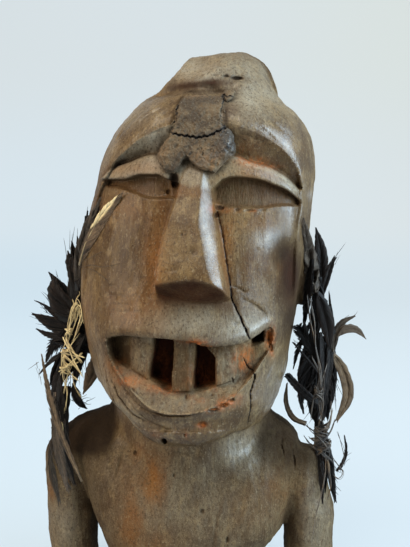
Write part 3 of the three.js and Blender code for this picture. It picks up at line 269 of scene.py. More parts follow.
def neck_field(x, v, z):
    a = neck_half(z)
    d = loft(x + 0.4, v, z, -a, a, neck_front(z), 26.0, 2.2)
    return np.maximum(np.maximum(d, 44 - z), z - 100)


def body_field(x, v, z):
    d = loft(x, v, z, body_left(z), body_right(z), body_front(z), body_back(z), 2.7) * 0.92
    return smax(d, z - 77, 3.0)


def capsule(x, v, z, a, b, ra, rb, squash):
    dx, dv, dz = b[0] - a[0], b[1] - a[1], b[2] - a[2]
    t = np.clip(((x - a[0]) * dx + (v - a[1]) * dv + (z - a[2]) * dz) / (dx * dx + dv * dv + dz * dz), 0, 1)
    return np.sqrt((x - a[0] - dx * t) ** 2 + ((v - a[1] - dv * t) / squash) ** 2 + (z - a[2] - dz * t) ** 2) - mix(ra, rb, t)


def arm_field(x, v, z):
    (lx, lr), (rx, rr) = ARM_L, ARM_R
    return np.minimum(
        np.minimum(capsule(x, v, z, (lx - 0.3, 1, 53), (lx + 0.8, 1.5, -20), 11.6, lr - 0.7, 1.12),
                   capsule(x, v, z, (-46, 0, 61.5), (lx - 0.3, 1, 53.5), 11, 11.6, 1.12)),
        np.minimum(capsule(x, v, z, (rx - 4.2, 1, 50), (rx, 1.5, 33), 10.8, rr, 1.16),
                   capsule(x, v, z, (rx, 1.5, 33), (rx, 1.5, -20), rr, rr, 1.16)))


def ear_field(x, v, z):
    out = None
    for cx, cz, s in ((-47.4, 131, -1), (48.4, 136, 1)):
        r = np.sqrt(((x - cx) / 5.4) ** 2 + ((v - 1.5) / 7) ** 2 + ((z - cz) / 12.5) ** 2)
        d = (r - 1) * 5.6
        hole = np.sqrt((x - cx - s * 4.6) ** 2 + ((v - 4) / 1.5) ** 2 + ((z - cz) / 3) ** 2) - 2.2
        d = smax(d, -hole, 0.8)
        out = d if out is None else np.minimum(out, d)
    return out


def form(x, v, z):
    """The plain carved form, the same as the CAD solid before its facets."""
    d = head_field(x, v, z)
    m = z > 195
    if m.any():
        X, V, Z = x[m], v[m], z[m]
        k = mix(2.0, 7.0, ramp(15, 24, X) * ramp(2, 16, V))
        e = smin(d[m], knot_field(X, V, Z), k)
        cz = 212.6 - 0.012 * (X - 2) ** 2 + 0.05 * X
        groove = ramp(-16, -9, X) * (1 - ramp(13, 17, X)) * ramp(6, 16, V)
        d[m] = e + 1.3 * groove * np.exp(-((Z - cz) ** 2) / 2.2)
    m = (z > 120) & (v > 20) & (z < 200)
    if m.any():
        d[m] = smin(d[m], nose_field(x[m], v[m], z[m]), 0.7)
    m = z < 112
    if m.any():
        X, V, Z = x[m], v[m], z[m]
        b = smin(body_field(X, V, Z), arm_field(X, V, Z), 3.5)
        b = smin(b, neck_field(X, V, Z), mix(6.0, 1.6, ramp(6, 18, V)))
        d[m] = smin(d[m], b, 2.2)
    m = (np.abs(x) > 36) & (z > 112) & (z < 155)
    if m.any():
        d[m] = smin(d[m], ear_field(x[m], v[m], z[m]), 1.6)
    return d


# ----------------------------------------------------------------- noise
TABLE = np.random.RandomState(7).rand(8192)


def lattice(ix, iy, iz, seed):
    h = (ix * 73856093) ^ (iy * 19349663) ^ (iz * 83492791) ^ (seed * 2654435)
    h ^= h >> 13
    return TABLE[h & 8191]


def noise(x, y, z, seed=0):
    """Smooth noise from 0 to 1 with one feature per unit."""
    fx, fy, fz = np.floor(x), np.floor(y), np.floor(z)
    ix, iy, iz = fx.astype(np.int64), fy.astype(np.int64), fz.astype(np.int64)
    tx, ty, tz = x - fx, y - fy, z - fz
    tx, ty, tz = (t * t * (3 - 2 * t) for t in (tx, ty, tz))
    out = 0.0
    for a in (0, 1):
        wa = tx if a else 1 - tx
        for b in (0, 1):
            wb = ty if b else 1 - ty
            for c in (0, 1):
                wc = tz if c else 1 - tz
                out = out + wa * wb * wc * lattice(ix + a, iy + b, iz + c, seed)
    return out


def fbm(x, y, z, seed=0, octaves=3):
    out, amp, tot = 0.0, 1.0, 0.0
    for o in range(octaves):
        k = 2.0 ** o
        out = out + amp * noise(x * k + 17.3 * o, y * k + 5.1 * o, z * k + 9.7 * o, seed + o)
        tot += amp
        amp *= 0.5
    return out / tot


def scallops(x, y, z, seed=0):
    """Squared distance to the nearest of one jittered point per unit cell: the shallow bowls a knife leaves."""
    fx, fy, fz = np.floor(x).astype(np.int64), np.floor(y).astype(np.int64), np.floor(z).astype(np.int64)
    best = np.full(x.shape, 9.0)
    for a in (-1, 0, 1):
        for b in (-1, 0, 1):
            for c in (-1, 0, 1):
                ix, iy, iz = fx + a, fy + b, fz + c
                px = ix + 0.15 + 0.7 * lattice(ix, iy, iz, seed)
                py = iy + 0.15 + 0.7 * lattice(ix, iy, iz, seed + 1)
                pz = iz + 0.15 + 0.7 * lattice(ix, iy, iz, seed + 2)
                best = np.minimum(best, (x - px) ** 2 + (y - py) ** 2 + (z - pz) ** 2)
    return best


# ------------------------------------------------------------ cracks, chips
# A crack is (points (x, z) across the front, half width, depth). Each runs with
# the grain, and the larger ones are drying cracks right through the surface.
CRACKS = (
    (((14.2, 167.2), (15.3, 163.3), (17.1, 155.7), (18.6, 145.8), (20.2, 137.1), (20.9, 131.2)), 0.20, 0.55),
    (((20.2, 137.1), (20.9, 131.2), (24.0, 124.7), (26.5, 118.9), (28.2, 114.8)), 0.26, 1.5),
    (((25.0, 107.6), (26.2, 104.2), (27.6, 102.6), (29.3, 101.6), (29.4, 98.8), (27.9, 94.6), (28.1, 88.3), (26.6, 80.5)), 0.20, 0.8),
    (((20.8, 136.4), (23.1, 135.6), (25.4, 134.0), (26.6, 134.6)), 0.26, 0.6),
    (((24.6, 131.6), (28.0, 129.6), (30.7, 127.9), (33.3, 125.3), (34.4, 122.0)), 0.32, 0.5),
    (((40.2, 67.5), (40.4, 64.4), (41.3, 59.8)), 0.26, 0.9),
    (((44.6, 62.2), (45.6, 58.9), (46.1, 54.4)), 0.24, 0.8),
    (((9.3, 104.2), (8.4, 99.8)), 0.3, 0.8),
    (((20.6, 100.6), (21.4, 98.2)), 0.3, 1.0),
    (((-20.6, 92.6), (-12.5, 84.5), (-4, 80.4), (3, 79.6)), 0.34, 0.45),
    (((-26.5, 104), (-22.2, 96.5), (-15.2, 90.2), (-9.0, 87.2)), 0.34, 0.5),
    (((-11.5, 88.4), (-4.0, 86.6), (4.0, 86.9), (9.5, 88.6)), 0.42, 1.0),
    (((-27.0, 99.0), (-23.5, 92.0), (-17.0, 85.6), (-10.0, 82.4)), 0.32, 0.8),
    (((-24.0, 103.0), (-19.6, 97.2), (-13.0, 92.8)), 0.30, 0.7),
    (((-30.0, 104.0), (-28.6, 96.0), (-25.0, 88.0), (-20.0, 82.6)), 0.30, 0.6),
)
# Cracks on the back and sides: (x, z0, z1, half width, depth).
REAR_CRACKS = (
    (-7.0, 104.0, 186.0, 0.45, 2.2), (12.5, 60.0, 128.0, 0.40, 1.8),
    (-21.0, 6.0, 58.0, 0.35, 1.2), (25.0, 0.0, 40.0, 0.4, 1.4), (4.0, 196.0, 222.0, 0.35, 1.3),
)
# A pit or chip is (x, z, half width, half height, depth), rounded in outline.
PITS = (
    (-5.2, 75.4, 0.9, 1.3, 2.2), (3.1, 78.8, 0.5, 0.8, 0.7), (9.7, 82.8, 2.0, 1.5, 1.0),
    (3.4, 93.3, 0.5, 0.8, 0.9), (13.4, 94.2, 0.6, 0.5, 0.8), (14.5, 95.9, 0.5, 0.5, 0.7),
    (5.3, 97.0, 0.6, 0.4, 0.6), (6.6, 95.9, 0.5, 0.4, 0.6), (-9.5, 91.5, 0.5, 0.4, 0.6),
    (14.1, 89.3, 2.6, 0.8, 0.9), (17.6, 90.8, 2.4, 1.0, 1.2), (20.6, 92.4, 1.6, 0.8, 1.0),
    (6.6, 115.2, 3.0, 0.9, 0.9), (11.0, 114.2, 1.8, 0.7, 0.6),
    (34.4, 115.4, 1.3, 3.0, 1.4), (35.6, 110.6, 0.8, 2.2, 0.8),
    (3.1, 156.2, 0.5, 0.7, 0.5), (7.8, 150.2, 1.3, 1.5, 0.45),
    (21.2, 216.6, 2.6, 0.7, 1.1), (17.2, 217.3, 1.2, 0.5, 0.8), (13.0, 217.6, 1.4, 0.35, 0.5),
    (22.6, 165.2, 1.0, 0.8, 0.7), (16.2, 166.0, 1.6, 1.0, 1.1), (14.6, 163.2, 0.8, 1.1, 0.8), (27.4, 164.9, 2.1, 0.5, 0.7),
    (32.0, 165.0, 1.5, 0.5, 0.5), (-1.4, 176.6, 1.8, 2.8, 2.8), (-4.2, 172.0, 0.9, 1.0, 0.8),
    (-24.0, 131.0, 0.7, 0.5, 0.4), (30.5, 150.0, 0.6, 0.6, 0.3), (-8.4, 86.2, 0.8, 0.5, 0.6),
    (-21.5, 62.0, 0.8, 1.0, 0.8), (8.0, 41.0, 0.8, 1.2, 0.7), (18.5, 30.0, 0.7, 1.6, 0.8), (-4.0, 55.0, 0.6, 1.0, 0.6),
    (23.0, 122.4, 1.4, 0.6, 0.4), (-27.8, 113.0, 1.0, 1.2, 0.8), (-15.0, 116.3, 1.2, 0.5, 0.5),
)
# Shallow strokes of the carving knife: (x0, z0, x1, z1, half width, depth).
STROKES = (
    (-29.5, 131.6, -19.0, 132.6, 0.7, 0.30), (-31.0, 134.6, -22.5, 136.4, 0.6, 0.25), (-27.5, 128.4, -16.0, 129.4, 0.55, 0.22),
    (-11.6, 133.0, -8.9, 131.0, 0.6, 0.3), (-26.8, 126.0, -14.5, 126.6, 0.5, 0.18), (-4.2, 143.0, 3.0, 143.8, 0.5, 0.2),
    (-24.5, 196.6, -14.0, 203.8, 0.8, 0.35), (-28.0, 190.0, -20.0, 199.0, 0.8, 0.3), (-16.0, 199.5, -6.0, 205.0, 0.7, 0.3),
    (28.0, 199.0, 38.0, 190.5, 0.8, 0.3), (31.0, 203.0, 41.0, 194.0, 0.8, 0.3), (-20.5, 84.6, -12.0, 78.4, 0.7, 0.35),
    (23.0, 78.0, 33.0, 88.0, 0.7, 0.3), (33.0, 96.0, 37.0, 106.0, 0.7, 0.3), (-31.5, 98.0, -35.0, 110.0, 0.7, 0.3),
    (-16.5, 192.6, -5.0, 195.9, 0.6, 0.35), (23.0, 194.6, 33.0, 190.4, 0.7, 0.4), (-9.0, 66.0, 8.0, 62.5, 0.8, 0.3),
    (-30.0, 50.0, -26.0, 66.0, 0.8, 0.3), (12.0, 22.0, 15.0, 44.0, 0.9, 0.35), (-22.0, 12.0, -19.0, 34.0, 0.9, 0.35),
)


def along(x, z, pts):
    """Distance to a broken line in the plane of the front, and how far along it from 0 to 1."""
    best, at = np.full(x.shape, 99.0), np.zeros(x.shape)
    n = len(pts) - 1
    for i in range(n):
        (ax, az), (bx, bz) = pts[i], pts[i + 1]
        dx, dz = bx - ax, bz - az
        t = np.clip(((x - ax) * dx + (z - az) * dz) / (dx * dx + dz * dz), 0, 1)
        e = np.hypot(x - ax - dx * t, z - az - dz * t)
        near = e < best
        best = np.where(near, e, best)
        at = np.where(near, (i + t) / n, at)
    return best, at


def near_box(x, z, pts, room):
    xs, zs = [p[0] for p in pts], [p[1] for p in pts]
    return (x > min(xs) - room) & (x < max(xs) + room) & (z > min(zs) - room) & (z < max(zs) + room)


def cut_depth(x, v, z):
    """Everything that age and the knife took out of the plain form, in mm."""
    d = np.zeros(x.shape)
    front = v > 4
    for pts, half, deep in CRACKS:
        m = front & near_box(x, z, pts, 2.0)
        if m.any():
            X, Z = x[m], z[m]
            X = X + 0.16 * np.sin(Z * 1.3) + 0.07 * np.sin(Z * 3.9 + 1)
            e, t = along(X, Z, pts)
            w = half * (0.55 + 0.45 * np.sin(np.pi * np.clip(t, 0.04, 0.96)) ** 0.5)
            d[m] = np.maximum(d[m], deep * np.clip(1.35 - e / w, 0, 1) ** 0.8 * np.sin(np.pi * np.clip(t, 0.08, 0.92)) ** 0.4)
    for cx, z0, z1, half, deep in REAR_CRACKS:
        m = (v < 0) & (np.abs(x - cx) < 3) & (z > z0 - 1) & (z < z1 + 1)
        if m.any():
            X, Z = x[m], z[m]
            c = cx + 0.8 * np.sin(Z * 0.21) + 0.3 * np.sin(Z * 1.1 + cx)
            t = np.clip((Z - z0) / (z1 - z0), 0, 1)
            w = half * np.sin(np.pi * t) ** 0.5 + 0.05
            d[m] = np.maximum(d[m], deep * np.clip(1.3 - np.abs(X - c) / w, 0, 1) * np.sin(np.pi * t) ** 0.5)
    for cx, cz, a, b, deep in PITS:
        m = front & (np.abs(x - cx) < a * 2) & (np.abs(z - cz) < b * 2)
        if m.any():
            r = np.hypot((x[m] - cx) / a, (z[m] - cz) / b)
            d[m] = np.maximum(d[m], deep * ramp(1.25, 0.35, r))
    for x0, z0, x1, z1, half, deep in STROKES:
        pts = ((x0, z0), (x1, z1))
        m = front & near_box(x, z, pts, half * 2)
        if m.any():
            e, t = along(x[m], z[m], pts)
            d[m] = d[m] + deep * np.clip(1 - (e / half) ** 2, 0, 1) * np.sin(np.pi * t)
    return d


def carved(x, v, z):
    d = form(x, v, z)
    m = d > -6
    d[m] = d[m] + cut_depth(x[m], v[m], z[m])
    return np.maximum(d, -z)


# ------------------------------------------------------ crust on the forehead
CRUST_CRACKS = (
    (((-3.6, 194.9), (-1.0, 193.6), (2.0, 193.0), (5.0, 192.6), (7.9, 192.2), (12.4, 193.0), (14.6, 194.3), (16.3, 194.9), (18.6, 196.4)), 0.42, 1.9),
    (((-0.6, 207.5), (-0.9, 203.0), (-1.1, 199.0), (-2.0, 196.4), (-3.6, 193.6)), 0.52, 1.7),
    (((16.6, 209.0), (17.0, 205.6), (16.4, 202.0), (16.9, 198.6), (17.6, 196.0)), 0.60, 2.0),
    (((-6.4, 190.4), (-4.6, 188.8), (-5.2, 186.9)), 0.26, 0.8),
    (((8.0, 192.2), (8.6, 189.0), (10.2, 186.6), (9.4, 184.6)), 0.20, 0.5),
    (((1.5, 192.9), (0.6, 189.6), (-1.6, 187.8)), 0.2, 0.4),
    (((16.0, 209.5), (18.4, 208.4), (20.2, 208.8)), 0.3, 1.0),
    (((5.4, 211.0), (6.2, 207.0), (4.4, 203.0), (5.2, 198.5)), 0.16, 0.3),
)


def crust(x, v, z):
    """The resin crust, from its own face down into the carving's skin."""
    skin = form(x, v, z)
    rough = fbm(x * 0.55, v * 0.55, z * 0.55, 31, 3) - 0.5
    edge = 1.1 * (noise(x * 0.9, v * 0.9, z * 0.9, 44) - 0.5) + 1.3 * (noise(x * 0.33, v * 0.33, z * 0.33, 45) - 0.5)
    u = x - head_centre(z)
    round_ = np.maximum(0, 1 - np.abs(u / 47.6) ** HEAD_N) ** (1 / HEAD_N)
    face = crust_face(z) * round_ - 0.4 * ramp(193, 198, z)
    # middle plate dips a little, the lower right lobe is a thick shiny lump
    lump = np.exp(-(((x - 19.2) / 2.6) ** 2 + ((z - 189.5) / 4.6) ** 2))
    lump2 = np.exp(-(((x - 18.3) / 2.0) ** 2 + ((z - 209.4) / 1.8) ** 2))
    left = np.exp(-(((x + 3.2) / 3.2) ** 2 + ((z - 184.5) / 3.4) ** 2))
    face = face + 0.9 * rough + 0.5 * (noise(x * 1.25, v * 1.25, z * 1.25, 46) - 0.5) + 0.50 * (noise(x * 2.3, v * 2.3, z * 2.3, 47) - 0.5)
    face = face + 1.3 * lump + 1.1 * lump2 + 0.6 * left
    # the upper and lower plates have slipped against each other at the long crack
    face = face + 0.45 * ramp(193.6, 192.4, z + 0.10 * (x - 6))
    for pts, half, deep in CRUST_CRACKS:
        m = near_box(x, z, pts, 1.6)
        if m.any():
            X = x[m] + 0.25 * np.sin(z[m] * 2.3) + 0.15 * np.sin(z[m] * 6.1)
            Z = z[m] + 0.22 * np.sin(x[m] * 2.9) + 0.12 * np.sin(x[m] * 7.7)
            e, t = along(X, Z, pts)
            face[m] = face[m] - deep * np.clip(1.3 - e / half, 0, 1) * np.sin(np.pi * np.clip(t, 0.1, 0.9)) ** 0.4
    d = (v - face) * 0.9
    d = smax(d, crust_left(z) - x + edge * 0.8, 1.1)
    d = smax(d, x - crust_right(z) + edge * 0.6, 1.1)
    d = smax(d, z - mix(209.2, 211.6, ramp(15, 17, x)) + edge * 0.5, 1.1)
    d = smax(d, (crust_foot(x) - z) * 0.9 + edge * 0.7, 1.1)
    # thin at its borders, where it was smeared onto the wood
    inside = np.minimum(np.minimum(x - crust_left(z), crust_right(z) - x), np.minimum(210.4 - z, z - crust_foot(x))) + 0.8 * edge
    d = smax(d, skin - mix(0.9, 8.0, ramp(-0.4, 2.8, inside)), 0.8)
    return np.maximum(np.maximum(d, -0.9 - skin), 24 - v)


# ------------------------------------------------------------- surface maker
def sample(field, lo, hi, h, wide=2.3):
    """Field values on a fine grid. Far from the surface only the sign is right."""
    k = 4
    H = h * k
    n = [int(math.ceil((hi[i] - lo[i]) / H)) for i in range(3)]
    ax = [lo[i] + H * np.arange(n[i] + 1) for i in range(3)]
    X, Y, Z = np.meshgrid(*ax, indexing="ij")
    coarse = field(X.ravel(), -Y.ravel(), Z.ravel()).reshape(X.shape)
    c = [slice(None, -1), slice(1, None)]
    corners = np.stack([coarse[c[a], c[b], c[e]] for a in (0, 1) for b in (0, 1) for e in (0, 1)])
    low = np.abs(corners).min(0)
    mixed = (corners.min(0) < 0) & (corners.max(0) >= 0)
    busy = mixed | (low < wide * h * k * 0.5)
    sign = np.where(coarse[:-1, :-1, :-1] < 0, -9.0, 9.0).astype(np.float32)
    A = np.full([m * k + 1 for m in n], 9.0, np.float32)
    A[:-1, :-1, :-1] = np.repeat(np.repeat(np.repeat(sign, k, 0), k, 1), k, 2)
    cells = np.argwhere(busy)
    off = np.stack(np.meshgrid(*[np.arange(k + 1)] * 3, indexing="ij"), -1).reshape(-1, 3)
    off = off[(off < k).all(1)]
    for s in range(0, len(cells), 9000):
        idx = (cells[s:s + 9000, None, :] * k + off[None]).reshape(-1, 3)
        p = idx * h + np.array(lo)
        A[idx[:, 0], idx[:, 1], idx[:, 2]] = field(p[:, 0].copy(), -p[:, 1], p[:, 2].copy())
    return A


def nets(A, lo, h):
    """Quads round the zero level of A: one vertex in each grid cell that the surface crosses."""
    S = A < 0
    c = [slice(None, -1), slice(1, None)]
    count = np.zeros([s - 1 for s in A.shape], np.int8)
    for a in (0, 1):
        for b in (0, 1):
            for e in (0, 1):
                count += S[c[a], c[b], c[e]]
    active = (count > 0) & (count < 8)
    cells = np.argwhere(active)
    index = np.full(active.shape, -1, np.int32)
    index[active] = np.arange(len(cells), dtype=np.int32)
    corner = [(a, b, e) for a in (0, 1) for b in (0, 1) for e in (0, 1)]
    val = {q: A[cells[:, 0] + q[0], cells[:, 1] + q[1], cells[:, 2] + q[2]].astype(float) for q in corner}
    acc, num = np.zeros((len(cells), 3)), np.zeros(len(cells))
    for q in corner:
        for axis in range(3):
            if q[axis]:
                continue
            r = list(q); r[axis] = 1
            a, b = val[q], val[tuple(r)]
            cross = (a < 0) != (b < 0)
            t = np.where(cross, a / np.where(a == b, 1, a - b), 0)
            p = np.array(q, float)[None].repeat(len(cells), 0)
            p[:, axis] = t
            acc += p * cross[:, None]
            num += cross
    verts = (cells + acc / num[:, None]) * h + np.array(lo)
    quads = []
    for axis in range(3):
        o1, o2 = [(1, 2), (2, 0), (0, 1)][axis]
        lo_s, hi_s = [slice(None)] * 3, [slice(None)] * 3
        lo_s[axis], hi_s[axis] = slice(None, -1), slice(1, None)
        e = np.argwhere(S[tuple(lo_s)] != S[tuple(hi_s)])
        e = e[(e[:, o1] > 0) & (e[:, o2] > 0) & (e[:, o1] < S.shape[o1] - 1) & (e[:, o2] < S.shape[o2] - 1)]
        inside = S[e[:, 0], e[:, 1], e[:, 2]]
        q = []
        for d1, d2 in ((0, 0), (-1, 0), (-1, -1), (0, -1)):
            g = e.copy(); g[:, o1] += d1; g[:, o2] += d2
            q.append(index[g[:, 0], g[:, 1], g[:, 2]])
        q = np.stack(q, 1)
        q[~inside] = q[~inside][:, ::-1]
        quads.append(q)
    return verts, np.concatenate(quads)


def gradient(field, p, e=0.12):
    x, v, z = p[:, 0].copy(), -p[:, 1], p[:, 2].copy()
    d = field(x.copy(), v.copy(), z.copy())
    g = np.stack([field(x + e, v.copy(), z.copy()) - d, -(field(x.copy(), v + e, z.copy()) - d), field(x.copy(), v.copy(), z + e) - d], 1) / e
    return d, g


def settle(field, p, h):
    """Each vertex moved onto the surface, at most half a cell."""
    d, g = gradient(field, p)
    move = -d[:, None] * g / np.maximum((g * g).sum(1), 0.15)[:, None]
    far = np.linalg.norm(move, axis=1)
    return p + move * np.minimum(1, 0.5 * h / np.maximum(far, 1e-9))[:, None]


def new_mesh(name, verts, faces):
    """A mesh from arrays. faces is one array of equal-sided faces, or a list of such arrays."""
    faces = faces if isinstance(faces, list) else [faces]
    me = bpy.data.meshes.new(name)
    me.vertices.add(len(verts))
    me.vertices.foreach_set("co", np.ascontiguousarray(verts, np.float32).ravel())
    loops = np.concatenate([f.ravel() for f in faces]).astype(np.int32)
    sides = np.concatenate([np.full(len(f), f.shape[1], np.int32) for f in faces])
    me.loops.add(len(loops))
    me.loops.foreach_set("vertex_index", loops)
    me.polygons.add(len(sides))
    me.polygons.foreach_set("loop_start", (np.cumsum(sides) - sides).astype(np.int32))
    me.polygons.foreach_set("use_smooth", np.ones(len(sides), bool))
    me.update(calc_edges=True)
    return me


def points_of(me):
    p = np.empty(len(me.vertices) * 3, np.float32)
    me.vertices.foreach_get("co", p)
    return p.reshape(-1, 3).astype(float)


def normals_of(me):
    n = np.empty(len(me.vertices) * 3, np.float32)
    me.vertex_normals.foreach_get("vector", n)
    return n.reshape(-1, 3).astype(float)


def set_points(me, p):
    me.vertices.foreach_set("co", np.ascontiguousarray(p, np.float32).ravel())
    me.update()


def paint(me, name, values):
    a = me.attributes.new(name, "FLOAT", "POINT")
    a.data.foreach_set("value", np.clip(values, 0, 1).astype(np.float32))


def decimated(me, target, care=None):
    """The same mesh with fewer faces, kept where the surface bends and where care is high."""
    now = sum(len(p.vertices) - 2 for p in me.polygons) if len(me.polygons) < 1000 else len(me.loops) - 2 * len(me.polygons)
    if now <= target:
        return me
    o = bpy.data.objects.new("work", me)
    bpy.context.scene.collection.objects.link(o)
    mod = o.modifiers.new("fewer", "DECIMATE")
    mod.ratio = target / now
    mod.use_collapse_triangulate = True
    if care is not None:
        group = o.vertex_groups.new(name="plain")
        for level in range(1, 5):
            pick = np.nonzero(np.round(care * 4) == level)[0]
            if len(pick):
                group.add(pick.tolist(), 1 - 0.18 * level, "REPLACE")
        pick = np.nonzero(np.round(care * 4) <= 0)[0]
        group.add(pick.tolist(), 1.0, "REPLACE")
        mod.vertex_group = "plain"
        mod.vertex_group_factor = CARE
    dg = bpy.context.evaluated_depsgraph_get()
    dg.update()
    out = bpy.data.meshes.new_from_object(o.evaluated_get(dg), depsgraph=dg)
    bpy.data.objects.remove(o)
    bpy.data.meshes.remove(me)
    return out


def piece(name, me, nodes, material):
    """A finished piece: to metres, on the one body, in place of its CAD nodes."""
    set_points(me, points_of(me) * MM)
    o = bpy.data.objects.new(name, me)
    bpy.context.scene.collection.objects.link(o)
    me.materials.clear()
    me.materials.append(material)
    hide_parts(*nodes)
    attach(o, "root")
    return o


# ------------------------------------------------------------- the carving
def make_figure():
    lo, hi = (-78.0, -66.0, -3.0), (74.0, 58.0, 236.0)
    A = sample(carved, lo, hi, CELL)
    p, quads = nets(A, lo, CELL)
    del A
    p = settle(carved, p, CELL)
    me = new_mesh("carving", p, quads)
    n = normals_of(me)
    x, v, z = p[:, 0], -p[:, 1], p[:, 2]
    face = ramp(14, 30, v) * ramp(70, 90, z) * (1 - ramp(190, 200, z))
    # slow unevenness of hand carving, knife bowls, and the raised grain
    slow = (fbm(x / 15, v / 15, z / 19, 3, 2) - 0.5) * mix(1.3, 0.5, face)
    bowls = np.minimum(scallops(x / 8.5, v / 8.5, z / 15, 11), 0.9) * mix(0.85, 0.30, face)
    small = (fbm(x / 2.4, v / 2.4, z / 4.6, 21, 3) - 0.5) * mix(0.55, 0.34, face)
    grain = (noise(x / 0.9, v / 0.9, z / 9, 27) - 0.5) * mix(0.24, 0.16, face)
    rough_body = (1 - ramp(62, 80, z)) * (fbm(x / 1.5, v / 1.5, z / 2.6, 33, 2) - 0.5) * 0.42
    rough_knot = ramp(212, 216, z) * (fbm(x / 2.2, v / 2.2, z / 2.2, 35, 2) - 0.5) * 0.35
    mouth = ramp(2, 10, v) * ramp(-1.0, 1.0, z - lower_rim(x)) * (1 - ramp(-0.5, 0.5, z - upper_lip(x))) * (np.abs(x - 4) < 34)
    splintered = mouth * ((fbm(x / 1.6, v / 1.6, z / 3.2, 37, 3) - 0.5) * 0.9 + (noise(x / 0.7, v / 2.0, z / 4.0, 39) - 0.5) * 0.35)
    move = slow + bowls - 0.25 * mix(0.85, 0.30, face) + small + grain + rough_body + rough_knot + splintered
    # old worn crown: nothing sharp, the head polished smooth on the viewer's right
    move *= mix(1.0, 0.55, ramp(6, 30, x) * ramp(196, 204, z) * ramp(10, 20, v) * (1 - ramp(214, 220, z)))
    move *= mix(1.0, 0.40, ramp(8, 22, x) * ramp(-1, 3, z - brow_edge(x)) * (z > 170) * (1 - ramp(196, 204, z)) * ramp(10, 20, v))
    move *= mix(1.0, 0.45, ramp(6, 14, x) * (z > 110) * (z < 128) * ramp(0, 1.5, z - upper_lip(x)) * (1 - ramp(6, 11, z - upper_lip(x))) * ramp(10, 20, v))
    move *= 1 - 0.6 * ramp(-0.4, 0.4, nose_near(x, v, z))
    bottom = ramp(2.5, 0.3, z)
    p = p + n * (move * (1 - bottom))[:, None]
    p[:, 2] = np.maximum(p[:, 2], 0.0)
    flat = (z < 0.45) & (n[:, 2] < -0.6)
    p[flat, 2] = 0.0
    set_points(me, p)
    me = decimated(me, FIGURE_FACES, front_care(*(lambda q: (q[:, 0], -q[:, 1], q[:, 2]))(p)))
    me.name = "carving"
    p, n = points_of(me), normals_of(me)
    x, v, z = p[:, 0], -p[:, 1], p[:, 2]

    def probe(k, inward=False):
        s = -k if inward else k
        q = p + n * s
        return form(q[:, 0].copy(), -q[:, 1], q[:, 2].copy())
    near = sum(np.clip(1 - probe(k) / k, 0, 1.5) * w for k, w in ((0.8, 0.3), (1.8, 0.4), (3.2, 0.3)))
    # wide: how closely the surface is enclosed within 6 to 11 mm, used for painted shade in the wood's colour
    wide = sum(np.clip(1 - probe(k) / k, 0, 1.2) * w for k, w in ((6.0, 0.4), (11.0, 0.6)))
    edge = sum(np.clip(1 + probe(k, True) / k, 0, 1.0) * w for k, w in ((0.9, 0.5), (2.0, 0.5)))
    paint(me, "cavity", near)
    paint(me, "hollow_shade", wide)
    paint(me, "edge", edge)
    paint(me, "cut", cut_depth(x, v, z) / 0.9)
    for name, values in zones(x, v, z, near, wide, edge).items():
        paint(me, name, values)
    set_smooth(me)
    return piece("carved_figure", me, ["figure"], wood_material())


def front_care(x, v, z):
    """1 where the face is carved most finely, 0 over the back, the sides and the body."""
    c = ramp(14, 26, v) * ramp(68, 78, z) * (1 - ramp(200, 212, z))
    return c * (1 - 0.5 * nose_near(x, v, z).clip(0, 1))


def nose_near(x, v, z):
    """Above 0 on the nose, which is planed smoother than the rest."""
    return np.where((z > 134) & (z < 184) & (v > 40), 1.0 - np.maximum(nose_left(z) - x, x - nose_right(z)), -1.0)


def set_smooth(me):
    me.polygons.foreach_set("use_smooth", np.ones(len(me.polygons), bool))
    me.update()


def blobs(x, z, *places):
    """Soft spots (x, z, half width, half height, strength), the strongest one at each point."""
    out = np.zeros(x.shape)
    for cx, cz, a, b, s in places:
        r = ((x - cx) / a) ** 2 + ((z - cz) / b) ** 2
        out = np.maximum(out, s * np.exp(-r * 1.2))
    return out


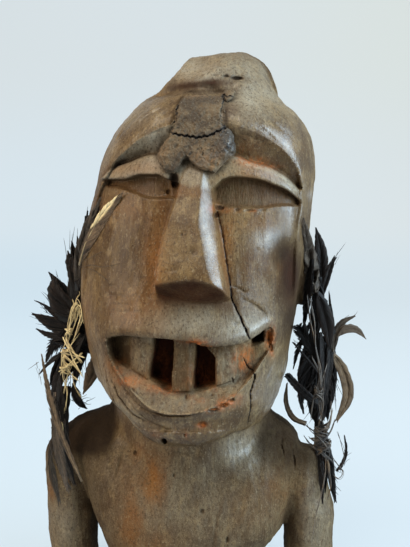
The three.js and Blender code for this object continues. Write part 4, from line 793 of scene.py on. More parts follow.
def zones(x, v, z, near, wide, edge):
    """Where the patina differs, and where shade and light are painted, as a few named areas of the front and some
    general rules.
    """
    front = ramp(2, 10, v)
    n1 = fbm(x / 3.5, v / 3.5, z / 5.0, 51, 3)
    n2 = fbm(x / 9.0, v / 9.0, z / 14.0, 55, 3)
    ragged = ramp(0.38, 0.62, n1)
    u, r, f = upper_lip(x), lower_rim(x), teeth_foot(x)
    in_mouth = front * ramp(MOUTH_L - 1, MOUTH_L + 1, x) * (1 - ramp(MOUTH_R - 1, MOUTH_R + 1, x)) \
        * (1 - ramp(-0.4, 0.6, z - u)) * ramp(-0.6, 0.4, z - r)
    back = in_mouth * ramp(f - 0.5, f + 1.0, z)
    sunk = face_cut(x, z)
    deep = back * ramp(9.0, 12.5, sunk)
    ledge = in_mouth * (1 - ramp(f - 1.0, f + 0.5, z))
    slits = front * ramp(-0.8, 0.4, z - eye_foot(x)) * (1 - ramp(-0.6, 0.4, z - lid_edge(x))) * ramp(-34, -30, x) * (1 - ramp(45, 48, x)) * (z > 160)
    lids = front * ramp(-0.3, 0.8, z - lid_edge(x)) * (1 - ramp(-0.6, 1.2, z - lid_top(x))) * (z > 160) * ramp(-36, -31, x) * (1 - ramp(43, 47, x))
    band = front * ramp(-0.2, 1.2, z - lid_top(x)) * (1 - ramp(-0.8, 0.4, z - brow_edge(x))) * (z > 160)
    # fresh orange wood where the surface is chipped or rubbed through
    bare = blobs(x, z, (7.1, 115.6, 5.6, 1.3, 1.0), (11.5, 114.2, 2.6, 0.9, 0.7), (35.4, 114.6, 2.0, 5.0, 1.0), (36.2, 109.8, 1.3, 3.2, 0.8),
                 (24.9, 106.6, 3.4, 4.6, 1.0), (27.8, 109.6, 2.2, 2.6, 0.7), (14.2, 89.4, 4.2, 1.5, 0.9), (18.6, 91.4, 4.6, 1.9, 1.0), (22.4, 93.6, 2.4, 1.3, 0.7),
                 (9.7, 82.8, 1.9, 1.4, 0.9), (-8.4, 96.5, 5.0, 1.3, 0.55), (-3.5, 95.2, 5.5, 1.2, 0.5), (-19.8, 98.6, 6.0, 2.2, 0.55), (-24.5, 103.0, 3.0, 3.4, 0.5), (9.5, 98.5, 5.5, 8.0, 0.45),
                 (-7.5, 103.0, 4.0, 7.0, 0.35), (15.4, 165.8, 3.4, 1.2, 0.7), (20.5, 165.0, 5.5, 0.7, 0.5), (30.0, 164.8, 7.0, 0.6, 0.35), (24.6, 186.0, 3.6, 3.6, 0.75), (28.6, 183.4, 5.0, 2.0, 0.8), (35.0, 181.6, 5.0, 1.2, 0.5),
                 (-8.0, 78.2, 2.4, 1.2, 0.35), (3.4, 79.0, 0.8, 1.0, 0.4))
    bare *= front * ramp(0.30, 0.55, n1 + 0.25 * (bare > 0.8))
    # warm brown dirt rubbed along the nose, in the corners and down the chest
    ochre = blobs(x, z, (-7.8, 150.0, 5.5, 26.0, 0.85), (-6.5, 136.0, 6.0, 8.0, 0.8), (-16.0, 128.0, 11.0, 9.0, 0.45), (18.8, 152.0, 3.8, 22.0, 0.75), (15.5, 168.0, 4.0, 6.0, 0.8),
                  (-20.0, 166.0, 16.0, 6.5, 0.45), (6.0, 134.0, 14.0, 4.0, 0.7), (27.0, 144.0, 9.0, 14.0, 0.25), (26.0, 189.0, 16.0, 4.0, 0.5), (26.0, 160.0, 16.0, 5.0, 0.35), (38.0, 142.0, 6.0, 8.0, 0.6), (-13.5, 53.0, 6.5, 13.0, 1.0), (-18.0, 62.0, 6.0, 6.0, 0.7),
                  (-22.0, 34.0, 8.0, 22.0, 0.65), (-12.0, 22.0, 9.0, 14.0, 0.5), (-62.5, 39.0, 3.0, 5.0, 0.7), (40.0, 46.0, 8.0, 12.0, 0.4), (30.0, 42.0, 10.0, 10.0, 0.3),
                  (-26.0, 103.0, 4.5, 6.0, 0.7), (-14.0, 99.0, 9.0, 3.5, 0.6), (27.0, 184.0, 12.0, 4.0, 0.55), (-18.0, 180.5, 14.0, 3.5, 0.55), (30.0, 178.5, 14.0, 3.0, 0.55), (-40.0, 120.0, 4.0, 12.0, 0.35))
    ochre = np.maximum(ochre, slits * 0.35)
    ochre *= front * (0.55 + 0.45 * ramp(0.3, 0.65, n2))
    # paler, greyer dust bloom, and painted light: a highlight along the top edge of the right lids, a lighter band
    # under the left brow and a lit patch on the right of the neck
    pale = blobs(x, z, (10.0, 222.0, 30.0, 9.0, 0.85), (26.0, 208.0, 14.0, 9.0, 0.85), (-18.0, 203.0, 14.0, 8.0, 0.30), (3.0, 91.5, 16.0, 3.6, 0.45), (22.0, 98.5, 7.0, 5.0, 0.5), (-11.0, 116.0, 10.0, 3.0, 0.3),
                 (5.0, 122.5, 19.0, 7.0, 0.60), (24.0, 121.0, 12.0, 6.0, 0.95), (24.0, 64.0, 9.0, 10.0, 0.6), (27.0, 203.0, 12.0, 8.0, 0.7), (-23.0, 84.0, 10.0, 7.0, 0.75), (-57.0, 24.0, 8.0, 18.0, 0.55), (54.0, 30.0, 8.0, 18.0, 0.5), (-30.0, 192.0, 7.0, 16.0, 0.45), (-22.0, 203.0, 12.0, 8.0, 0.75), (36.0, 96.0, 6.0, 12.0, 0.35), (-30.0, 96.0, 6.0, 14.0, 0.40), (30.0, 168.5, 12.0, 1.6, 0.3), (33.0, 155.0, 9.0, 6.0, 0.25),
                 (0.0, 42.0, 30.0, 22.0, 0.25), (2.5, 104.5, 6.0, 9.0, 0.12), (-14.8, 108.0, 4.5, 8.0, 0.30), (18.5, 106.0, 5.5, 6.0, 0.45), (30.0, 104.5, 4.0, 4.0, 0.4))
    pale = np.maximum(pale, lids * (0.35 + 0.40 * ramp(4, -4, x)))
    # painted highlight along the top edge of the right lids
    pale = np.maximum(pale, lids * ramp(1.6, 0.5, np.abs(z - lid_top(x) + 1.2)) * ramp(16, 26, x) * 1.3)
    pale = np.maximum(pale, ledge * 0.25)
    # painted light in the band under the left brow
    pale = np.maximum(pale, band * 0.85 * (1 - ramp(-3, 4, x)))
    pale *= front * (0.6 + 0.4 * ramp(0.35, 0.7, n2))
    # dark: painted shade in the holes between the teeth, under the right brow and under the nose, and darker slits,
    # most on the right and as painted shade under the lids; dirt with painted shade in the crease above the lids; the
    # body darker towards the bottom
    dark = np.maximum(deep * 0.95, slits * (0.08 + 0.42 * ramp(8, 16, x) + 0.22 * ramp(3, 0, lid_edge(x) - z)))
    # the crease above the lids: dirt and painted shade
    crease = front * np.exp(-((z - lid_top(x) - 0.3) / 1.1) ** 2) * (z > 160) * ramp(-33, -28, x) * (1 - ramp(43, 47, x))
    dark = np.maximum(dark, crease * (0.45 + 0.3 * ramp(0.4, 0.6, n1)))
    # painted shade on the underside of the right brow
    dark = np.maximum(dark, band * ramp(12, 24, x) * (0.16 + 0.14 * ramp(0.3, 0.6, n1)))
    # the body darker towards the bottom, below the shoulders
    dark = np.maximum(dark, 0.24 * (1 - ramp(54, 72, z)) * ramp(49, 42, np.abs(x + 1)))
    # painted shadow under the nose
    painted_nose_shadow = (1 - ramp(-1.5, 1.5, z - nose_foot(x))) * ramp(128.0, 132.5, z) * ramp(-9, -6, x) * (1 - ramp(17.5, 20.5, x))
    dark = np.maximum(dark, painted_nose_shadow * (0.42 + 0.34 * ragged) * front)
    # darker spots: pits and nicks, the middle tooth, a line at the foot of each eye, the crevice across the topknot,
    # and a painted shadow over the right cheek beside the rim
    dark = np.maximum(dark, blobs(x, z, (-1.5, 176.4, 2.6, 3.2, 0.9), (-4.0, 180.5, 2.4, 2.4, 0.6), (43.0, 139.0, 6.0, 16.0, 1.2), (40.5, 147.0, 6.0, 9.0, 1.0), (43.5, 122.0, 5.0, 12.0, 0.9),
                                    (36.5, 138.0, 6.0, 8.0, 0.45), (48.5, 152.0, 3.0, 22.0, 0.45), (2.1, 104.6, 5.0, 9.5, 0.50), (27.0, 142.0, 8.0, 14.0, 0.26), (-24.0, 107.5, 4.6, 8.0, 0.60), (25.0, 166.4, 13.0, 0.7, 0.6), (-9.0, 169.6, 12.0, 0.6, 0.4), (1.0, 213.6, 8.5, 2.0, 0.70), (11.0, 214.6, 7.0, 1.6, 0.80), (21.3, 216.8, 3.2, 0.9, 0.8), (16.8, 217.4, 1.6, 0.6, 0.7),
                                    (19.5, 196.5, 2.0, 3.0, 0.5), (-6.5, 192.5, 2.0, 3.0, 0.45), (27.5, 82.0, 5.0, 4.0, 0.35)) * front)
    # dirt packed along the edge of the resin crust
    rim = np.minimum(np.minimum(x - crust_left(z), crust_right(z) - x), np.minimum(210.8 - z, z - crust_foot(x)))
    dark = np.maximum(dark, np.exp(-((rim + 0.5) / 0.9) ** 2) * (z > 176) * (z < 213) * front * (0.35 + 0.5 * ragged))
    # the tops of the shoulders beside the neck: dirt and the painted shadow of the head, darker on the left
    shoulders = ramp(np.where(x < 0, 52, 44), np.where(x < 0, 62, 60), z) * (1 - ramp(78, 82, z)) * ramp(27, 34, np.abs(x + 1)) * (1 - ramp(15, 28, v))
    dark = np.maximum(dark, shoulders * np.where(x < 0, 1.15, 0.80))
    # painted shade on the ears, under the feathers
    ears = ramp(40, 47, np.abs(x)) * ramp(110, 124, z) * (1 - ramp(142, 160, z)) * (1 - ramp(6, 14, v)) * ramp(-26, -8, v)
    dark = np.maximum(dark, ears * (0.45 + 0.45 * ragged))
    # red-brown: dirt in the topknot crevice and beside the crust, and painted shade in the holes between the teeth,
    # under the nose and over the right cheek
    red = np.maximum(deep, blobs(x, z, (2.0, 214.0, 10.0, 2.0, 0.7), (12.0, 214.6, 6.0, 1.4, 0.7), (20.0, 203.0, 3.0, 5.0, 0.4), (43.0, 138.0, 3.5, 13.0, 0.55)) * front)
    red = np.maximum(red, painted_nose_shadow * 0.75 * front)
    gloss = blobs(x, z, (8.0, 160.0, 12.0, 26.0, 0.35), (35.0, 153.5, 7.5, 5.5, 0.95), (45.4, 155.0, 1.6, 5.0, 1.0), (22.0, 121.0, 16.0, 6.0, 0.3), (36.0, 186.0, 12.0, 14.0, 0.5), (44.0, 168.0, 6.0, 26.0, 0.9), (-14.0, 124.0, 18.0, 7.0, 0.3),
                  (-24.0, 198.0, 16.0, 14.0, 0.45), (2.0, 80.0, 24.0, 8.0, 0.7), (21.0, 64.0, 10.0, 8.0, 0.6), (50.0, 55.0, 9.0, 6.0, 0.7), (22.0, 202.0, 14.0, 8.0, 0.7), (12.0, 86.5, 24.0, 4.0, 0.6), (42.0, 194.0, 8.0, 14.0, 0.65), (24.0, 213.0, 12.0, 10.0, 0.8), (37.0, 92.0, 8.0, 12.0, 0.9), (22.0, 62.0, 12.0, 10.0, 1.0), (53.0, 34.0, 9.0, 20.0, 0.8),
                  (27.0, 140.0, 8.0, 14.0, 0.1), (14.0, 44.0, 22.0, 18.0, 0.3), (-13.0, 203.0, 12.0, 10.0, 0.5))
    gloss = np.maximum(gloss, 0.16 + 0.10 * n2)
    # the rubbed roll along the brow's edge on the right, and the ridge of the nose
    gloss = np.maximum(gloss, np.exp(-((z - brow_edge(x) - 2.6) / 2.4) ** 2) * ramp(16, 26, x) * (z > 160))
    facet = 0.55 * nose_ridge(z) + 0.45 * nose_right(z)
    gloss = np.where((v > 44) & (z > 134) & (z < 181), 0.25 + 0.9 * np.exp(-((x - facet) / 1.7) ** 2) * ramp(134, 139, z) * (1 - ramp(176, 181, z)), gloss)
    gloss = np.maximum(gloss, np.exp(-((z - upper_lip(x) - 3.2) / 2.2) ** 2) * ramp(6, 15, x) * (1 - ramp(33, 37, x)) * (z < 126))
    gloss *= front * (1 - in_mouth * 0.8)
    return {"bare": bare, "ochre": ochre, "pale": pale, "dark": dark, "red": red, "gloss": gloss,
            "speckle": np.maximum(ledge * 0.25, 0.9 * (1 - ramp(58, 74, z))), "hatch": slits}


# --------------------------------------------------------------- the crust
def make_crust():
    lo, hi = (-12.0, -52.0, 175.0), (26.0, -18.0, 215.5)
    A = sample(crust, lo, hi, CRUST_CELL)
    p, quads = nets(A, lo, CRUST_CELL)
    p = settle(crust, p, CRUST_CELL)
    me = new_mesh("crust", p, quads)
    n = normals_of(me)
    x, v, z = p[:, 0], -p[:, 1], p[:, 2]
    crumbs = (fbm(x / 0.9, v / 0.9, z / 0.9, 61, 2) - 0.5) * 0.5
    smooth_lump = np.exp(-(((x - 19.2) / 2.6) ** 2 + ((z - 189.5) / 4.2) ** 2))
    p = p + n * (crumbs * (1 - 0.5 * smooth_lump))[:, None]
    set_points(me, p)
    me = decimated(me, 48000 if FINE else 12000)
    me.name = "crust"
    p, n = points_of(me), normals_of(me)
    x, v, z = p[:, 0], -p[:, 1], p[:, 2]
    q = {k: crust(*(lambda w: (w[:, 0].copy(), -w[:, 1], w[:, 2].copy()))(p + n * k)) for k in (0.5, 1.2)}
    lines = sum(np.clip(1.5 - along(x + 0.2 * np.sin(z * 2.3), z + 0.2 * np.sin(x * 2.9), pts)[0] / half, 0, 1) * (v > 26) for pts, half, deep in CRUST_CRACKS if deep > 0.9)
    paint(me, "cavity", np.clip(sum(np.clip(1 - q[k] / k, 0, 1.5) * 0.5 for k in q) + 0.9 * lines, 0, 1.5))
    paint(me, "resin", blobs(x, z, (19.2, 189.5, 3.4, 5.0, 1.0), (17.6, 194.0, 2.2, 3.0, 0.8), (13.6, 185.5, 4.0, 2.0, 0.5), (10.0, 183.0, 3.0, 2.0, 0.4)))
    paint(me, "tan", blobs(x, z, (12.0, 184.0, 6.0, 4.5, 0.8), (20.6, 184.6, 3.0, 2.0, 0.6), (-5.0, 187.0, 3.0, 5.0, 0.35), (5.0, 209.5, 10.0, 1.6, 0.4)))
    set_smooth(me)
    return piece("forehead_crust", me, ["forehead_charge"], crust_material())


# --------------------------------------------------------------- materials
def srgb(r, g, b):
    return tuple(((c / 255) / 12.92 if c / 255 <= 0.04045 else ((c / 255 + 0.055) / 1.055) ** 2.4) for c in (r, g, b)) + (1.0,)


class Paint:
    """A small helper that lays out shader nodes and joins them."""

    def __init__(self, name):
        self.mat = bpy.data.materials.new(name)
        self.mat.use_nodes = True
        self.tree = self.mat.node_tree
        self.tree.nodes.clear()
        self.out = self.tree.nodes.new("ShaderNodeOutputMaterial")
        self.bsdf = self.tree.nodes.new("ShaderNodeBsdfPrincipled")
        self.tree.links.new(self.bsdf.outputs[0], self.out.inputs[0])
        self.coord = self.tree.nodes.new("ShaderNodeTexCoord").outputs["Object"]

    def link(self, a, b):
        self.tree.links.new(a, b)

    def attr(self, name):
        n = self.tree.nodes.new("ShaderNodeAttribute")
        n.attribute_name = name
        return n.outputs["Fac"]

    def scaled(self, sx, sy, sz, shift=(0, 0, 0)):
        """Object coordinates with features of these sizes in millimetres."""
        n = self.tree.nodes.new("ShaderNodeMapping")
        n.inputs["Scale"].default_value = (1000 / sx, 1000 / sy, 1000 / sz)
        n.inputs["Location"].default_value = shift
        self.link(self.coord, n.inputs["Vector"])
        return n.outputs[0]

    def noise(self, size, detail=3, rough=0.55, shift=(0, 0, 0), distort=0.0):
        n = self.tree.nodes.new("ShaderNodeTexNoise")
        self.link(self.scaled(*size, shift=shift), n.inputs["Vector"])
        n.inputs["Scale"].default_value = 1.0
        n.inputs["Detail"].default_value = detail
        n.inputs["Roughness"].default_value = rough
        n.inputs["Distortion"].default_value = distort
        return n.outputs["Fac"]

    def cells(self, size, shift=(0, 0, 0), feature="F1"):
        n = self.tree.nodes.new("ShaderNodeTexVoronoi")
        n.feature = feature
        self.link(self.scaled(*size, shift=shift), n.inputs["Vector"])
        n.inputs["Scale"].default_value = 1.0
        return n.outputs["Distance"]

    def span(self, value, a, b, c=0.0, d=1.0, smooth=True):
        n = self.tree.nodes.new("ShaderNodeMapRange")
        n.interpolation_type = "SMOOTHSTEP" if smooth else "LINEAR"
        n.clamp = True if not smooth else n.clamp
        for i, w in ((1, a), (2, b), (3, c), (4, d)):
            n.inputs[i].default_value = w
        self.link(value, n.inputs[0])
        return n.outputs[0]

    def math(self, op, a, b=None, clamp=False):
        n = self.tree.nodes.new("ShaderNodeMath")
        n.operation = op
        n.use_clamp = clamp
        for i, w in ((0, a), (1, b)):
            if w is None:
                continue
            if isinstance(w, (int, float)):
                n.inputs[i].default_value = w
            else:
                self.link(w, n.inputs[i])
        return n.outputs[0]

    def mul(self, *v):
        out = v[0]
        for w in v[1:]:
            out = self.math("MULTIPLY", out, w)
        return out

    def add(self, *v):
        out = v[0]
        for w in v[1:]:
            out = self.math("ADD", out, w)
        return out

    def blend(self, fac, a, b, mode="MIX"):
        n = self.tree.nodes.new("ShaderNodeMix")
        n.data_type = "RGBA"
        n.blend_type = mode
        n.clamp_factor = True
        if isinstance(fac, (int, float)):
            n.inputs[0].default_value = fac
        else:
            self.link(fac, n.inputs[0])
        for i, w in ((6, a), (7, b)):
            if isinstance(w, tuple):
                n.inputs[i].default_value = w
            else:
                self.link(w, n.inputs[i])
        return n.outputs[2]

    def bump(self, height, strength, distance, normal=None):
        n = self.tree.nodes.new("ShaderNodeBump")
        n.inputs["Strength"].default_value = strength
        n.inputs["Distance"].default_value = distance * MM
        self.link(height, n.inputs["Height"])
        if normal is not None:
            self.link(normal, n.inputs["Normal"])
        return n.outputs[0]

    def axes(self):
        """Object coordinates in millimetres: x to the right, y to the back, z up."""
        n = self.tree.nodes.new("ShaderNodeSeparateXYZ")
        self.link(self.coord, n.inputs[0])
        return [self.math("MULTIPLY", n.outputs[i], 1000.0) for i in range(3)]

    def track(self, value, stops):
        """A quantity that runs straight between a few (value, quantity) stops."""
        lo, hi = min(q for _, q in stops), max(q for _, q in stops)
        n = self.tree.nodes.new("ShaderNodeValToRGB")
        n.color_ramp.interpolation = "LINEAR"
        ends = n.color_ramp.elements
        for i, (a, q) in enumerate(stops):
            g = (q - lo) / (hi - lo)
            at = (a - stops[0][0]) / (stops[-1][0] - stops[0][0])
            stop = ends[0] if i == 0 else ends[-1] if i == len(stops) - 1 else ends.new(at)
            stop.color = (g, g, g, 1.0)
        self.link(self.span(value, stops[0][0], stops[-1][0], 0.0, 1.0, False), n.inputs[0])
        return self.span(n.outputs[0], 0.0, 1.0, lo, hi, False)

    def finish(self, colour, rough, normal=None, **sockets):
        self.link(colour, self.bsdf.inputs["Base Color"])
        self.link(rough, self.bsdf.inputs["Roughness"])
        if normal is not None:
            self.link(normal, self.bsdf.inputs["Normal"])
        for k, w in sockets.items():
            self.bsdf.inputs[k.replace("_", " ")].default_value = w
        return self.mat


# The long drying crack down the right of the face: height, place across, half width, all in mm.
LONG_CRACK = ((80.5, 26.6, 0.02), (84.0, 27.4, 0.16), (88.3, 28.1, 0.20), (94.6, 27.9, 0.20), (98.8, 29.4, 0.18), (101.6, 29.3, 0.16), (102.6, 27.6, 0.20),
              (104.2, 26.2, 0.20), (107.6, 25.0, 0.10), (108.4, 25.0, 0.01), (113.6, 28.4, 0.01), (114.8, 28.2, 0.26), (118.9, 26.5, 0.27), (124.7, 24.0, 0.26),
              (131.2, 20.9, 0.24), (137.1, 20.2, 0.20), (145.8, 18.6, 0.16), (155.7, 17.1, 0.13), (163.3, 15.3, 0.10), (167.2, 14.2, 0.02))


def wood_material():
    m = Paint("worn_carved_wood")
    cavity, hollow_shade, edge, cut = m.attr("cavity"), m.attr("hollow_shade"), m.attr("edge"), m.attr("cut")
    bare, ochre, pale, dark = m.attr("bare"), m.attr("ochre"), m.attr("pale"), m.attr("dark")
    red, gloss, speckle, hatch = m.attr("red"), m.attr("gloss"), m.attr("speckle"), m.attr("hatch")
    broad = m.noise((26, 26, 34), 3, 0.5)
    patch = m.noise((8, 8, 12), 4, 0.6, (3, 1, 7))
    blot = m.noise((4.5, 4.5, 6.0), 4, 0.6, (6, 3, 4))
    fine = m.noise((1.6, 1.6, 2.6), 4, 0.65, (9, 4, 2))
    mottle = m.noise((0.85, 0.85, 1.3), 3, 0.65, (2, 7, 6))
    fibre = m.noise((0.55, 0.55, 9.0), 3, 0.6, (1, 8, 5))
    streak = m.noise((2.2, 2.2, 30.0), 3, 0.55, (5, 5, 5))
    grit = m.noise((0.45, 0.45, 0.5), 2, 0.6, (7, 2, 3))
    scrape = m.noise((3.2, 3.2, 0.7), 3, 0.6, (4, 9, 1))
    col = m.blend(m.span(broad, 0.38, 0.62), srgb(68, 50, 29), srgb(90, 70, 43))
    col = m.blend(m.mul(speckle, 0.75), col, srgb(80, 67, 48))
    col = m.blend(m.mul(m.span(patch, 0.44, 0.62), 0.66), col, srgb(50, 33, 16))
    col = m.blend(m.mul(m.span(blot, 0.52, 0.70), 0.50), col, srgb(114, 94, 64))
    col = m.blend(m.mul(m.span(streak, 0.50, 0.70), 0.26), col, srgb(110, 91, 61))
    col = m.blend(m.mul(m.span(fibre, 0.50, 0.70), 0.55), col, srgb(46, 31, 17))
    col = m.blend(m.mul(m.span(scrape, 0.54, 0.72), 0.35), col, srgb(54, 38, 21))
    # pale: dust bloom, with painted light on the right lid tops, under the left brow and on the right of the neck
    col = m.blend(m.mul(pale, m.span(fine, 0.25, 0.6, 0.55, 1.0)), col, srgb(127, 119, 103))
    col = m.blend(m.mul(ochre, m.span(patch, 0.3, 0.62, 0.45, 1.0)), col, srgb(112, 70, 28))
    col = m.blend(m.mul(m.span(mottle, 0.49, 0.68), 0.62), col, srgb(46, 31, 17))
    col = m.blend(m.mul(m.span(m.noise((0.8, 0.8, 1.1), 3, 0.6, (8, 1, 8)), 0.55, 0.72), 0.34), col, srgb(134, 119, 94))
    col = m.blend(m.mul(m.span(fine, 0.52, 0.72), speckle, 0.38), col, srgb(44, 32, 20))
    col = m.blend(m.mul(m.span(grit, 0.58, 0.74), speckle, 0.28), col, srgb(132, 118, 94))
    # dirt lies in the narrow recesses, wide recesses and undersides are darkened as painted shade, and edges are rubbed
    # lighter
    col = m.blend(m.mul(m.span(m.add(cavity, m.mul(m.math("SUBTRACT", patch, 0.5), 0.5)), 0.32, 0.95), 0.62), col, srgb(46, 30, 17))
    col = m.blend(m.mul(m.span(hollow_shade, 0.30, 1.0), 0.35), col, srgb(60, 42, 25))
    col = m.blend(m.mul(m.span(edge, 0.42, 0.85), m.span(fine, 0.3, 0.6, 0.4, 1.0), 0.42), col, srgb(120, 101, 76))
    col = m.blend(m.mul(cut, m.span(mottle, 0.3, 0.6, 0.55, 1.0), 0.8), col, srgb(34, 22, 13))
    # dark: painted shade in the holes, slits, under the right brow, under the nose and over the right cheek and ears,
    # with dirt in creases and pits
    col = m.blend(m.mul(dark, m.span(mottle, 0.35, 0.65, 1.0, 0.90)), col, srgb(29, 20, 12))
    # red: dirt, and painted shade in the holes, under the nose and over the right cheek
    col = m.blend(m.mul(red, m.span(fine, 0.3, 0.6, 0.55, 0.9)), col, srgb(44, 17, 7))
    col = m.blend(m.mul(hatch, m.span(fibre, 0.45, 0.62), 0.35), col, srgb(88, 62, 40))
    worn = m.math("MULTIPLY", bare, m.span(m.noise((1.1, 1.1, 1.8), 3, 0.6, (2, 2, 9)), 0.36, 0.56, 0.25, 1.0))
    col = m.blend(m.mul(worn, m.span(mottle, 0.34, 0.62, 0.55, 1.0)), col, srgb(146, 78, 34))
    # the long crack, faint and broken above the mouth corner's height, open below
    x, y, z = m.axes()
    wob = m.mul(m.math("SUBTRACT", m.noise((1.4, 1.4, 1.4), 2, 0.6, (3, 3, 6)), 0.5), 0.55)
    off = m.math("ABSOLUTE", m.math("SUBTRACT", m.add(x, wob), m.track(z, [(a, b) for a, b, _ in LONG_CRACK])))
    ratio = m.math("DIVIDE", off, m.track(z, [(a, c) for a, _, c in LONG_CRACK]))
    line = m.mul(m.span(ratio, 1.35, 0.65), m.span(y, -20.0, -26.0), m.span(z, 168.0, 166.5), m.span(z, 80.0, 81.5))
    line = m.mul(line, m.span(m.add(fine, m.span(z, 165.0, 132.0, 0.0, 0.6)), 0.40, 0.62))
    col = m.blend(m.mul(m.span(m.math("DIVIDE", off, 1.6), 1.0, 0.1), m.span(z, 130.0, 140.0), m.span(z, 168.0, 164.0), m.span(y, -20.0, -26.0), m.span(mottle, 0.4, 0.6), 0.7), col, srgb(72, 40, 20))
    col = m.blend(m.mul(line, 0.97), col, srgb(20, 12, 8))
    rough = m.add(m.span(patch, 0.3, 0.7, 0.56, 0.68, False), m.mul(m.math("SUBTRACT", mottle, 0.5), 0.40), m.mul(cavity, 0.20), m.mul(dark, 0.30), m.mul(speckle, 0.10), m.mul(bare, 0.15), m.mul(gloss, -0.24))
    wax = m.mul(m.add(m.mul(gloss, m.span(m.add(blot, m.mul(m.math("SUBTRACT", mottle, 0.5), 0.8)), 0.30, 0.66, 0.62, 1.0), 1.0), 0.0), m.span(m.add(dark, cavity), 0.7, 0.1), m.span(speckle, 1.0, 0.3, 0.35, 1.0))
    m.link(wax, m.bsdf.inputs["Coat Weight"])
    rough = m.math("MINIMUM", m.math("MAXIMUM", rough, 0.20), 0.95)
    height = m.add(m.mul(fibre, 0.5), m.mul(fine, 0.5), m.mul(mottle, 0.7), m.mul(scrape, 0.3), m.mul(grit, m.span(speckle, 0.0, 1.0, 0.15, 0.8, False)), m.mul(hatch, fibre, 1.2), m.mul(line, -3.0))
    m.link(m.bump(height, 0.35, 0.20), m.bsdf.inputs["Coat Normal"])
    return m.finish(col, rough, m.bump(height, 1.0, 0.36), Specular_IOR_Level=0.08, Coat_Roughness=0.27)


def crust_material():
    m = Paint("cracked_resin_crust")
    cavity, resin, tan = m.attr("cavity"), m.attr("resin"), m.attr("tan")
    broad, mid = m.noise((7, 7, 7), 4, 0.6), m.noise((1.7, 1.7, 1.7), 4, 0.65, (4, 2, 1))
    grit, speck = m.noise((0.42, 0.42, 0.42), 2, 0.6, (1, 6, 3)), m.cells((0.8, 0.8, 0.8))
    col = m.blend(m.span(broad, 0.36, 0.64), srgb(50, 39, 27), srgb(80, 65, 46))
    col = m.blend(m.mul(m.span(mid, 0.5, 0.72), 0.6), col, srgb(53, 44, 34))
    col = m.blend(m.mul(m.span(grit, 0.56, 0.74), 0.5), col, srgb(120, 109, 90))
    col = m.blend(m.mul(tan, m.span(mid, 0.35, 0.6)), col, srgb(112, 85, 56))
    col = m.blend(m.mul(resin, m.span(mid, 0.3, 0.55)), col, srgb(27, 26, 26))
    # pale specks on the resin lump, painted as the glints of its speckled highlight
    col = m.blend(m.mul(resin, m.span(speck, 0.30, 0.12), m.span(grit, 0.45, 0.6)), col, srgb(152, 147, 137))
    col = m.blend(m.span(cavity, 0.30, 0.95), col, srgb(29, 22, 16))
    rough = m.math("MAXIMUM", m.add(m.span(mid, 0.3, 0.7, 0.78, 0.92, False), m.mul(resin, m.span(mid, 0.3, 0.7, -0.60, -0.42, False))), 0.25)
    height = m.add(m.mul(grit, 0.7), m.mul(mid, 0.8), m.mul(speck, 0.25))
    return m.finish(col, rough, m.bump(height, 0.7, 0.30), Specular_IOR_Level=0.28)


def feather_material(name, low, high, tip, rough0, sheen):
    """Barbs that vary one from the next, fade to the tip, and shine a little along the vane."""
    m = Paint(name)
    tone, far, stripe = m.attr("tone"), m.attr("far"), m.attr("stripe")
    mottle = m.noise((2.5, 2.5, 2.5), 3, 0.6)
    fine = m.noise((0.35, 0.35, 0.8), 2, 0.6, (3, 3, 3))
    col = m.blend(tone, low, high)
    col = m.blend(m.mul(m.span(mottle, 0.4, 0.68), 0.45), col, low)
    col = m.blend(m.mul(m.span(far, 0.55, 1.0), 0.55), col, tip)
    col = m.blend(m.mul(stripe, m.span(fine, 0.2, 0.6, 0.75, 1.0)), col, srgb(206, 186, 142))
    rough = m.add(m.span(fine, 0.3, 0.7, rough0, rough0 + 0.16, False), m.mul(stripe, 0.2))
    return m.finish(col, rough, m.bump(fine, 0.4, 0.10), Specular_IOR_Level=0.14, Sheen_Weight=sheen, Sheen_Roughness=0.35)


def raffia_material(name, low, high):
    m = Paint(name)
    tone, far = m.attr("tone"), m.attr("far")
    fibre = m.noise((0.25, 0.25, 3.0), 3, 0.6)
    stain = m.noise((4, 4, 6), 3, 0.6, (2, 7, 1))
    col = m.blend(tone, low, high)
    col = m.blend(m.mul(m.span(stain, 0.48, 0.70), 0.6), col, srgb(96, 72, 44))
    col = m.blend(m.mul(m.span(fibre, 0.5, 0.7), 0.5), col, low)
    rough = m.span(fibre, 0.3, 0.7, 0.48, 0.72, False)
    return m.finish(col, rough, m.bump(fibre, 0.5, 0.12), Specular_IOR_Level=0.4)


# ---------------------------------------------------------------- feathers
def through(points, n):
    """n + 1 points on a smooth curve through a few given ones (centripetal Catmull-Rom)."""
    P = np.array(points, float)
    P = np.vstack([2 * P[0] - P[1], P, 2 * P[-1] - P[-2]])
    out, segs = [], len(P) - 3
    for i in range(n + 1):
        s = min(i / n * segs, segs - 1e-9)
        k, w = int(s), s - int(s)
        a, b, c, d = P[k:k + 4]
        t0, t1, t2 = (max(np.linalg.norm(q - p) ** 0.5, 1e-4) for p, q in ((a, b), (b, c), (c, d)))
        m1 = ((b - a) / t0 - (c - a) / (t0 + t1) + (c - b) / t1) * t1
        m2 = ((c - b) / t1 - (d - b) / (t1 + t2) + (d - c) / t2) * t1
        out.append((2 * w ** 3 - 3 * w ** 2 + 1) * b + (w ** 3 - 2 * w ** 2 + w) * m1
                   + (3 * w ** 2 - 2 * w ** 3) * c + (w ** 3 - w ** 2) * m2)
    return np.array(out)


def unit(a):
    return a / np.maximum(np.linalg.norm(a, axis=-1, keepdims=True), 1e-9)


def clear_of_carving(p, gap, behind=False, rounds=60):
    """Points (x, y, z) moved straight forward, or back, until they clear the carving."""
    p = p.copy()
    for _ in range(rounds):
        d = form(p[:, 0].copy(), -p[:, 1], p[:, 2].copy())
        low = d < gap
        if not low.any():
            break
        p[low, 1] += (0.25 if behind else -0.25)
    return p


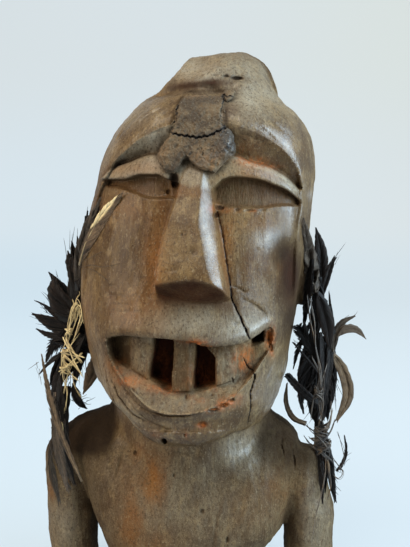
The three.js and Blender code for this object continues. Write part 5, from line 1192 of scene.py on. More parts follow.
def lifted(p, gap):
    """Points pushed out along the surface normal where they come closer than the gap."""
    for _ in range(3):
        d, g = gradient(form, p)
        low = d < gap
        if not low.any():
            break
        p[low] += (g / np.maximum((g * g).sum(1), 0.2)[:, None] * (gap - d)[:, None])[low]
    return p


class Strips:
    """Collects tapered ribbons, each a closed thin prism, with values painted on their points."""

    def __init__(self):
        self.v, self.f4, self.f3, self.val, self.n = [], [], [], {"tone": [], "far": [], "stripe": []}, 0

    def add(self, path, width, thick, face, tone, far=None, stripe=None):
        """path (B, S+1, 3); width and thick (B, S); face is the (B, 3) or (B, S+1, 3) direction the flat side looks to."""
        B, S1, _ = path.shape
        S = S1 - 1
        if face.ndim == 2:
            face = face[:, None, :].repeat(S1, 1)
        tang = np.empty_like(path)
        tang[:, 1:-1] = path[:, 2:] - path[:, :-2]
        tang[:, 0], tang[:, -1] = path[:, 1] - path[:, 0], path[:, -1] - path[:, -2]
        tang = unit(tang)
        across = unit(np.cross(face, tang))
        up = np.cross(tang, across)
        w, h = width[:, :S, None], thick[:, :S, None]
        c = path[:, :S]
        ring = np.stack([c - across[:, :S] * w, c - up[:, :S] * h, c + across[:, :S] * w, c + up[:, :S] * h], 2)
        per = S * 4 + 1
        pts = np.concatenate([ring.reshape(B, S * 4, 3), path[:, -1:]], 1)
        base = self.n + np.arange(B)[:, None] * per
        q = []
        for i in range(S - 1):
            for k in range(4):
                a, b = i * 4 + k, i * 4 + (k + 1) % 4
                q.append((a, b, b + 4, a + 4))
        q.append((3, 2, 1, 0))
        q = np.array(q)
        t = np.array([(S * 4 - 4 + k, S * 4 - 4 + (k + 1) % 4, S * 4) for k in range(4)])
        self.v.append(pts.reshape(-1, 3))
        self.f4.append((base[:, :, None] + q[None]).reshape(-1, 4))
        self.f3.append((base[:, :, None] + t[None]).reshape(-1, 3))
        self.n += B * per
        if far is None:
            far = np.arange(S1)[None].repeat(B, 0) / S
        if stripe is None:
            stripe = np.zeros((B, S1))
        for k, a in (("tone", np.broadcast_to(tone[:, None] if tone.ndim == 1 else tone, (B, S1))), ("far", far), ("stripe", stripe)):
            self.val[k].append(np.concatenate([a[:, :S].repeat(4, 1), a[:, -1:]], 1).ravel())

    def mesh(self, name, gap=None):
        v = np.concatenate(self.v)
        if gap is not None:
            v = lifted(v, gap)
        # nothing reaches past the outermost feather tips
        out = np.minimum(v[:, 0] + 72.0, 0.0)
        v[:, 0] = np.where(out < 0, -72.0 - 2.3 * (1 - np.exp(out / 2.3)), v[:, 0])
        out = np.maximum(v[:, 0] - 76.0, 0.0)
        v[:, 0] = np.where(out > 0, 76.0 + 2.0 * (1 - np.exp(-out / 2.0)), v[:, 0])
        me = new_mesh(name, v, [np.concatenate(self.f4), np.concatenate(self.f3)])
        for k, a in self.val.items():
            paint(me, k, np.concatenate(a))
        return me


def stripe_zone(p):
    """The cream bar across the striped feather."""
    a, b = np.array([-39.6, 156.6]), np.array([-23.6, 173.0])
    q = np.stack([p[..., 0], p[..., 2]], -1)
    d = b - a
    t = np.clip(((q - a) @ d) / (d @ d), 0, 1)
    e = np.linalg.norm(q - a - t[..., None] * d, axis=-1)
    wide = 0.4 + 1.5 * np.sin(np.pi * np.clip(t, 0.03, 0.97)) ** 0.7
    return ramp(1.15, 0.75, e / wide)


def width_along(w, t):
    """Half width of a vane, from evenly spaced sizes along the shaft."""
    return np.interp(t, np.linspace(0, 1, len(w)), w)


def feather(s, path, left, right, rnd, *, gap=0.30, start=0.04, angle=32, clump=(2.2, 0.2), curl=0.10, ribbon=0.26, quill=0.42,
            tones=(0.1, 0.7), ragged=0.12, behind=False, stripe=None, end=1.0, leaf=0.8, fray=0.3, turn=0.0):
    """One feather on the strips: a quill, its barbs, and the closed part of the vane behind them.

    left and right are the half widths of the vane in mm at even steps from
    the base to the tip, angle is how far the barbs spread from the shaft."""
    n = 28
    P = np.array([(a, -b, c) for a, b, c in path], float)
    C = clear_of_carving(through(P, n), 1.3, behind)
    D = unit(np.gradient(C, axis=0))
    F = np.array([0.0, -1.0, 0.0])
    R = unit(np.stack([D[:, 2], np.zeros(n + 1), -D[:, 0]], 1))
    N = np.cross(D, R)
    N = np.where((N @ F)[:, None] < 0, -N, N)
    # a vane may stand turned about its own shaft
    c, q = math.cos(math.radians(turn)), math.sin(math.radians(turn))
    R, N = R * c + N * q, N * c - R * q
    arc = np.concatenate([[0], np.cumsum(np.linalg.norm(np.diff(C, axis=0), axis=1))])
    total = arc[-1]

    def at(t, A):
        return np.stack([np.interp(t * total, arc, A[:, i]) for i in range(3)], 1)
    # quill: a rounder tube of two crossed ribbons' width
    t = np.linspace(0, 1, 15)
    taper = (1 - 0.8 * t[:-1])[None]
    s.add(at(t, C)[None], quill * taper, quill * 0.8 * taper, at(t, N)[None], np.full(1, tones[1]), far=np.full((1, 15), 0.3), stripe=(np.full((1, 15), 0.35) if stripe else None))
    S = 6
    u = np.linspace(0, 1, S + 1)
    k = 1.0 / math.tan(math.radians(angle))
    for sign, w in ((-1, left), (1, right)):
        tt = np.arange(start * total, total * end, gap) / total
        tt = np.clip(tt + rnd.uniform(-0.3, 0.3, len(tt)) * gap / total, 0, 1)
        B = len(tt)
        t1 = tt.copy()
        for _ in range(3):
            t1 = tt + k * width_along(w, np.minimum(t1, end)) / total
        # barbs hold together in small groups
        size = np.maximum(clump[0] * rnd.uniform(0.5, 1.5, B), 0.5)
        group, g, left_over = np.zeros(B, int), 0, size[0]
        for i in range(B):
            if left_over <= 0:
                g += 1
                left_over = size[i]
            group[i] = g
            left_over -= gap
        ga, gn = rnd.uniform(-1, 1, g + 1), rnd.uniform(-1, 1, g + 1)
        cutb = (1 - ragged * rnd.rand(B) ** 1.5) * (1 - 0.7 * ragged * rnd.rand(g + 1)[group] ** 2)
        wide = width_along(w, np.minimum(t1, end)) * cutb
        t1 = t1 + 0.35 * fray * ga[group] * wide / total
        p0, nn, r0 = at(tt, C), unit(at(tt, N)), unit(at(tt, R))
        tin = np.minimum(t1, 1.0)
        r1, d1 = unit(at(tin, R)), unit(at(tin, D))
        E = at(tin, C) + d1 * ((t1 - tin) * total)[:, None]
        along_ = E - p0
        M = p0 + 0.34 * along_ + sign * (0.55 * r0 + 0.08 * r1) * wide[:, None]
        E = E + sign * r1 * wide[:, None]
        U = u[None, :, None]
        path_ = (1 - U) ** 2 * p0[:, None] + 2 * U * (1 - U) * M[:, None] + U ** 2 * E[:, None]
        lean = (0.10 * np.sin(np.pi * u)[None] + (curl * (0.3 + gn[group] * 0.8))[:, None] * (u ** 1.5)[None]) * wide[:, None]
        path_ = path_ + lean[..., None] * nn[:, None]
        for q in range(g + 1):
            m = group == q
            if m.sum() > 1:
                mid = path_[m].mean(0)
                path_[m] = path_[m] + (mid[None] - path_[m]) * (clump[1] * (u ** 2.2))[None, :, None]
        width = ribbon * (0.75 + 0.5 * rnd.rand(B))[:, None] * (1 - 0.75 * u[:-1] ** 1.5)[None]
        tone = np.clip(tones[0] + (tones[1] - tones[0]) * (0.55 * rnd.rand(g + 1)[group] + 0.45 * rnd.rand(B)), 0, 1)
        s.add(path_, width, np.full((B, S), 0.06), nn + 0.35 * r0 * rnd.uniform(-1, 1, B)[:, None], tone,
              stripe=None if stripe is None else stripe(path_))
    if leaf > 0:
        # the closed part of the vane, where the barbs still hold together
        t = np.arange(n + 1) / n
        wob = 1 + 0.05 * np.sin(np.arange(n + 1) * 1.7 + rnd.uniform(0, 6)) + 0.05 * rnd.uniform(-1, 1, n + 1)
        shut = leaf * wob * np.clip((end - t) * 9 + 0.1, 0, 1)
        wl, wr = width_along(left, t) * shut, width_along(right, t) * shut
        mid = C + R * ((wr - wl) * 0.5)[:, None] - N * 0.30
        if behind is False:
            mid = clear_of_carving(mid, 0.7)
        half = (wl + wr) * 0.5 + 0.03
        s.add(mid[None], half[None, :-1], np.full((1, n), 0.10), N[None], np.full(1, tones[0] + 0.12 * (tones[1] - tones[0])),
              far=np.full((1, n + 1), 0.2), stripe=None if stripe is None else stripe(mid[None]))
    return C


def hairs(s, start, spread, aim, length, count, rnd, *, droop=0.0, curl=0.25, width=0.13, tones=(0.2, 0.6), steps=7, stripe=0.0):
    """Loose separate barbs that leave a small area in about one direction."""
    p0 = np.array([start[0], -start[1], start[2]]) + rnd.normal(0, 1, (count, 3)) * np.array(spread)
    aim = np.array([aim[0], -aim[1], aim[2]], float)
    d = unit(aim + rnd.normal(0, 1, (count, 3)) * curl)
    L = length * rnd.uniform(0.55, 1.1, count)
    turn = rnd.normal(0, 1, (count, 3)) * curl * 0.5
    path = np.empty((count, steps + 1, 3))
    path[:, 0] = p0
    for i in range(steps):
        e = d + turn * (i / steps) * 2
        e[:, 2] -= droop * i / steps
        path[:, i + 1] = path[:, i] + unit(e) * (L / steps)[:, None]
    u = np.linspace(0, 1, steps + 1)[:-1]
    s.add(path, width * (1 - 0.6 * u)[None].repeat(count, 0), np.full((count, steps), 0.06), unit(np.array([0, -1.0, 0]) + rnd.normal(0, 0.4, (count, 3))),
          tones[0] + (tones[1] - tones[0]) * rnd.rand(count), stripe=np.full((count, steps + 1), stripe))


def strand(s, points, width, thick, rnd, tone=0.5, n=22, sway=0.25, twist=1.0, forward=True, stripe=0.0):
    """One flat strip of raffia, or a fibre, through given points (x, v, z)."""
    P = np.array([(a, -b, c) for a, b, c in points], float)
    C = through(P, n)
    k = np.arange(n + 1)
    C = C + sway * np.stack([np.sin(k * rnd.uniform(0.3, 0.7) + rnd.uniform(0, 6)), np.sin(k * rnd.uniform(0.3, 0.7) + rnd.uniform(0, 6)), 0.3 * np.sin(k * 0.5 + rnd.uniform(0, 6))], 1)
    if forward:
        C = clear_of_carving(C, thick + 0.5)
    a = rnd.uniform(0, 6) + twist * np.linspace(0, 3.0, n + 1)
    face = np.stack([np.sin(a) * 0.7, -np.ones(n + 1), np.cos(a) * 0.3], 1)
    taper = np.minimum(1, np.minimum(np.arange(n) + 1.5, n - np.arange(n) + 0.5) / 3)
    s.add(C[None], (width * taper * (0.85 + 0.3 * rnd.rand(n)))[None], (thick * taper)[None], unit(face)[None], np.array([tone]), far=np.full((1, n + 1), 0.2), stripe=np.full((1, n + 1), stripe))


# Each feather: the same shaft as its CAD node (x, v, z), its family, and its style.
FEATHERS = (
    ("left_striped", ((-44.1, 17, 141.8), (-38.5, 23, 154), (-31.2, 30, 164), (-22.4, 38, 171.6)), "brown",
     dict(left=(0.5, 1.0, 1.5, 1.7, 0.4), right=(2.0, 5.6, 6.2, 4.4, 0.5), angle=27, clump=(1.6, 0.45), tones=(0.0, 0.8), curl=0.08, ribbon=0.2, gap=0.22, leaf=0.14, fray=0.8, ragged=0.35, stripe=stripe_zone)),
    ("left_long_dark", ((-47.9, 9, 126.1), (-44.7, 13, 144.8), (-38.7, 20, 158.4), (-33, 27, 169.6)), "grey",
     dict(left=(1, 2.2, 2.6, 2.2, 0.4), right=(1, 2.0, 2.4, 2.0, 0.4), angle=20, clump=(4, 0.3), tones=(0.1, 0.65), leaf=0.85)),
    ("left_hair_tip", ((-50.4, 5, 125.1), (-48.4, 6, 141.6), (-45.9, 8, 154.8), (-43.4, 10, 166.5)), "black",
     dict(left=(3.2, 3.4, 2.8, 1.2, 0.15), right=(3.0, 3.0, 2.2, 1.0, 0.15), angle=20, clump=(1.6, 0.55), tones=(0, 0.5), ragged=0.45, end=0.86, leaf=0.7, fray=0.8)),
    ("left_upper", ((-50.5, -4, 123.9), (-52.8, -3, 131.7), (-54.8, -2, 140.2), (-56.1, -2, 145.5)), "black",
     dict(left=(2.4, 3.2, 3.4, 2.8, 0.3), right=(2.4, 4.0, 3.8, 2.4, 0.3), angle=26, clump=(2.5, 0.3), tones=(0, 0.45), behind=True, leaf=0.85)),
    ("left_broad_outer", ((-48.6, 7.5, 115.8), (-53.3, 8.5, 122.5), (-57.7, 9, 129), (-59.3, 9, 135.2)), "black",
     dict(left=(5.0, 8.8, 8.6, 5.2, 0.6), right=(3.0, 3.6, 3.2, 2.2, 0.4), angle=38, clump=(2.6, 0.35), tones=(0, 0.7), curl=0.08, leaf=0.8, ragged=0.14, gap=0.26, ribbon=0.32)),
    ("left_spiky", ((-50.2, 5, 110.7), (-58.2, 5.5, 113.4), (-64.9, 5.5, 116), (-70.4, 5.5, 118.1)), "black",
     dict(left=(6.0, 7.0, 6.0, 3.6, 0.6), right=(5.0, 4.8, 3.6, 2.2, 0.5), angle=26, clump=(1.7, 0.7), tones=(0, 0.55), ragged=0.35, leaf=0.66, fray=0.9, gap=0.26)),
    ("left_hanging", ((-52.8, 2, 110.6), (-59.4, 2, 106.8), (-63.6, 2, 102.2), (-66.1, 2, 95.7)), "black",
     dict(left=(5.5, 6.5, 5.0, 3.0, 0.5), right=(3.5, 4.0, 3.4, 2.2, 0.4), angle=28, clump=(1.5, 0.8), tones=(0, 0.45), ragged=0.35, leaf=0.5, fray=0.9)),
    ("left_black_mass", ((-52, -2, 118.6), (-50.9, -2.5, 107.5), (-51.6, -2.5, 96.9), (-54.1, -2.5, 84.7)), "black",
     dict(left=(7.0, 7.5, 4.6, 2.0, 0.5), right=(6.5, 7.5, 6.5, 3.8, 1.0), angle=26, clump=(2.6, 0.35), tones=(0, 0.35), ragged=0.2, leaf=0.9)),
    ("left_soft_grey", ((-43.5, -9, 99.5), (-45.5, -9, 91.5), (-48.6, -9, 84.6), (-52.2, -9, 78.4)), "brown",
     dict(left=(1.0, 2.2, 2.4, 1.6, 0.3), right=(1.6, 4.4, 4.8, 3.0, 0.3), angle=26, clump=(6, 0.15), tones=(0.35, 0.8), behind=True, ribbon=0.22, gap=0.24, leaf=0.9)),
    ("left_shoulder_tuft", ((-57.8, -12, 82.5), (-57.3, -13, 76.6), (-55.6, -14, 72.2), (-52.2, -15, 69.6)), "black",
     dict(left=(1, 3.0, 4.0, 3.0, 0.5), right=(1, 2.0, 2.6, 2.0, 0.3), angle=34, clump=(1.2, 0.3), tones=(0, 0.4), behind=True, ragged=0.4, leaf=0.6, fray=0.8)),
    ("left_lower_strip", ((-54.3, 17, 88.8), (-54.3, 18, 74), (-52.4, 18, 59.8), (-49.1, 18, 45.5)), "black",
     dict(left=(4.6, 3.8, 2.4, 1.2, 0.2), right=(2.8, 2.4, 1.6, 1.0, 0.2), angle=16, clump=(2, 0.5), tones=(0, 0.5), ragged=0.25, leaf=0.85, fray=0.6)),
    ("left_lower_grey", ((-56.3, 21, 81.9), (-55.4, 22, 67.3), (-53.5, 22, 55), (-51.5, 22, 44.8)), "grey",
     dict(left=(1.4, 2.8, 3.4, 2.4, 0.6), right=(1.6, 2.4, 3.0, 2.2, 0.5), angle=14, clump=(1.2, 0.5), tones=(0.25, 0.95), ragged=0.3, leaf=0.55, ribbon=0.2, gap=0.26)),
    ("left_tan_shaft", ((-43.8, 26, 50.0), (-49.8, 26, 64.0), (-56.4, 25, 82.0), (-60.6, 24, 103.4)), "tan",
     dict(left=(0.6, 1.2, 1.7, 1.6, 0.3), right=(0.7, 1.4, 1.8, 1.5, 0.3), angle=14, clump=(1.6, 0.6), tones=(0.0, 1.0), ragged=0.4, leaf=0.55, quill=0.5, fray=0.9)),
    ("right_grey_broad", ((54.2, 1, 128.2), (52.2, 2, 139.6), (49.8, 6, 150.6), (48.0, 12, 161.6)), "grey",
     dict(left=(1.5, 3.9, 4.5, 3.1, 0.35), right=(1.2, 2.9, 3.3, 2.3, 0.3), angle=24, clump=(9, 0.08), tones=(0.3, 0.8), ribbon=0.22, gap=0.24, curl=0.03, ragged=0.04, leaf=0.95, fray=0.05)),
    ("right_second", ((56.3, -4, 128.5), (56.6, -4, 139.1), (56, -4, 148.2), (54.1, -4, 156.5)), "black",
     dict(left=(1.5, 3.2, 3.4, 2.2, 0.3), right=(1.2, 2.8, 3.4, 2.2, 0.3), angle=22, clump=(5, 0.25), tones=(0.2, 0.8), leaf=0.92, ragged=0.08)),
    ("right_short_dark", ((56.9, -1, 127.1), (58.9, -1, 134.4), (61.3, -1, 142.1), (66.9, -1, 150.6)), "black",
     dict(left=(1.0, 1.5, 1.6, 0.3, 0.05), right=(1.0, 1.5, 1.6, 0.3, 0.05), angle=18, clump=(5, 0.4), tones=(0.1, 0.6), end=0.66, quill=0.3, leaf=0.9)),
    ("right_long_dark", ((54.4, 9, 130.1), (56.6, 9, 123.8), (58.8, 9, 115.7), (60.2, 9, 106.3)), "black",
     dict(left=(1.2, 3.0, 3.4, 2.8, 0.6), right=(1.2, 2.8, 3.2, 2.4, 0.6), angle=22, clump=(7, 0.12), tones=(0.05, 0.5), ribbon=0.24, gap=0.25, ragged=0.06, leaf=0.95, fray=0.1)),
    ("right_thin_tip", ((62, 5.5, 111.7), (61.1, 5.5, 118.6), (60.1, 5.5, 125), (59.6, 5.5, 131)), "black",
     dict(left=(0.9, 0.9, 0.8, 0.5, 0.1), right=(0.9, 0.9, 0.8, 0.5, 0.1), angle=12, clump=(5, 0.5), tones=(0, 0.4), end=0.9, leaf=0.8)),
    ("right_curl", ((62, 2, 103.1), (62.7, 2, 110.2), (65.6, 2, 115.9), (71.1, 2, 119.1)), "grey",
     dict(left=(1.2, 1.9, 2.1, 1.5, 0.4), right=(1.2, 1.8, 1.9, 1.3, 0.3), angle=24, clump=(2, 0.5), tones=(0.1, 0.8), leaf=0.75, ragged=0.25, fray=0.6)),
    ("right_curl_branch", ((63.3, 6, 110.5), (66.6, 6, 114), (71.6, 6, 113.7), (75.5, 6, 109.9)), "grey",
     dict(left=(0.4, 1.7, 1.9, 1.2, 0.1), right=(0.4, 1.6, 1.8, 1.2, 0.1), angle=20, clump=(8, 0.1), tones=(0.55, 1.0), gap=0.22, ribbon=0.2, ragged=0.04, leaf=0.95, fray=0.05)),
    ("right_comb", ((56, 4, 99), (52.4, 4, 105.1), (48.5, 4, 111.6), (44.6, 4, 117.2)), "black",
     dict(left=(2.5, 3.6, 3.4, 2.4, 0.6), right=(4.0, 6.4, 6.4, 4.0, 0.8), angle=34, clump=(1.5, 0.9), tones=(0, 0.3), gap=0.3, ribbon=0.24, ragged=0.35, leaf=0.22, fray=0.7)),
    ("right_stem_upper", ((57, 11, 93.3), (53.1, 11, 98.8), (48.4, 11, 104.3), (44.2, 11, 109.3)), "black",
     dict(left=(0.5, 0.5, 0.5, 0.4, 0.2), right=(0.5, 0.5, 0.5, 0.4, 0.2), angle=12, clump=(2, 0.6), tones=(0, 0.4), leaf=0.9, end=0.95)),
    ("right_stem_lower", ((55.6, 8, 81.1), (50, 8, 85.8), (45.3, 8, 90.5), (41.4, 8, 95.2)), "black",
     dict(left=(2.2, 2.1, 1.9, 1.5, 0.8), right=(2.2, 2.1, 1.9, 1.5, 0.8), angle=20, clump=(3, 0.5), tones=(0, 0.4), leaf=0.9)),
    ("right_curved_tan", ((50.8, 4, 71.3), (45.1, 4, 73.8), (42, 4, 80.9), (42.3, 4, 88.9)), "tan",
     dict(left=(1.2, 1.2, 1.2, 1.0, 0.3), right=(1.2, 1.2, 1.2, 1.0, 0.3), angle=14, clump=(4, 0.4), tones=(0.3, 0.8), leaf=0.92)),
    ("right_dark_mass", ((57.3, 0, 107), (56.2, 0, 96.3), (55.5, 0, 85.6), (57, 0, 74.8)), "black",
     dict(left=(5.0, 6.0, 5.4, 4.4, 2.0), right=(4.5, 8.6, 8.0, 4.8, 2.2), angle=26, clump=(2, 0.5), tones=(0, 0.35), ragged=0.3, leaf=0.82, fray=0.7, gap=0.26)),
    ("right_dark_rear", ((60.2, -5, 108.8), (61.2, -5, 97.1), (61, -5, 84.4), (59.9, -5, 72.5)), "black",
     dict(left=(2.5, 3.2, 3.6, 3.0, 1.4), right=(3.0, 4.8, 5.2, 4.6, 2.2), angle=22, clump=(3, 0.5), tones=(0, 0.4), leaf=0.9, fray=0.5)),
    ("right_broad_brown", ((61.4, -2.2, 102.2), (66.8, -2.2, 93.8), (69.2, -2.2, 82.7), (64.6, -2.2, 71.7)), "brown",
     dict(left=(1.2, 2.4, 2.7, 2.4, 0.7), right=(1.2, 2.4, 2.7, 2.4, 0.7), angle=20, clump=(9, 0.08), tones=(0.4, 0.95), gap=0.24, ribbon=0.22, ragged=0.04, leaf=0.95, fray=0.05)),
    ("right_tail", ((60.1, 3, 60.1), (61.5, 3, 53.3), (62.5, 3, 45.2), (64, 3, 37)), "black",
     dict(left=(2.2, 2.4, 2.2, 1.8, 0.6), right=(2.2, 2.4, 2.2, 1.8, 0.6), angle=20, clump=(1.6, 0.7), tones=(0, 0.45), ragged=0.35, leaf=0.75, fray=0.9)),
    ("right_hook", ((64, 7.5, 51.8), (66.4, 7.5, 55.1), (68, 7.5, 60.9), (67.1, 7.5, 68)), "black",
     dict(left=(0.9, 1.0, 1.0, 0.7, 0.2), right=(0.9, 1.0, 1.0, 0.7, 0.2), angle=24, clump=(1.2, 0.7), tones=(0, 0.5), ragged=0.4, leaf=0.6, fray=0.8)),
)

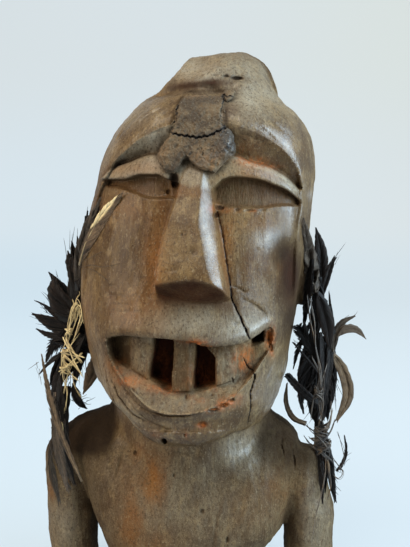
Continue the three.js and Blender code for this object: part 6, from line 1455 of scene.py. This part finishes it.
# Further vanes of the same bunch: feather, shaft, style.
BUNCHED = (
    ("left_upper", ((-47.0, 0, 128), (-50.0, 0.5, 136), (-52.2, 1, 144), (-53.4, 1, 150.5)), dict(left=(2.4, 3.2, 3.0, 2.0, .3), right=(2.4, 3.4, 3.2, 2.0, .3), angle=24, clump=(2.0, .5), tones=(0, .4), ragged=.25, leaf=.82)),
    ("left_hair_tip", ((-46.5, 6, 136), (-46.6, 7, 146), (-44.6, 9, 156), (-42.0, 12, 164)), dict(left=(2.0, 2.6, 2.2, 1.4, .2), right=(2.0, 2.6, 2.2, 1.2, .2), angle=20, clump=(1.6, .5), tones=(0, .5), ragged=.4, leaf=.7, fray=.8)),
    ("left_broad_outer", ((-50.0, 5, 121), (-55.0, 5.5, 128), (-59.6, 6, 133), (-62.6, 6, 137)), dict(left=(3.0, 4.4, 4.2, 2.8, .4), right=(3.0, 4.0, 3.6, 2.2, .4), angle=30, clump=(1.6, .6), tones=(0, .5), ragged=.3, leaf=.7)),
    ("left_spiky", ((-52.0, 4, 113), (-58.6, 4.4, 117.6), (-64.6, 5, 121.6), (-69.4, 5, 124)), dict(left=(2.2, 2.8, 2.4, 1.4, .3), right=(2.2, 2.8, 2.2, 1.2, .3), angle=20, clump=(1.2, .8), ragged=.45, fray=.9, tones=(0, .5), leaf=.6)),
    ("left_hanging", ((-54.0, 4, 102), (-60.0, 4.5, 99), (-65.0, 5, 95), (-68.4, 5, 90.6)), dict(left=(1.8, 2.6, 2.2, 1.4, .3), right=(1.8, 2.6, 2.2, 1.2, .3), angle=20, clump=(1.2, .8), ragged=.45, fray=.9, tones=(0, .45), leaf=.6)),
    ("right_dark_mass", ((52.0, 2, 116), (49.0, 2.4, 109), (46.6, 3, 102), (45.0, 3, 95.6)), dict(left=(1.0, 1.4, 1.2, .9, .2), right=(1.4, 2.4, 2.4, 1.6, .3), angle=28, clump=(1.3, .8), ragged=.45, fray=.9, tones=(0, .35), leaf=.4)),
    ("right_dark_mass", ((53.0, 3, 98), (50.0, 3.4, 92), (48.4, 4, 84), (49.6, 4, 76)), dict(left=(1.4, 2.2, 2.2, 1.6, .4), right=(1.8, 2.8, 2.8, 1.8, .4), angle=24, clump=(1.4, .7), ragged=.4, fray=.9, tones=(0, .4), leaf=.65)),
    ("left_hanging", ((-50.0, 3, 105), (-56.0, 3.4, 99.6), (-61.0, 3.8, 93), (-63.8, 4, 85.5)), dict(left=(3.2, 4.4, 4.0, 2.4, .4), right=(3.2, 4.0, 3.4, 2.0, .4), angle=26, clump=(1.8, .6), tones=(0, .4), ragged=.25, leaf=.82)),
    ("left_hanging", ((-48.0, 4, 101), (-53.6, 4.8, 95), (-59.2, 5.6, 87.6), (-61.8, 6.4, 78)), dict(left=(3.2, 4.2, 3.8, 2.4, .4), right=(2.8, 3.6, 3.0, 2.0, .4), angle=24, clump=(1.8, .6), tones=(0, .4), ragged=.25, leaf=.82)),
    ("right_tail", ((55.6, 1, 71), (56.4, 2, 61), (57.4, 3, 51), (58.0, 3.4, 40)), dict(left=(1.2, 1.8, 2.0, 1.6, .4), right=(1.6, 2.4, 2.2, 1.6, .4), angle=18, clump=(1.6, .6), ragged=.35, fray=.8, tones=(0, .45), leaf=.75)),
    ("left_black_mass", ((-45.5, 4, 131), (-47.6, 4, 139), (-49.2, 4, 146), (-50.0, 4, 152.5)), dict(left=(2.5, 3.4, 3.0, 2.0, .3), right=(2.5, 3.0, 2.6, 1.6, .3), angle=24, tones=(0, .4), leaf=.85, clump=(2.0, .4))),
    ("left_black_mass", ((-46.0, 3, 125), (-49.8, 3.4, 132), (-53.0, 3.6, 137.5), (-55.6, 4, 141)), dict(left=(3, 4.0, 3.6, 2.4, .3), right=(3, 3.8, 3.4, 2.2, .3), angle=26, tones=(0, .4), leaf=.85, clump=(2.2, .4))),
    ("left_black_mass", ((-46.0, 3, 117), (-52.0, 3.6, 122.5), (-57.6, 3.8, 127), (-62.4, 4, 131)), dict(left=(3.5, 4.6, 4.2, 2.6, .3), right=(3.5, 4.2, 3.6, 2.2, .3), angle=28, tones=(0, .4), leaf=.85, clump=(2.2, .4))),
    ("left_black_mass", ((-46.0, 3, 111), (-53.0, 3.6, 115.5), (-60.0, 4, 119), (-65.6, 4, 121)), dict(left=(3.5, 4.6, 4.0, 2.4, .3), right=(3.5, 4.4, 3.8, 2.2, .3), angle=26, tones=(0, .4), leaf=.85, clump=(2.0, .5))),
    ("left_spiky", ((-46.0, 4, 105), (-53.0, 4.4, 109.5), (-61.0, 5, 113.5), (-68.4, 5, 117)), dict(left=(3.2, 3.8, 3.0, 1.6, .3), right=(3.4, 3.8, 3.0, 1.4, .3), angle=22, clump=(1.4, .7), ragged=.4, fray=.9, tones=(0, .5), leaf=.75)),
    ("left_spiky", ((-45.0, 4, 101), (-51.0, 5, 103), (-57.5, 5.5, 104.6), (-63.6, 5.5, 106.4)), dict(left=(3.2, 4.0, 3.2, 1.8, .3), right=(3.4, 3.8, 3.0, 1.6, .3), angle=24, clump=(1.4, .7), ragged=.4, fray=.9, tones=(0, .5), leaf=.7)),
    ("left_hanging", ((-46.0, 5, 110), (-51.5, 6.5, 102), (-56.0, 8, 93), (-59.5, 9, 82)), dict(left=(3.0, 4.0, 3.8, 2.8, .6), right=(2.8, 3.6, 3.2, 2.2, .5), angle=24, clump=(2.0, .5), tones=(0, .4), leaf=.85)),
    ("left_lower_strip", ((-55.0, 8, 99), (-59.0, 9, 88), (-60.0, 9.5, 76), (-57.0, 10, 63)), dict(left=(2.6, 3.4, 3.2, 2.4, .6), right=(2.6, 3.2, 2.8, 2.0, .5), angle=20, clump=(2.0, .5), tones=(0, .45), leaf=.85)),
    ("left_lower_grey", ((-59.5, 9.5, 84), (-59.5, 10.5, 72), (-56.0, 11.5, 58), (-51.0, 12.5, 45)), dict(left=(1.6, 2.8, 3.2, 2.6, .8), right=(1.6, 2.6, 2.8, 2.2, .6), angle=14, clump=(1.4, .5), tones=(.1, .8), ragged=.3, leaf=.7, ribbon=.2, gap=.26)),
    ("left_lower_grey", ((-60.5, 10, 66), (-61.5, 11, 58), (-60.0, 12, 48), (-57.5, 13, 37)), dict(left=(1.0, 2.0, 2.4, 2.0, .8), right=(1.4, 2.6, 3.0, 2.4, .8), angle=12, clump=(1.2, .5), tones=(.2, .9), ragged=.3, leaf=.35, ribbon=.2, gap=.26)),
    ("right_dark_mass", ((51.6, 0, 148), (51.0, 0, 138), (50.2, 0, 126), (49.4, 0, 113)), dict(left=(2.0, 2.6, 2.6, 2.0, .6), right=(2.0, 2.8, 3.0, 2.2, .6), angle=20, clump=(2.4, .4), tones=(0, .35), leaf=.9)),
    ("right_dark_mass", ((54.6, 1, 136), (55.2, 1.4, 125), (54.0, 2, 114), (51.6, 2, 103)), dict(left=(2.2, 3.2, 3.2, 2.2, .6), right=(2.2, 3.2, 3.4, 2.4, .6), angle=22, clump=(2.2, .5), tones=(0, .35), leaf=.88)),
    ("right_dark_mass", ((57.0, 1.5, 119), (53.6, 2, 111), (50.2, 3, 103), (47.4, 3, 96)), dict(left=(1.8, 2.8, 2.8, 2.0, .4), right=(1.8, 2.6, 2.8, 1.8, .4), angle=26, clump=(1.6, .7), ragged=.3, fray=.8, tones=(0, .35), leaf=.75)),
    ("right_dark_mass", ((60.2, 2, 112), (60.6, 3, 100), (58.8, 4, 87), (56.0, 4, 74)), dict(left=(2.0, 3.2, 3.4, 2.6, .8), right=(2.0, 2.8, 3.0, 2.4, .8), angle=22, clump=(2.2, .5), ragged=.2, tones=(0, .4), leaf=.88)),
    ("right_tail", ((57.0, 1, 72), (58.6, 1.6, 65), (59.6, 2, 57), (59.2, 3, 44)), dict(left=(1.8, 2.4, 2.4, 1.8, .5), right=(1.8, 2.6, 2.6, 1.8, .5), angle=20, clump=(1.8, .6), ragged=.35, fray=.8, tones=(0, .4), leaf=.8)),
    ("left_black_mass", ((-50.0, 1, 112), (-55.0, 1.5, 119), (-58.0, 2, 126), (-58.5, 2, 131)), dict(left=(3, 5, 4.4, 2.6, .4), right=(3, 4, 3.6, 2.4, .4), angle=30, tones=(0, .35), leaf=.85)),
    ("left_black_mass", ((-49.5, 2, 121), (-50.5, 2.5, 128), (-51.2, 3, 135), (-51.0, 3.5, 142)), dict(left=(3, 4.2, 3.8, 2.4, .4), right=(3, 4, 3.4, 2, .4), angle=26, tones=(0, .35), leaf=.85)),
    ("left_black_mass", ((-48.0, 5, 118), (-52.5, 5, 112), (-58.0, 5, 107), (-62.5, 5, 104)), dict(left=(3.5, 5, 4.6, 3, .4), right=(3.5, 5, 4.2, 2.4, .4), angle=28, tones=(0, .35), leaf=.85, clump=(2.0, .5))),
    ("left_black_mass", ((-51.0, 6, 104), (-56.0, 7, 99), (-58.5, 8, 92), (-57.0, 9, 83)), dict(left=(2, 3.2, 3.0, 2.2, .5), right=(2, 2.6, 2.2, 1.6, .4), angle=24, tones=(0, .4), leaf=.85)),
    ("left_spiky", ((-53.0, 6, 108.0), (-58.5, 6.5, 108.6), (-64.0, 6.5, 109.4), (-68.6, 6.5, 111.6)), dict(left=(2.6, 3.0, 2.6, 1.6, .3), right=(2.6, 3.0, 2.4, 1.4, .3), angle=22, clump=(1.2, .8), ragged=.4, fray=.9, tones=(0, .5), leaf=.6)),
    ("right_dark_mass", ((55.5, 3, 104), (51.5, 3.5, 100), (48.6, 4, 94), (48.4, 4, 86)), dict(left=(2, 3.4, 3.2, 2.2, .5), right=(2, 3.4, 3.2, 2.0, .4), angle=26, clump=(1.8, .6), ragged=.3, tones=(0, .35), leaf=.8)),
    ("right_dark_mass", ((56.0, 4, 112), (57.5, 4.5, 104), (58.6, 4.5, 94), (57.4, 4.5, 82)), dict(left=(2, 3.0, 3.2, 2.6, .8), right=(2, 3.4, 3.6, 2.8, .8), angle=22, clump=(2.2, .5), ragged=.25, tones=(0, .4), leaf=.85)),
    ("right_dark_mass", ((54.0, 1, 88), (53.0, 1.5, 81), (54.5, 2, 74), (57.5, 2, 68)), dict(left=(2, 3.0, 3.0, 2.4, .8), right=(2, 3.4, 3.4, 2.4, .8), angle=24, clump=(2.0, .5), ragged=.3, tones=(0, .4), leaf=.85)),
    ("right_dark_rear", ((57.0, -6, 134), (55.5, -6, 127), (56.5, -6, 120), (58.5, -6, 112)), dict(left=(1.5, 2.4, 2.6, 2.0, .6), right=(1.5, 2.6, 2.6, 2.0, .6), angle=24, tones=(0, .4), leaf=.85)),
    ("right_tail", ((58.6, 2, 66), (59.6, 2.5, 60), (60.5, 3, 54), (61.0, 3, 48)), dict(left=(1.6, 2.0, 2.0, 1.4, .4), right=(1.6, 2.4, 2.2, 1.4, .4), angle=20, clump=(1.6, .6), ragged=.35, fray=.8, tones=(0, .4), leaf=.75)),
)

# Loose barbs that stray from a feather: start, spread, aim, length, number.
STRAYS = {
    "left_striped": (((-41.5, 22, 147.5), (0.8, 0.8, 3.0), (1.0, 0.35, -0.10), 12.0, 7, dict(curl=0.16, droop=0.25, width=0.10, tones=(0.2, 0.5))),
                     ((-43.0, 20, 144.0), (0.8, 0.8, 2.0), (0.75, 0.2, -0.75), 6.0, 9, dict(curl=0.3, droop=0.3, width=0.10)),
                     ((-36.5, 27, 152.0), (1.0, 0.8, 3.0), (0.8, 0.3, 0.5), 8.0, 10, dict(curl=0.2, width=0.11, tones=(0.3, 0.7)))),
    "left_hair_tip": (((-52.0, 6, 146.0), (1.4, 0.8, 4.0), (0.12, 0.1, 1.0), 12.0, 8, dict(curl=0.14, width=0.14, tones=(0.0, 0.4))),),
    "left_broad_outer": (((-58.0, 7, 128.0), (3.0, 1.0, 4.0), (-0.45, 0.0, 1.0), 9.0, 16, dict(curl=0.16, width=0.16, tones=(0.0, 0.4))),
                         ((-62.0, 6, 122.0), (2.0, 1.0, 4.0), (-0.8, 0.0, 0.7), 7.0, 12, dict(curl=0.2, width=0.16, tones=(0.0, 0.5)))),
    "left_spiky": (((-62.0, 5, 115.0), (3.0, 1.0, 2.0), (-1.0, 0.0, 0.35), 8.0, 14, dict(curl=0.15, width=0.16, tones=(0.0, 0.4))),),
    "left_hanging": (((-60.0, 3, 105.0), (3.0, 1.0, 3.0), (-0.55, 0.0, -1.0), 10.0, 18, dict(curl=0.18, width=0.17, tones=(0.0, 0.4))),),
    "left_black_mass": (((-50.5, 2, 112.0), (3.5, 2.0, 8.0), (0.1, 0.0, -1.0), 12.0, 40, dict(curl=0.35, width=0.20, tones=(0.0, 0.3))),
                        ((-53.0, 1, 100.0), (3.0, 2.0, 8.0), (-0.2, 0.0, -1.0), 14.0, 30, dict(curl=0.30, width=0.20, tones=(0.0, 0.3)))),
    "left_lower_strip": (((-55.0, 18, 84.0), (2.4, 1.0, 4.0), (0.15, 0.0, -1.0), 16.0, 14, dict(curl=0.14, width=0.16, tones=(0.0, 0.5))),),
    "left_lower_grey": (((-56.0, 21, 72.0), (2.6, 0.8, 5.0), (0.25, 0.1, -1.0), 18.0, 26, dict(curl=0.12, width=0.15, tones=(0.4, 1.0))),),
    "left_tan_shaft": (((-62.0, 24, 98.0), (1.2, 0.6, 3.0), (-0.45, 0.0, -0.9), 6.0, 8, dict(curl=0.25, width=0.13)),),
    "left_shoulder_tuft": (((-55.0, -10, 74.0), (2.0, 1.0, 2.0), (0.8, 0.0, 0.1), 6.0, 22, dict(curl=0.5, width=0.16, tones=(0.0, 0.3))),),
    "right_grey_broad": (((52.0, 5, 126.0), (1.5, 1.0, 3.0), (-0.5, 0.2, -0.6), 6.0, 12, dict(curl=0.5, width=0.13, tones=(0.2, 0.7))),),
    "right_short_dark": (((62.0, -1, 142.0), (0.6, 0.5, 1.5), (0.5, 0.0, 1.0), 7.0, 5, dict(curl=0.12, width=0.10, tones=(0.1, 0.5))),),
    "right_comb": (((50.5, 5, 108.0), (2.4, 1.0, 5.0), (-0.2, 0.0, 1.0), 9.0, 18, dict(curl=0.25, width=0.15, tones=(0.0, 0.3))),
                   ((51.5, 4, 103.0), (2.0, 1.0, 4.0), (-0.7, 0.0, 0.8), 8.0, 12, dict(curl=0.25, width=0.15, tones=(0.0, 0.3)))),
    "right_dark_mass": (((56.5, 3, 98.0), (3.0, 2.0, 9.0), (0.0, 0.0, -1.0), 15.0, 60, dict(curl=0.30, width=0.20, tones=(0.0, 0.35))),
                        ((55.0, 8, 90.0), (2.5, 1.5, 8.0), (-0.45, 0.1, -1.0), 14.0, 26, dict(curl=0.25, width=0.18, tones=(0.0, 0.5))),
                        ((58.0, 8, 96.0), (2.5, 1.5, 6.0), (0.2, 0.1, -1.0), 16.0, 20, dict(curl=0.25, width=0.16, tones=(0.2, 0.9)))),
    "right_dark_rear": (((60.5, -4, 98.0), (2.0, 1.0, 8.0), (0.0, 0.0, -1.0), 12.0, 20, dict(curl=0.25, width=0.18, tones=(0.0, 0.3))),),
    "right_tail": (((61.0, 4, 54.0), (1.0, 0.8, 5.0), (0.15, 0.0, -1.0), 9.0, 14, dict(curl=0.25, width=0.15, tones=(0.0, 0.4))),
                   ((63.3, 3, 41.0), (0.8, 0.6, 2.0), (0.5, 0.0, -0.6), 4.0, 12, dict(curl=0.5, width=0.14, tones=(0.0, 0.5)))),
    "right_hook": (((66.5, 7, 55.0), (0.8, 0.6, 1.5), (0.3, 0.0, 1.0), 6.0, 7, dict(curl=0.35, width=0.12, tones=(0.1, 0.6))),
                   ((64.5, 7, 53.0), (1.2, 0.6, 1.5), (0.6, 0.0, -0.5), 4.0, 7, dict(curl=0.5, width=0.12, tones=(0.1, 0.6)))),
    "right_curl": (((68.0, 2, 117.5), (1.5, 0.5, 1.0), (0.8, 0.0, 0.6), 4.0, 7, dict(curl=0.4, width=0.12, tones=(0.3, 0.9))),),
    "right_stem_upper": (((49.0, 11, 103.0), (2.0, 0.4, 2.4), (-0.9, 0.0, 0.6), 4.0, 5, dict(curl=0.4, width=0.10)),),
}

# Single long barbs: points (x, v, z) and half width.
LONG_HAIRS = {
    "left_striped": ((((-43.0, 21, 141.0), (-37.0, 28, 142.8), (-30.5, 35, 142.6), (-21.4, 41.5, 144.8)), 0.11),
                     (((-42.6, 21, 140.2), (-36.4, 28, 141.0), (-30.4, 35, 138.8), (-27.0, 38.5, 136.0)), 0.10),
                     (((-42.0, 22, 143.0), (-36.0, 29, 146.4), (-30.0, 35, 149.0)), 0.10)),
    "left_lower_grey": tuple((((-60.5 + 0.9 * k, 17.5, 64.5 - 1.1 * k), (-58.0 + 0.7 * k, 19.0, 57.0 - 0.6 * k), (-54.5 + 0.4 * k, 19.5, 49.5 - 0.3 * k), (-51.0 + 0.2 * k, 19.5, 42.0 + 0.4 * k)), 0.20) for k in range(6)),
}

# family: (name, darkest, lightest, tip, roughness, sheen)
FAMILIES = {
    "black": ("feather_dark", (5, 3, 2), (27, 18, 13), (40, 27, 19), 0.52, 0.02),
    "grey": ("feather_grey", (26, 21, 17), (86, 74, 62), (62, 51, 42), 0.52, 0.06),
    "brown": ("feather_striped", (38, 29, 23), (112, 92, 70), (84, 66, 48), 0.52, 0.08),
    "tan": ("feather_tan", (34, 26, 19), (98, 80, 60), (70, 55, 40), 0.56, 0.05),
}


def make_feathers():
    looks = {k: feather_material("feather_" + k, srgb(*lo), srgb(*hi), srgb(*tip), rough, sheen)
             for k, (_, lo, hi, tip, rough, sheen) in FAMILIES.items()}
    for i, (name, path, family, style) in enumerate(FEATHERS):
        rnd = np.random.RandomState(100 + i)
        s = Strips()
        feather(s, path, rnd=rnd, **style)
        for k, (owner, more_path, more_style) in enumerate(BUNCHED):
            if owner == name:
                feather(s, more_path, rnd=rnd, turn=(-48, -22, 26, 50)[k % 4], **more_style)
        for start, spread, aim, length, count, more in STRAYS.get(name, ()):
            hairs(s, start, [q * 0.7 for q in spread], aim, length * 0.9, int(count * 0.65), rnd, **more)
        for points, width in LONG_HAIRS.get(name, ()):
            strand(s, points, width, 0.07, rnd, 0.25, sway=0.12, twist=0.3)
        me = s.mesh("vane_" + name, gap=0.22)
        o = piece("plume_" + name, me, ["feather_" + name], looks[family])
        o.data.name = "plume_" + name


# ------------------------------------------------------------------ raffia
LEFT_STRANDS = (
    (((-44.3, 18, 117.1), (-45.0, 18.5, 123.1), (-46.7, 19, 124.8), (-48.5, 19, 121.8), (-49.7, 19, 115.7), (-50.4, 18, 108.8)), 0.42, 0.75),
    (((-48.2, 17, 117.0), (-46.8, 18, 123.1), (-45.4, 19, 124.4), (-44.6, 19, 121.8), (-46.0, 19, 115.8), (-49.2, 18, 107.5)), 0.40, 0.9),
    (((-50.2, 18, 118.6), (-48.8, 18, 123.7), (-46.6, 18, 124.9), (-46.0, 18, 122.1), (-48.1, 18, 115.6), (-50.3, 18, 109.9)), 0.34, 0.6),
    (((-53.1, 18, 110.5), (-49.7, 20, 104.4), (-46.8, 21, 99.3), (-44.2, 21, 94.1)), 0.46, 1.0),
    (((-51.8, 18, 110.0), (-48.4, 19.5, 104.9), (-44.1, 20, 99.8)), 0.40, 0.8),
    (((-54.6, 17, 103.9), (-50.2, 20, 101.4), (-44.2, 21, 95.4)), 0.36, 0.7),
    (((-54.1, 17, 100.2), (-49.8, 19, 95.1), (-46.3, 19, 91.6)), 0.36, 0.85),
    (((-51.8, 17, 110.0), (-53.7, 18, 102.6), (-54.7, 17, 95.2)), 0.34, 0.6),
    (((-44.3, 19, 103.9), (-48.8, 21, 100.3), (-53.3, 19, 95.8)), 0.34, 0.7),
    (((-51.3, 18, 107.3), (-47.8, 20, 103.8), (-42.6, 21, 102.2)), 0.32, 0.9),
    (((-55.8, 16, 94.7), (-52.6, 19, 97.4), (-45.5, 20, 100.2)), 0.32, 0.55),
    (((-49.5, 17, 95.3), (-48.7, 18, 89.6), (-44.8, 19, 84.0)), 0.22, 0.35),
    (((-50.9, 16, 97.4), (-52.8, 17, 89.0), (-54.8, 17, 78.7), (-53.0, 20, 66.0)), 0.36, 0.55),
    (((-52.5, 16, 104.0), (-53.6, 18, 94.0), (-51.8, 18, 86.0), (-53.0, 18, 76.0)), 0.30, 0.65),
    (((-46.0, 17, 112.0), (-50.4, 19, 106.0), (-53.0, 18, 101.0), (-50.6, 18, 98.2), (-47.0, 19, 101.4)), 0.34, 0.8),
    (((-48.8, 17, 126.6), (-47.4, 18, 121.0), (-50.6, 18, 114.0), (-52.6, 17, 107.0)), 0.34, 0.5),
    (((-44.9, 15, 130.5), (-47.5, 16, 126.4), (-48.9, 17, 120.2), (-52.0, 17, 112.0)), 0.24, 0.4),
    (((-46.5, 18, 127.0), (-43.2, 19, 122.5), (-44.6, 19, 117.0), (-48.0, 18, 112.0)), 0.20, 0.95),
)
LEFT_WRAPS = ((-51.4, 17.5, 104.2, 2.3), (-52.6, 17.5, 96.4, 2.0), (-50.6, 17, 112.4, 1.7))
RIGHT_STRANDS = (
    (((50.1, 13, 129.4), (51.2, 14, 121.0), (53.0, 14.5, 112.0), (55.2, 15, 101.0), (56.4, 14.5, 88.0), (57.0, 13.5, 77.0)), 0.40, 0.3),
    (((51.2, 13, 128.0), (53.4, 14, 118.0), (54.0, 15, 108.0), (56.4, 14.5, 96.0), (55.8, 14.5, 84.0), (57.8, 13.5, 72.0)), 0.34, 0.5),
    (((52.6, 12, 103.0), (55.6, 14, 95.4), (53.6, 14.5, 86.0), (52.2, 14, 76.4)), 0.40, 0.45),
    (((58.8, 12, 100.0), (56.8, 14, 92.0), (57.4, 14.5, 82.0), (55.0, 14, 72.0)), 0.36, 0.6),
    (((61.8, 11, 80.0), (59.6, 13, 73.4), (56.2, 14, 69.0), (52.0, 13, 67.8)), 0.44, 0.8),
    (((62.8, 11, 76.0), (60.4, 13, 70.4), (57.2, 14, 66.6), (53.0, 13, 64.6)), 0.40, 0.65),
    (((61.0, 12, 84.0), (60.8, 13.5, 76.0), (58.6, 14, 70.6), (54.6, 14, 67.0), (51.4, 13, 69.0)), 0.36, 0.9),
    (((50.4, 12, 73.4), (54.0, 14, 71.0), (58.0, 14.5, 67.0), (60.6, 13, 61.6)), 0.40, 0.5),
    (((51.8, 12, 65.8), (55.8, 14, 63.6), (59.6, 13.5, 60.4), (62.6, 12, 57.0)), 0.36, 0.4),
    (((49.6, 12, 68.6), (53.0, 14, 65.0), (57.0, 14.5, 62.0), (60.0, 13, 57.8), (61.0, 12, 50.4)), 0.34, 0.35),
    (((57.6, 12, 72.0), (60.6, 13, 65.0), (60.2, 13, 57.0), (61.4, 12, 48.0), (60.0, 12, 40.0)), 0.30, 0.45),
    (((58.8, 12, 62.0), (59.0, 13, 54.0), (57.0, 15, 44.0), (55.0, 16, 34.0), (53.6, 16, 24.0)), 0.22, 0.85),
    (((62.0, 10, 59.0), (64.4, 11, 56.0), (66.4, 11, 52.6), (64.8, 11, 50.0), (62.0, 11, 51.6)), 0.28, 0.5),
    (((64.0, 9, 70.0), (66.0, 10, 64.0), (66.8, 10, 57.6), (64.4, 10, 53.0)), 0.22, 0.4),
)
RIGHT_WRAPS = ((57.0, 13.2, 70.6, 3.2), (58.2, 13.0, 65.6, 2.8), (55.4, 13.4, 88.0, 1.8))


def wraps(s, places, rnd, tone, turns):
    """Turns of strip round the bundle: a few tilted rings on top of each other."""
    for cx, cv, cz, r in places:
        for k in range(turns):
            a = np.linspace(0, 2 * np.pi * 1.06, 23)
            rr = r * rnd.uniform(0.82, 1.08)
            tilt, off = rnd.uniform(-1.1, 1.1), rnd.uniform(-1, 1) * r * 0.9
            C = np.stack([cx + rr * np.cos(a), -(cv + 1.0 + rr * 0.8 * np.sin(a)), cz + off + tilt * rr * np.cos(a) + 0.3 * np.sin(3 * a + k)], 1)
            f = np.stack([np.cos(a), -np.sin(a), np.zeros(23)], 1)
            C = lifted(C, 0.5)
            s.add(C[None], np.full((1, 22), rnd.uniform(0.16, 0.36)), np.full((1, 22), 0.11), f[None], np.array([np.clip(tone + rnd.uniform(-0.3, 0.3), 0, 1)]), far=np.full((1, 23), 0.2))


def make_ties():
    looks = {"left": raffia_material("raffia_straw", srgb(138, 116, 74), srgb(208, 188, 140)),
             "right": raffia_material("raffia_grey", srgb(20, 16, 13), srgb(78, 67, 56))}
    for side, strands, turns in (("left", LEFT_STRANDS, LEFT_WRAPS), ("right", RIGHT_STRANDS, RIGHT_WRAPS)):
        rnd = np.random.RandomState(5 if side == "left" else 6)
        s = Strips()
        for pts, width, tone in strands:
            strand(s, pts, width * 0.78, 0.12, rnd, tone, sway=0.10, twist=0.5)
            # a thinner fibre split off along each strip
            strand(s, [(a + rnd.uniform(-0.8, 0.8), b + 0.2, c + rnd.uniform(-0.8, 0.8)) for a, b, c in pts], width * 0.35, 0.08, rnd, np.clip(tone + rnd.uniform(-0.3, 0.3), 0, 1), sway=0.30)
        wraps(s, turns, rnd, 0.6 if side == "left" else 0.3, 3 if side == "left" else 10)
        me = s.mesh("tie_" + side, gap=0.2)
        piece("raffia_" + side, me, ["raffia_tie_" + side], looks[side])


# ------------------------------------------------- camera, floor and light
def make_camera():
    az, el, far, target = math.radians(6), math.radians(6), 330 * MM, Vector((6, 0, 136.5)) * MM
    back = Vector((math.sin(az) * math.cos(el), -math.cos(az) * math.cos(el), math.sin(el)))
    data = bpy.data.cameras.new("camera")
    data.sensor_width = 36
    data.sensor_fit = "AUTO"
    data.lens = 18 / math.tan(math.radians(20))
    data.clip_start, data.clip_end = 0.01, 20
    cam = bpy.data.objects.new("camera", data)
    bpy.context.scene.collection.objects.link(cam)
    cam.rotation_mode = "QUATERNION"
    cam.location = target + back * far
    cam.rotation_quaternion = (-back).to_track_quat("-Z", "Y")
    bpy.context.scene.camera = cam


def make_stage():
    """A pale floor that sweeps up into a backdrop behind."""
    prof = [(-2.2, 0.0)] + [(0.9 + 0.9 * math.sin(a), 0.9 - 0.9 * math.cos(a)) for a in np.linspace(0, math.pi / 2, 17)] + [(1.8, 3.4)]
    v, f = [], []
    for x in (-3.5, 3.5):
        v += [(x, y, z) for y, z in prof]
    n = len(prof)
    for i in range(n - 1):
        f.append((i, i + n, i + n + 1, i + 1))
    me = bpy.data.meshes.new("sweep")
    me.from_pydata(v, [], f)
    me.polygons.foreach_set("use_smooth", [True] * len(me.polygons))
    o = bpy.data.objects.new("floor_and_backdrop", me)
    bpy.context.scene.collection.objects.link(o)
    m = Paint("pale_paper")
    tint = m.noise((900, 900, 900), 1, 0.4)
    x, y, z = m.axes()
    right = m.span(x, -350.0, 450.0)
    low = m.blend(right, srgb(204, 224, 236), srgb(209, 221, 226))
    mid = m.blend(right, srgb(216, 229, 236), srgb(217, 224, 224))
    top = m.blend(right, srgb(216, 224, 226), srgb(218, 224, 218))
    col = m.blend(m.span(z, -5.0, 120.0), low, m.blend(m.span(z, 150.0, 560.0), mid, top))
    col = m.blend(m.mul(tint, 0.3), col, srgb(220, 228, 230))
    m.link(m.blend(tint, srgb(84, 90, 96), srgb(87, 92, 97)), m.bsdf.inputs["Base Color"])
    m.bsdf.inputs["Roughness"].default_value = 0.9
    m.bsdf.inputs["Specular IOR Level"].default_value = 0.1
    m.link(col, m.bsdf.inputs["Emission Color"])
    m.bsdf.inputs["Emission Strength"].default_value = 0.88
    me.materials.append(m.mat)


def light(name, place, aim, size, power, colour):
    data = bpy.data.lights.new(name, "AREA")
    data.shape, (data.size, data.size_y) = "RECTANGLE", size
    data.energy, data.color = power, colour
    o = bpy.data.objects.new(name, data)
    o.location = Vector(place)
    o.rotation_mode = "QUATERNION"
    o.rotation_quaternion = (Vector(aim) - Vector(place)).to_track_quat("-Z", "Y")
    bpy.context.scene.collection.objects.link(o)
    return o


def make_light():
    aim = (0.0, 0.0, 0.14)
    light("window_right", (0.95, -0.28, 0.46), aim, (1.05, 1.00), 45.0, (0.66, 0.85, 1.0))
    light("soft_top", (-0.30, -0.45, 1.00), aim, (0.8, 0.7), 14.0, (1.0, 0.94, 0.82))
    light("fill_left", (-0.9, -0.6, 0.42), aim, (0.7, 0.7), 12.0, (1.0, 0.88, 0.73))
    world = bpy.data.worlds.new("room")
    world.use_nodes = True
    bg = world.node_tree.nodes["Background"]
    bg.inputs[0].default_value = (0.88, 0.88, 0.86, 1)
    bg.inputs[1].default_value = 0.11
    sc = bpy.context.scene
    sc.world = world
    sc.view_settings.view_transform = "Standard"
    sc.view_settings.look = "None"
    sc.view_settings.exposure = 0.0


make_camera()
make_figure()
make_crust()
make_feathers()
make_ties()
make_stage()
make_light()
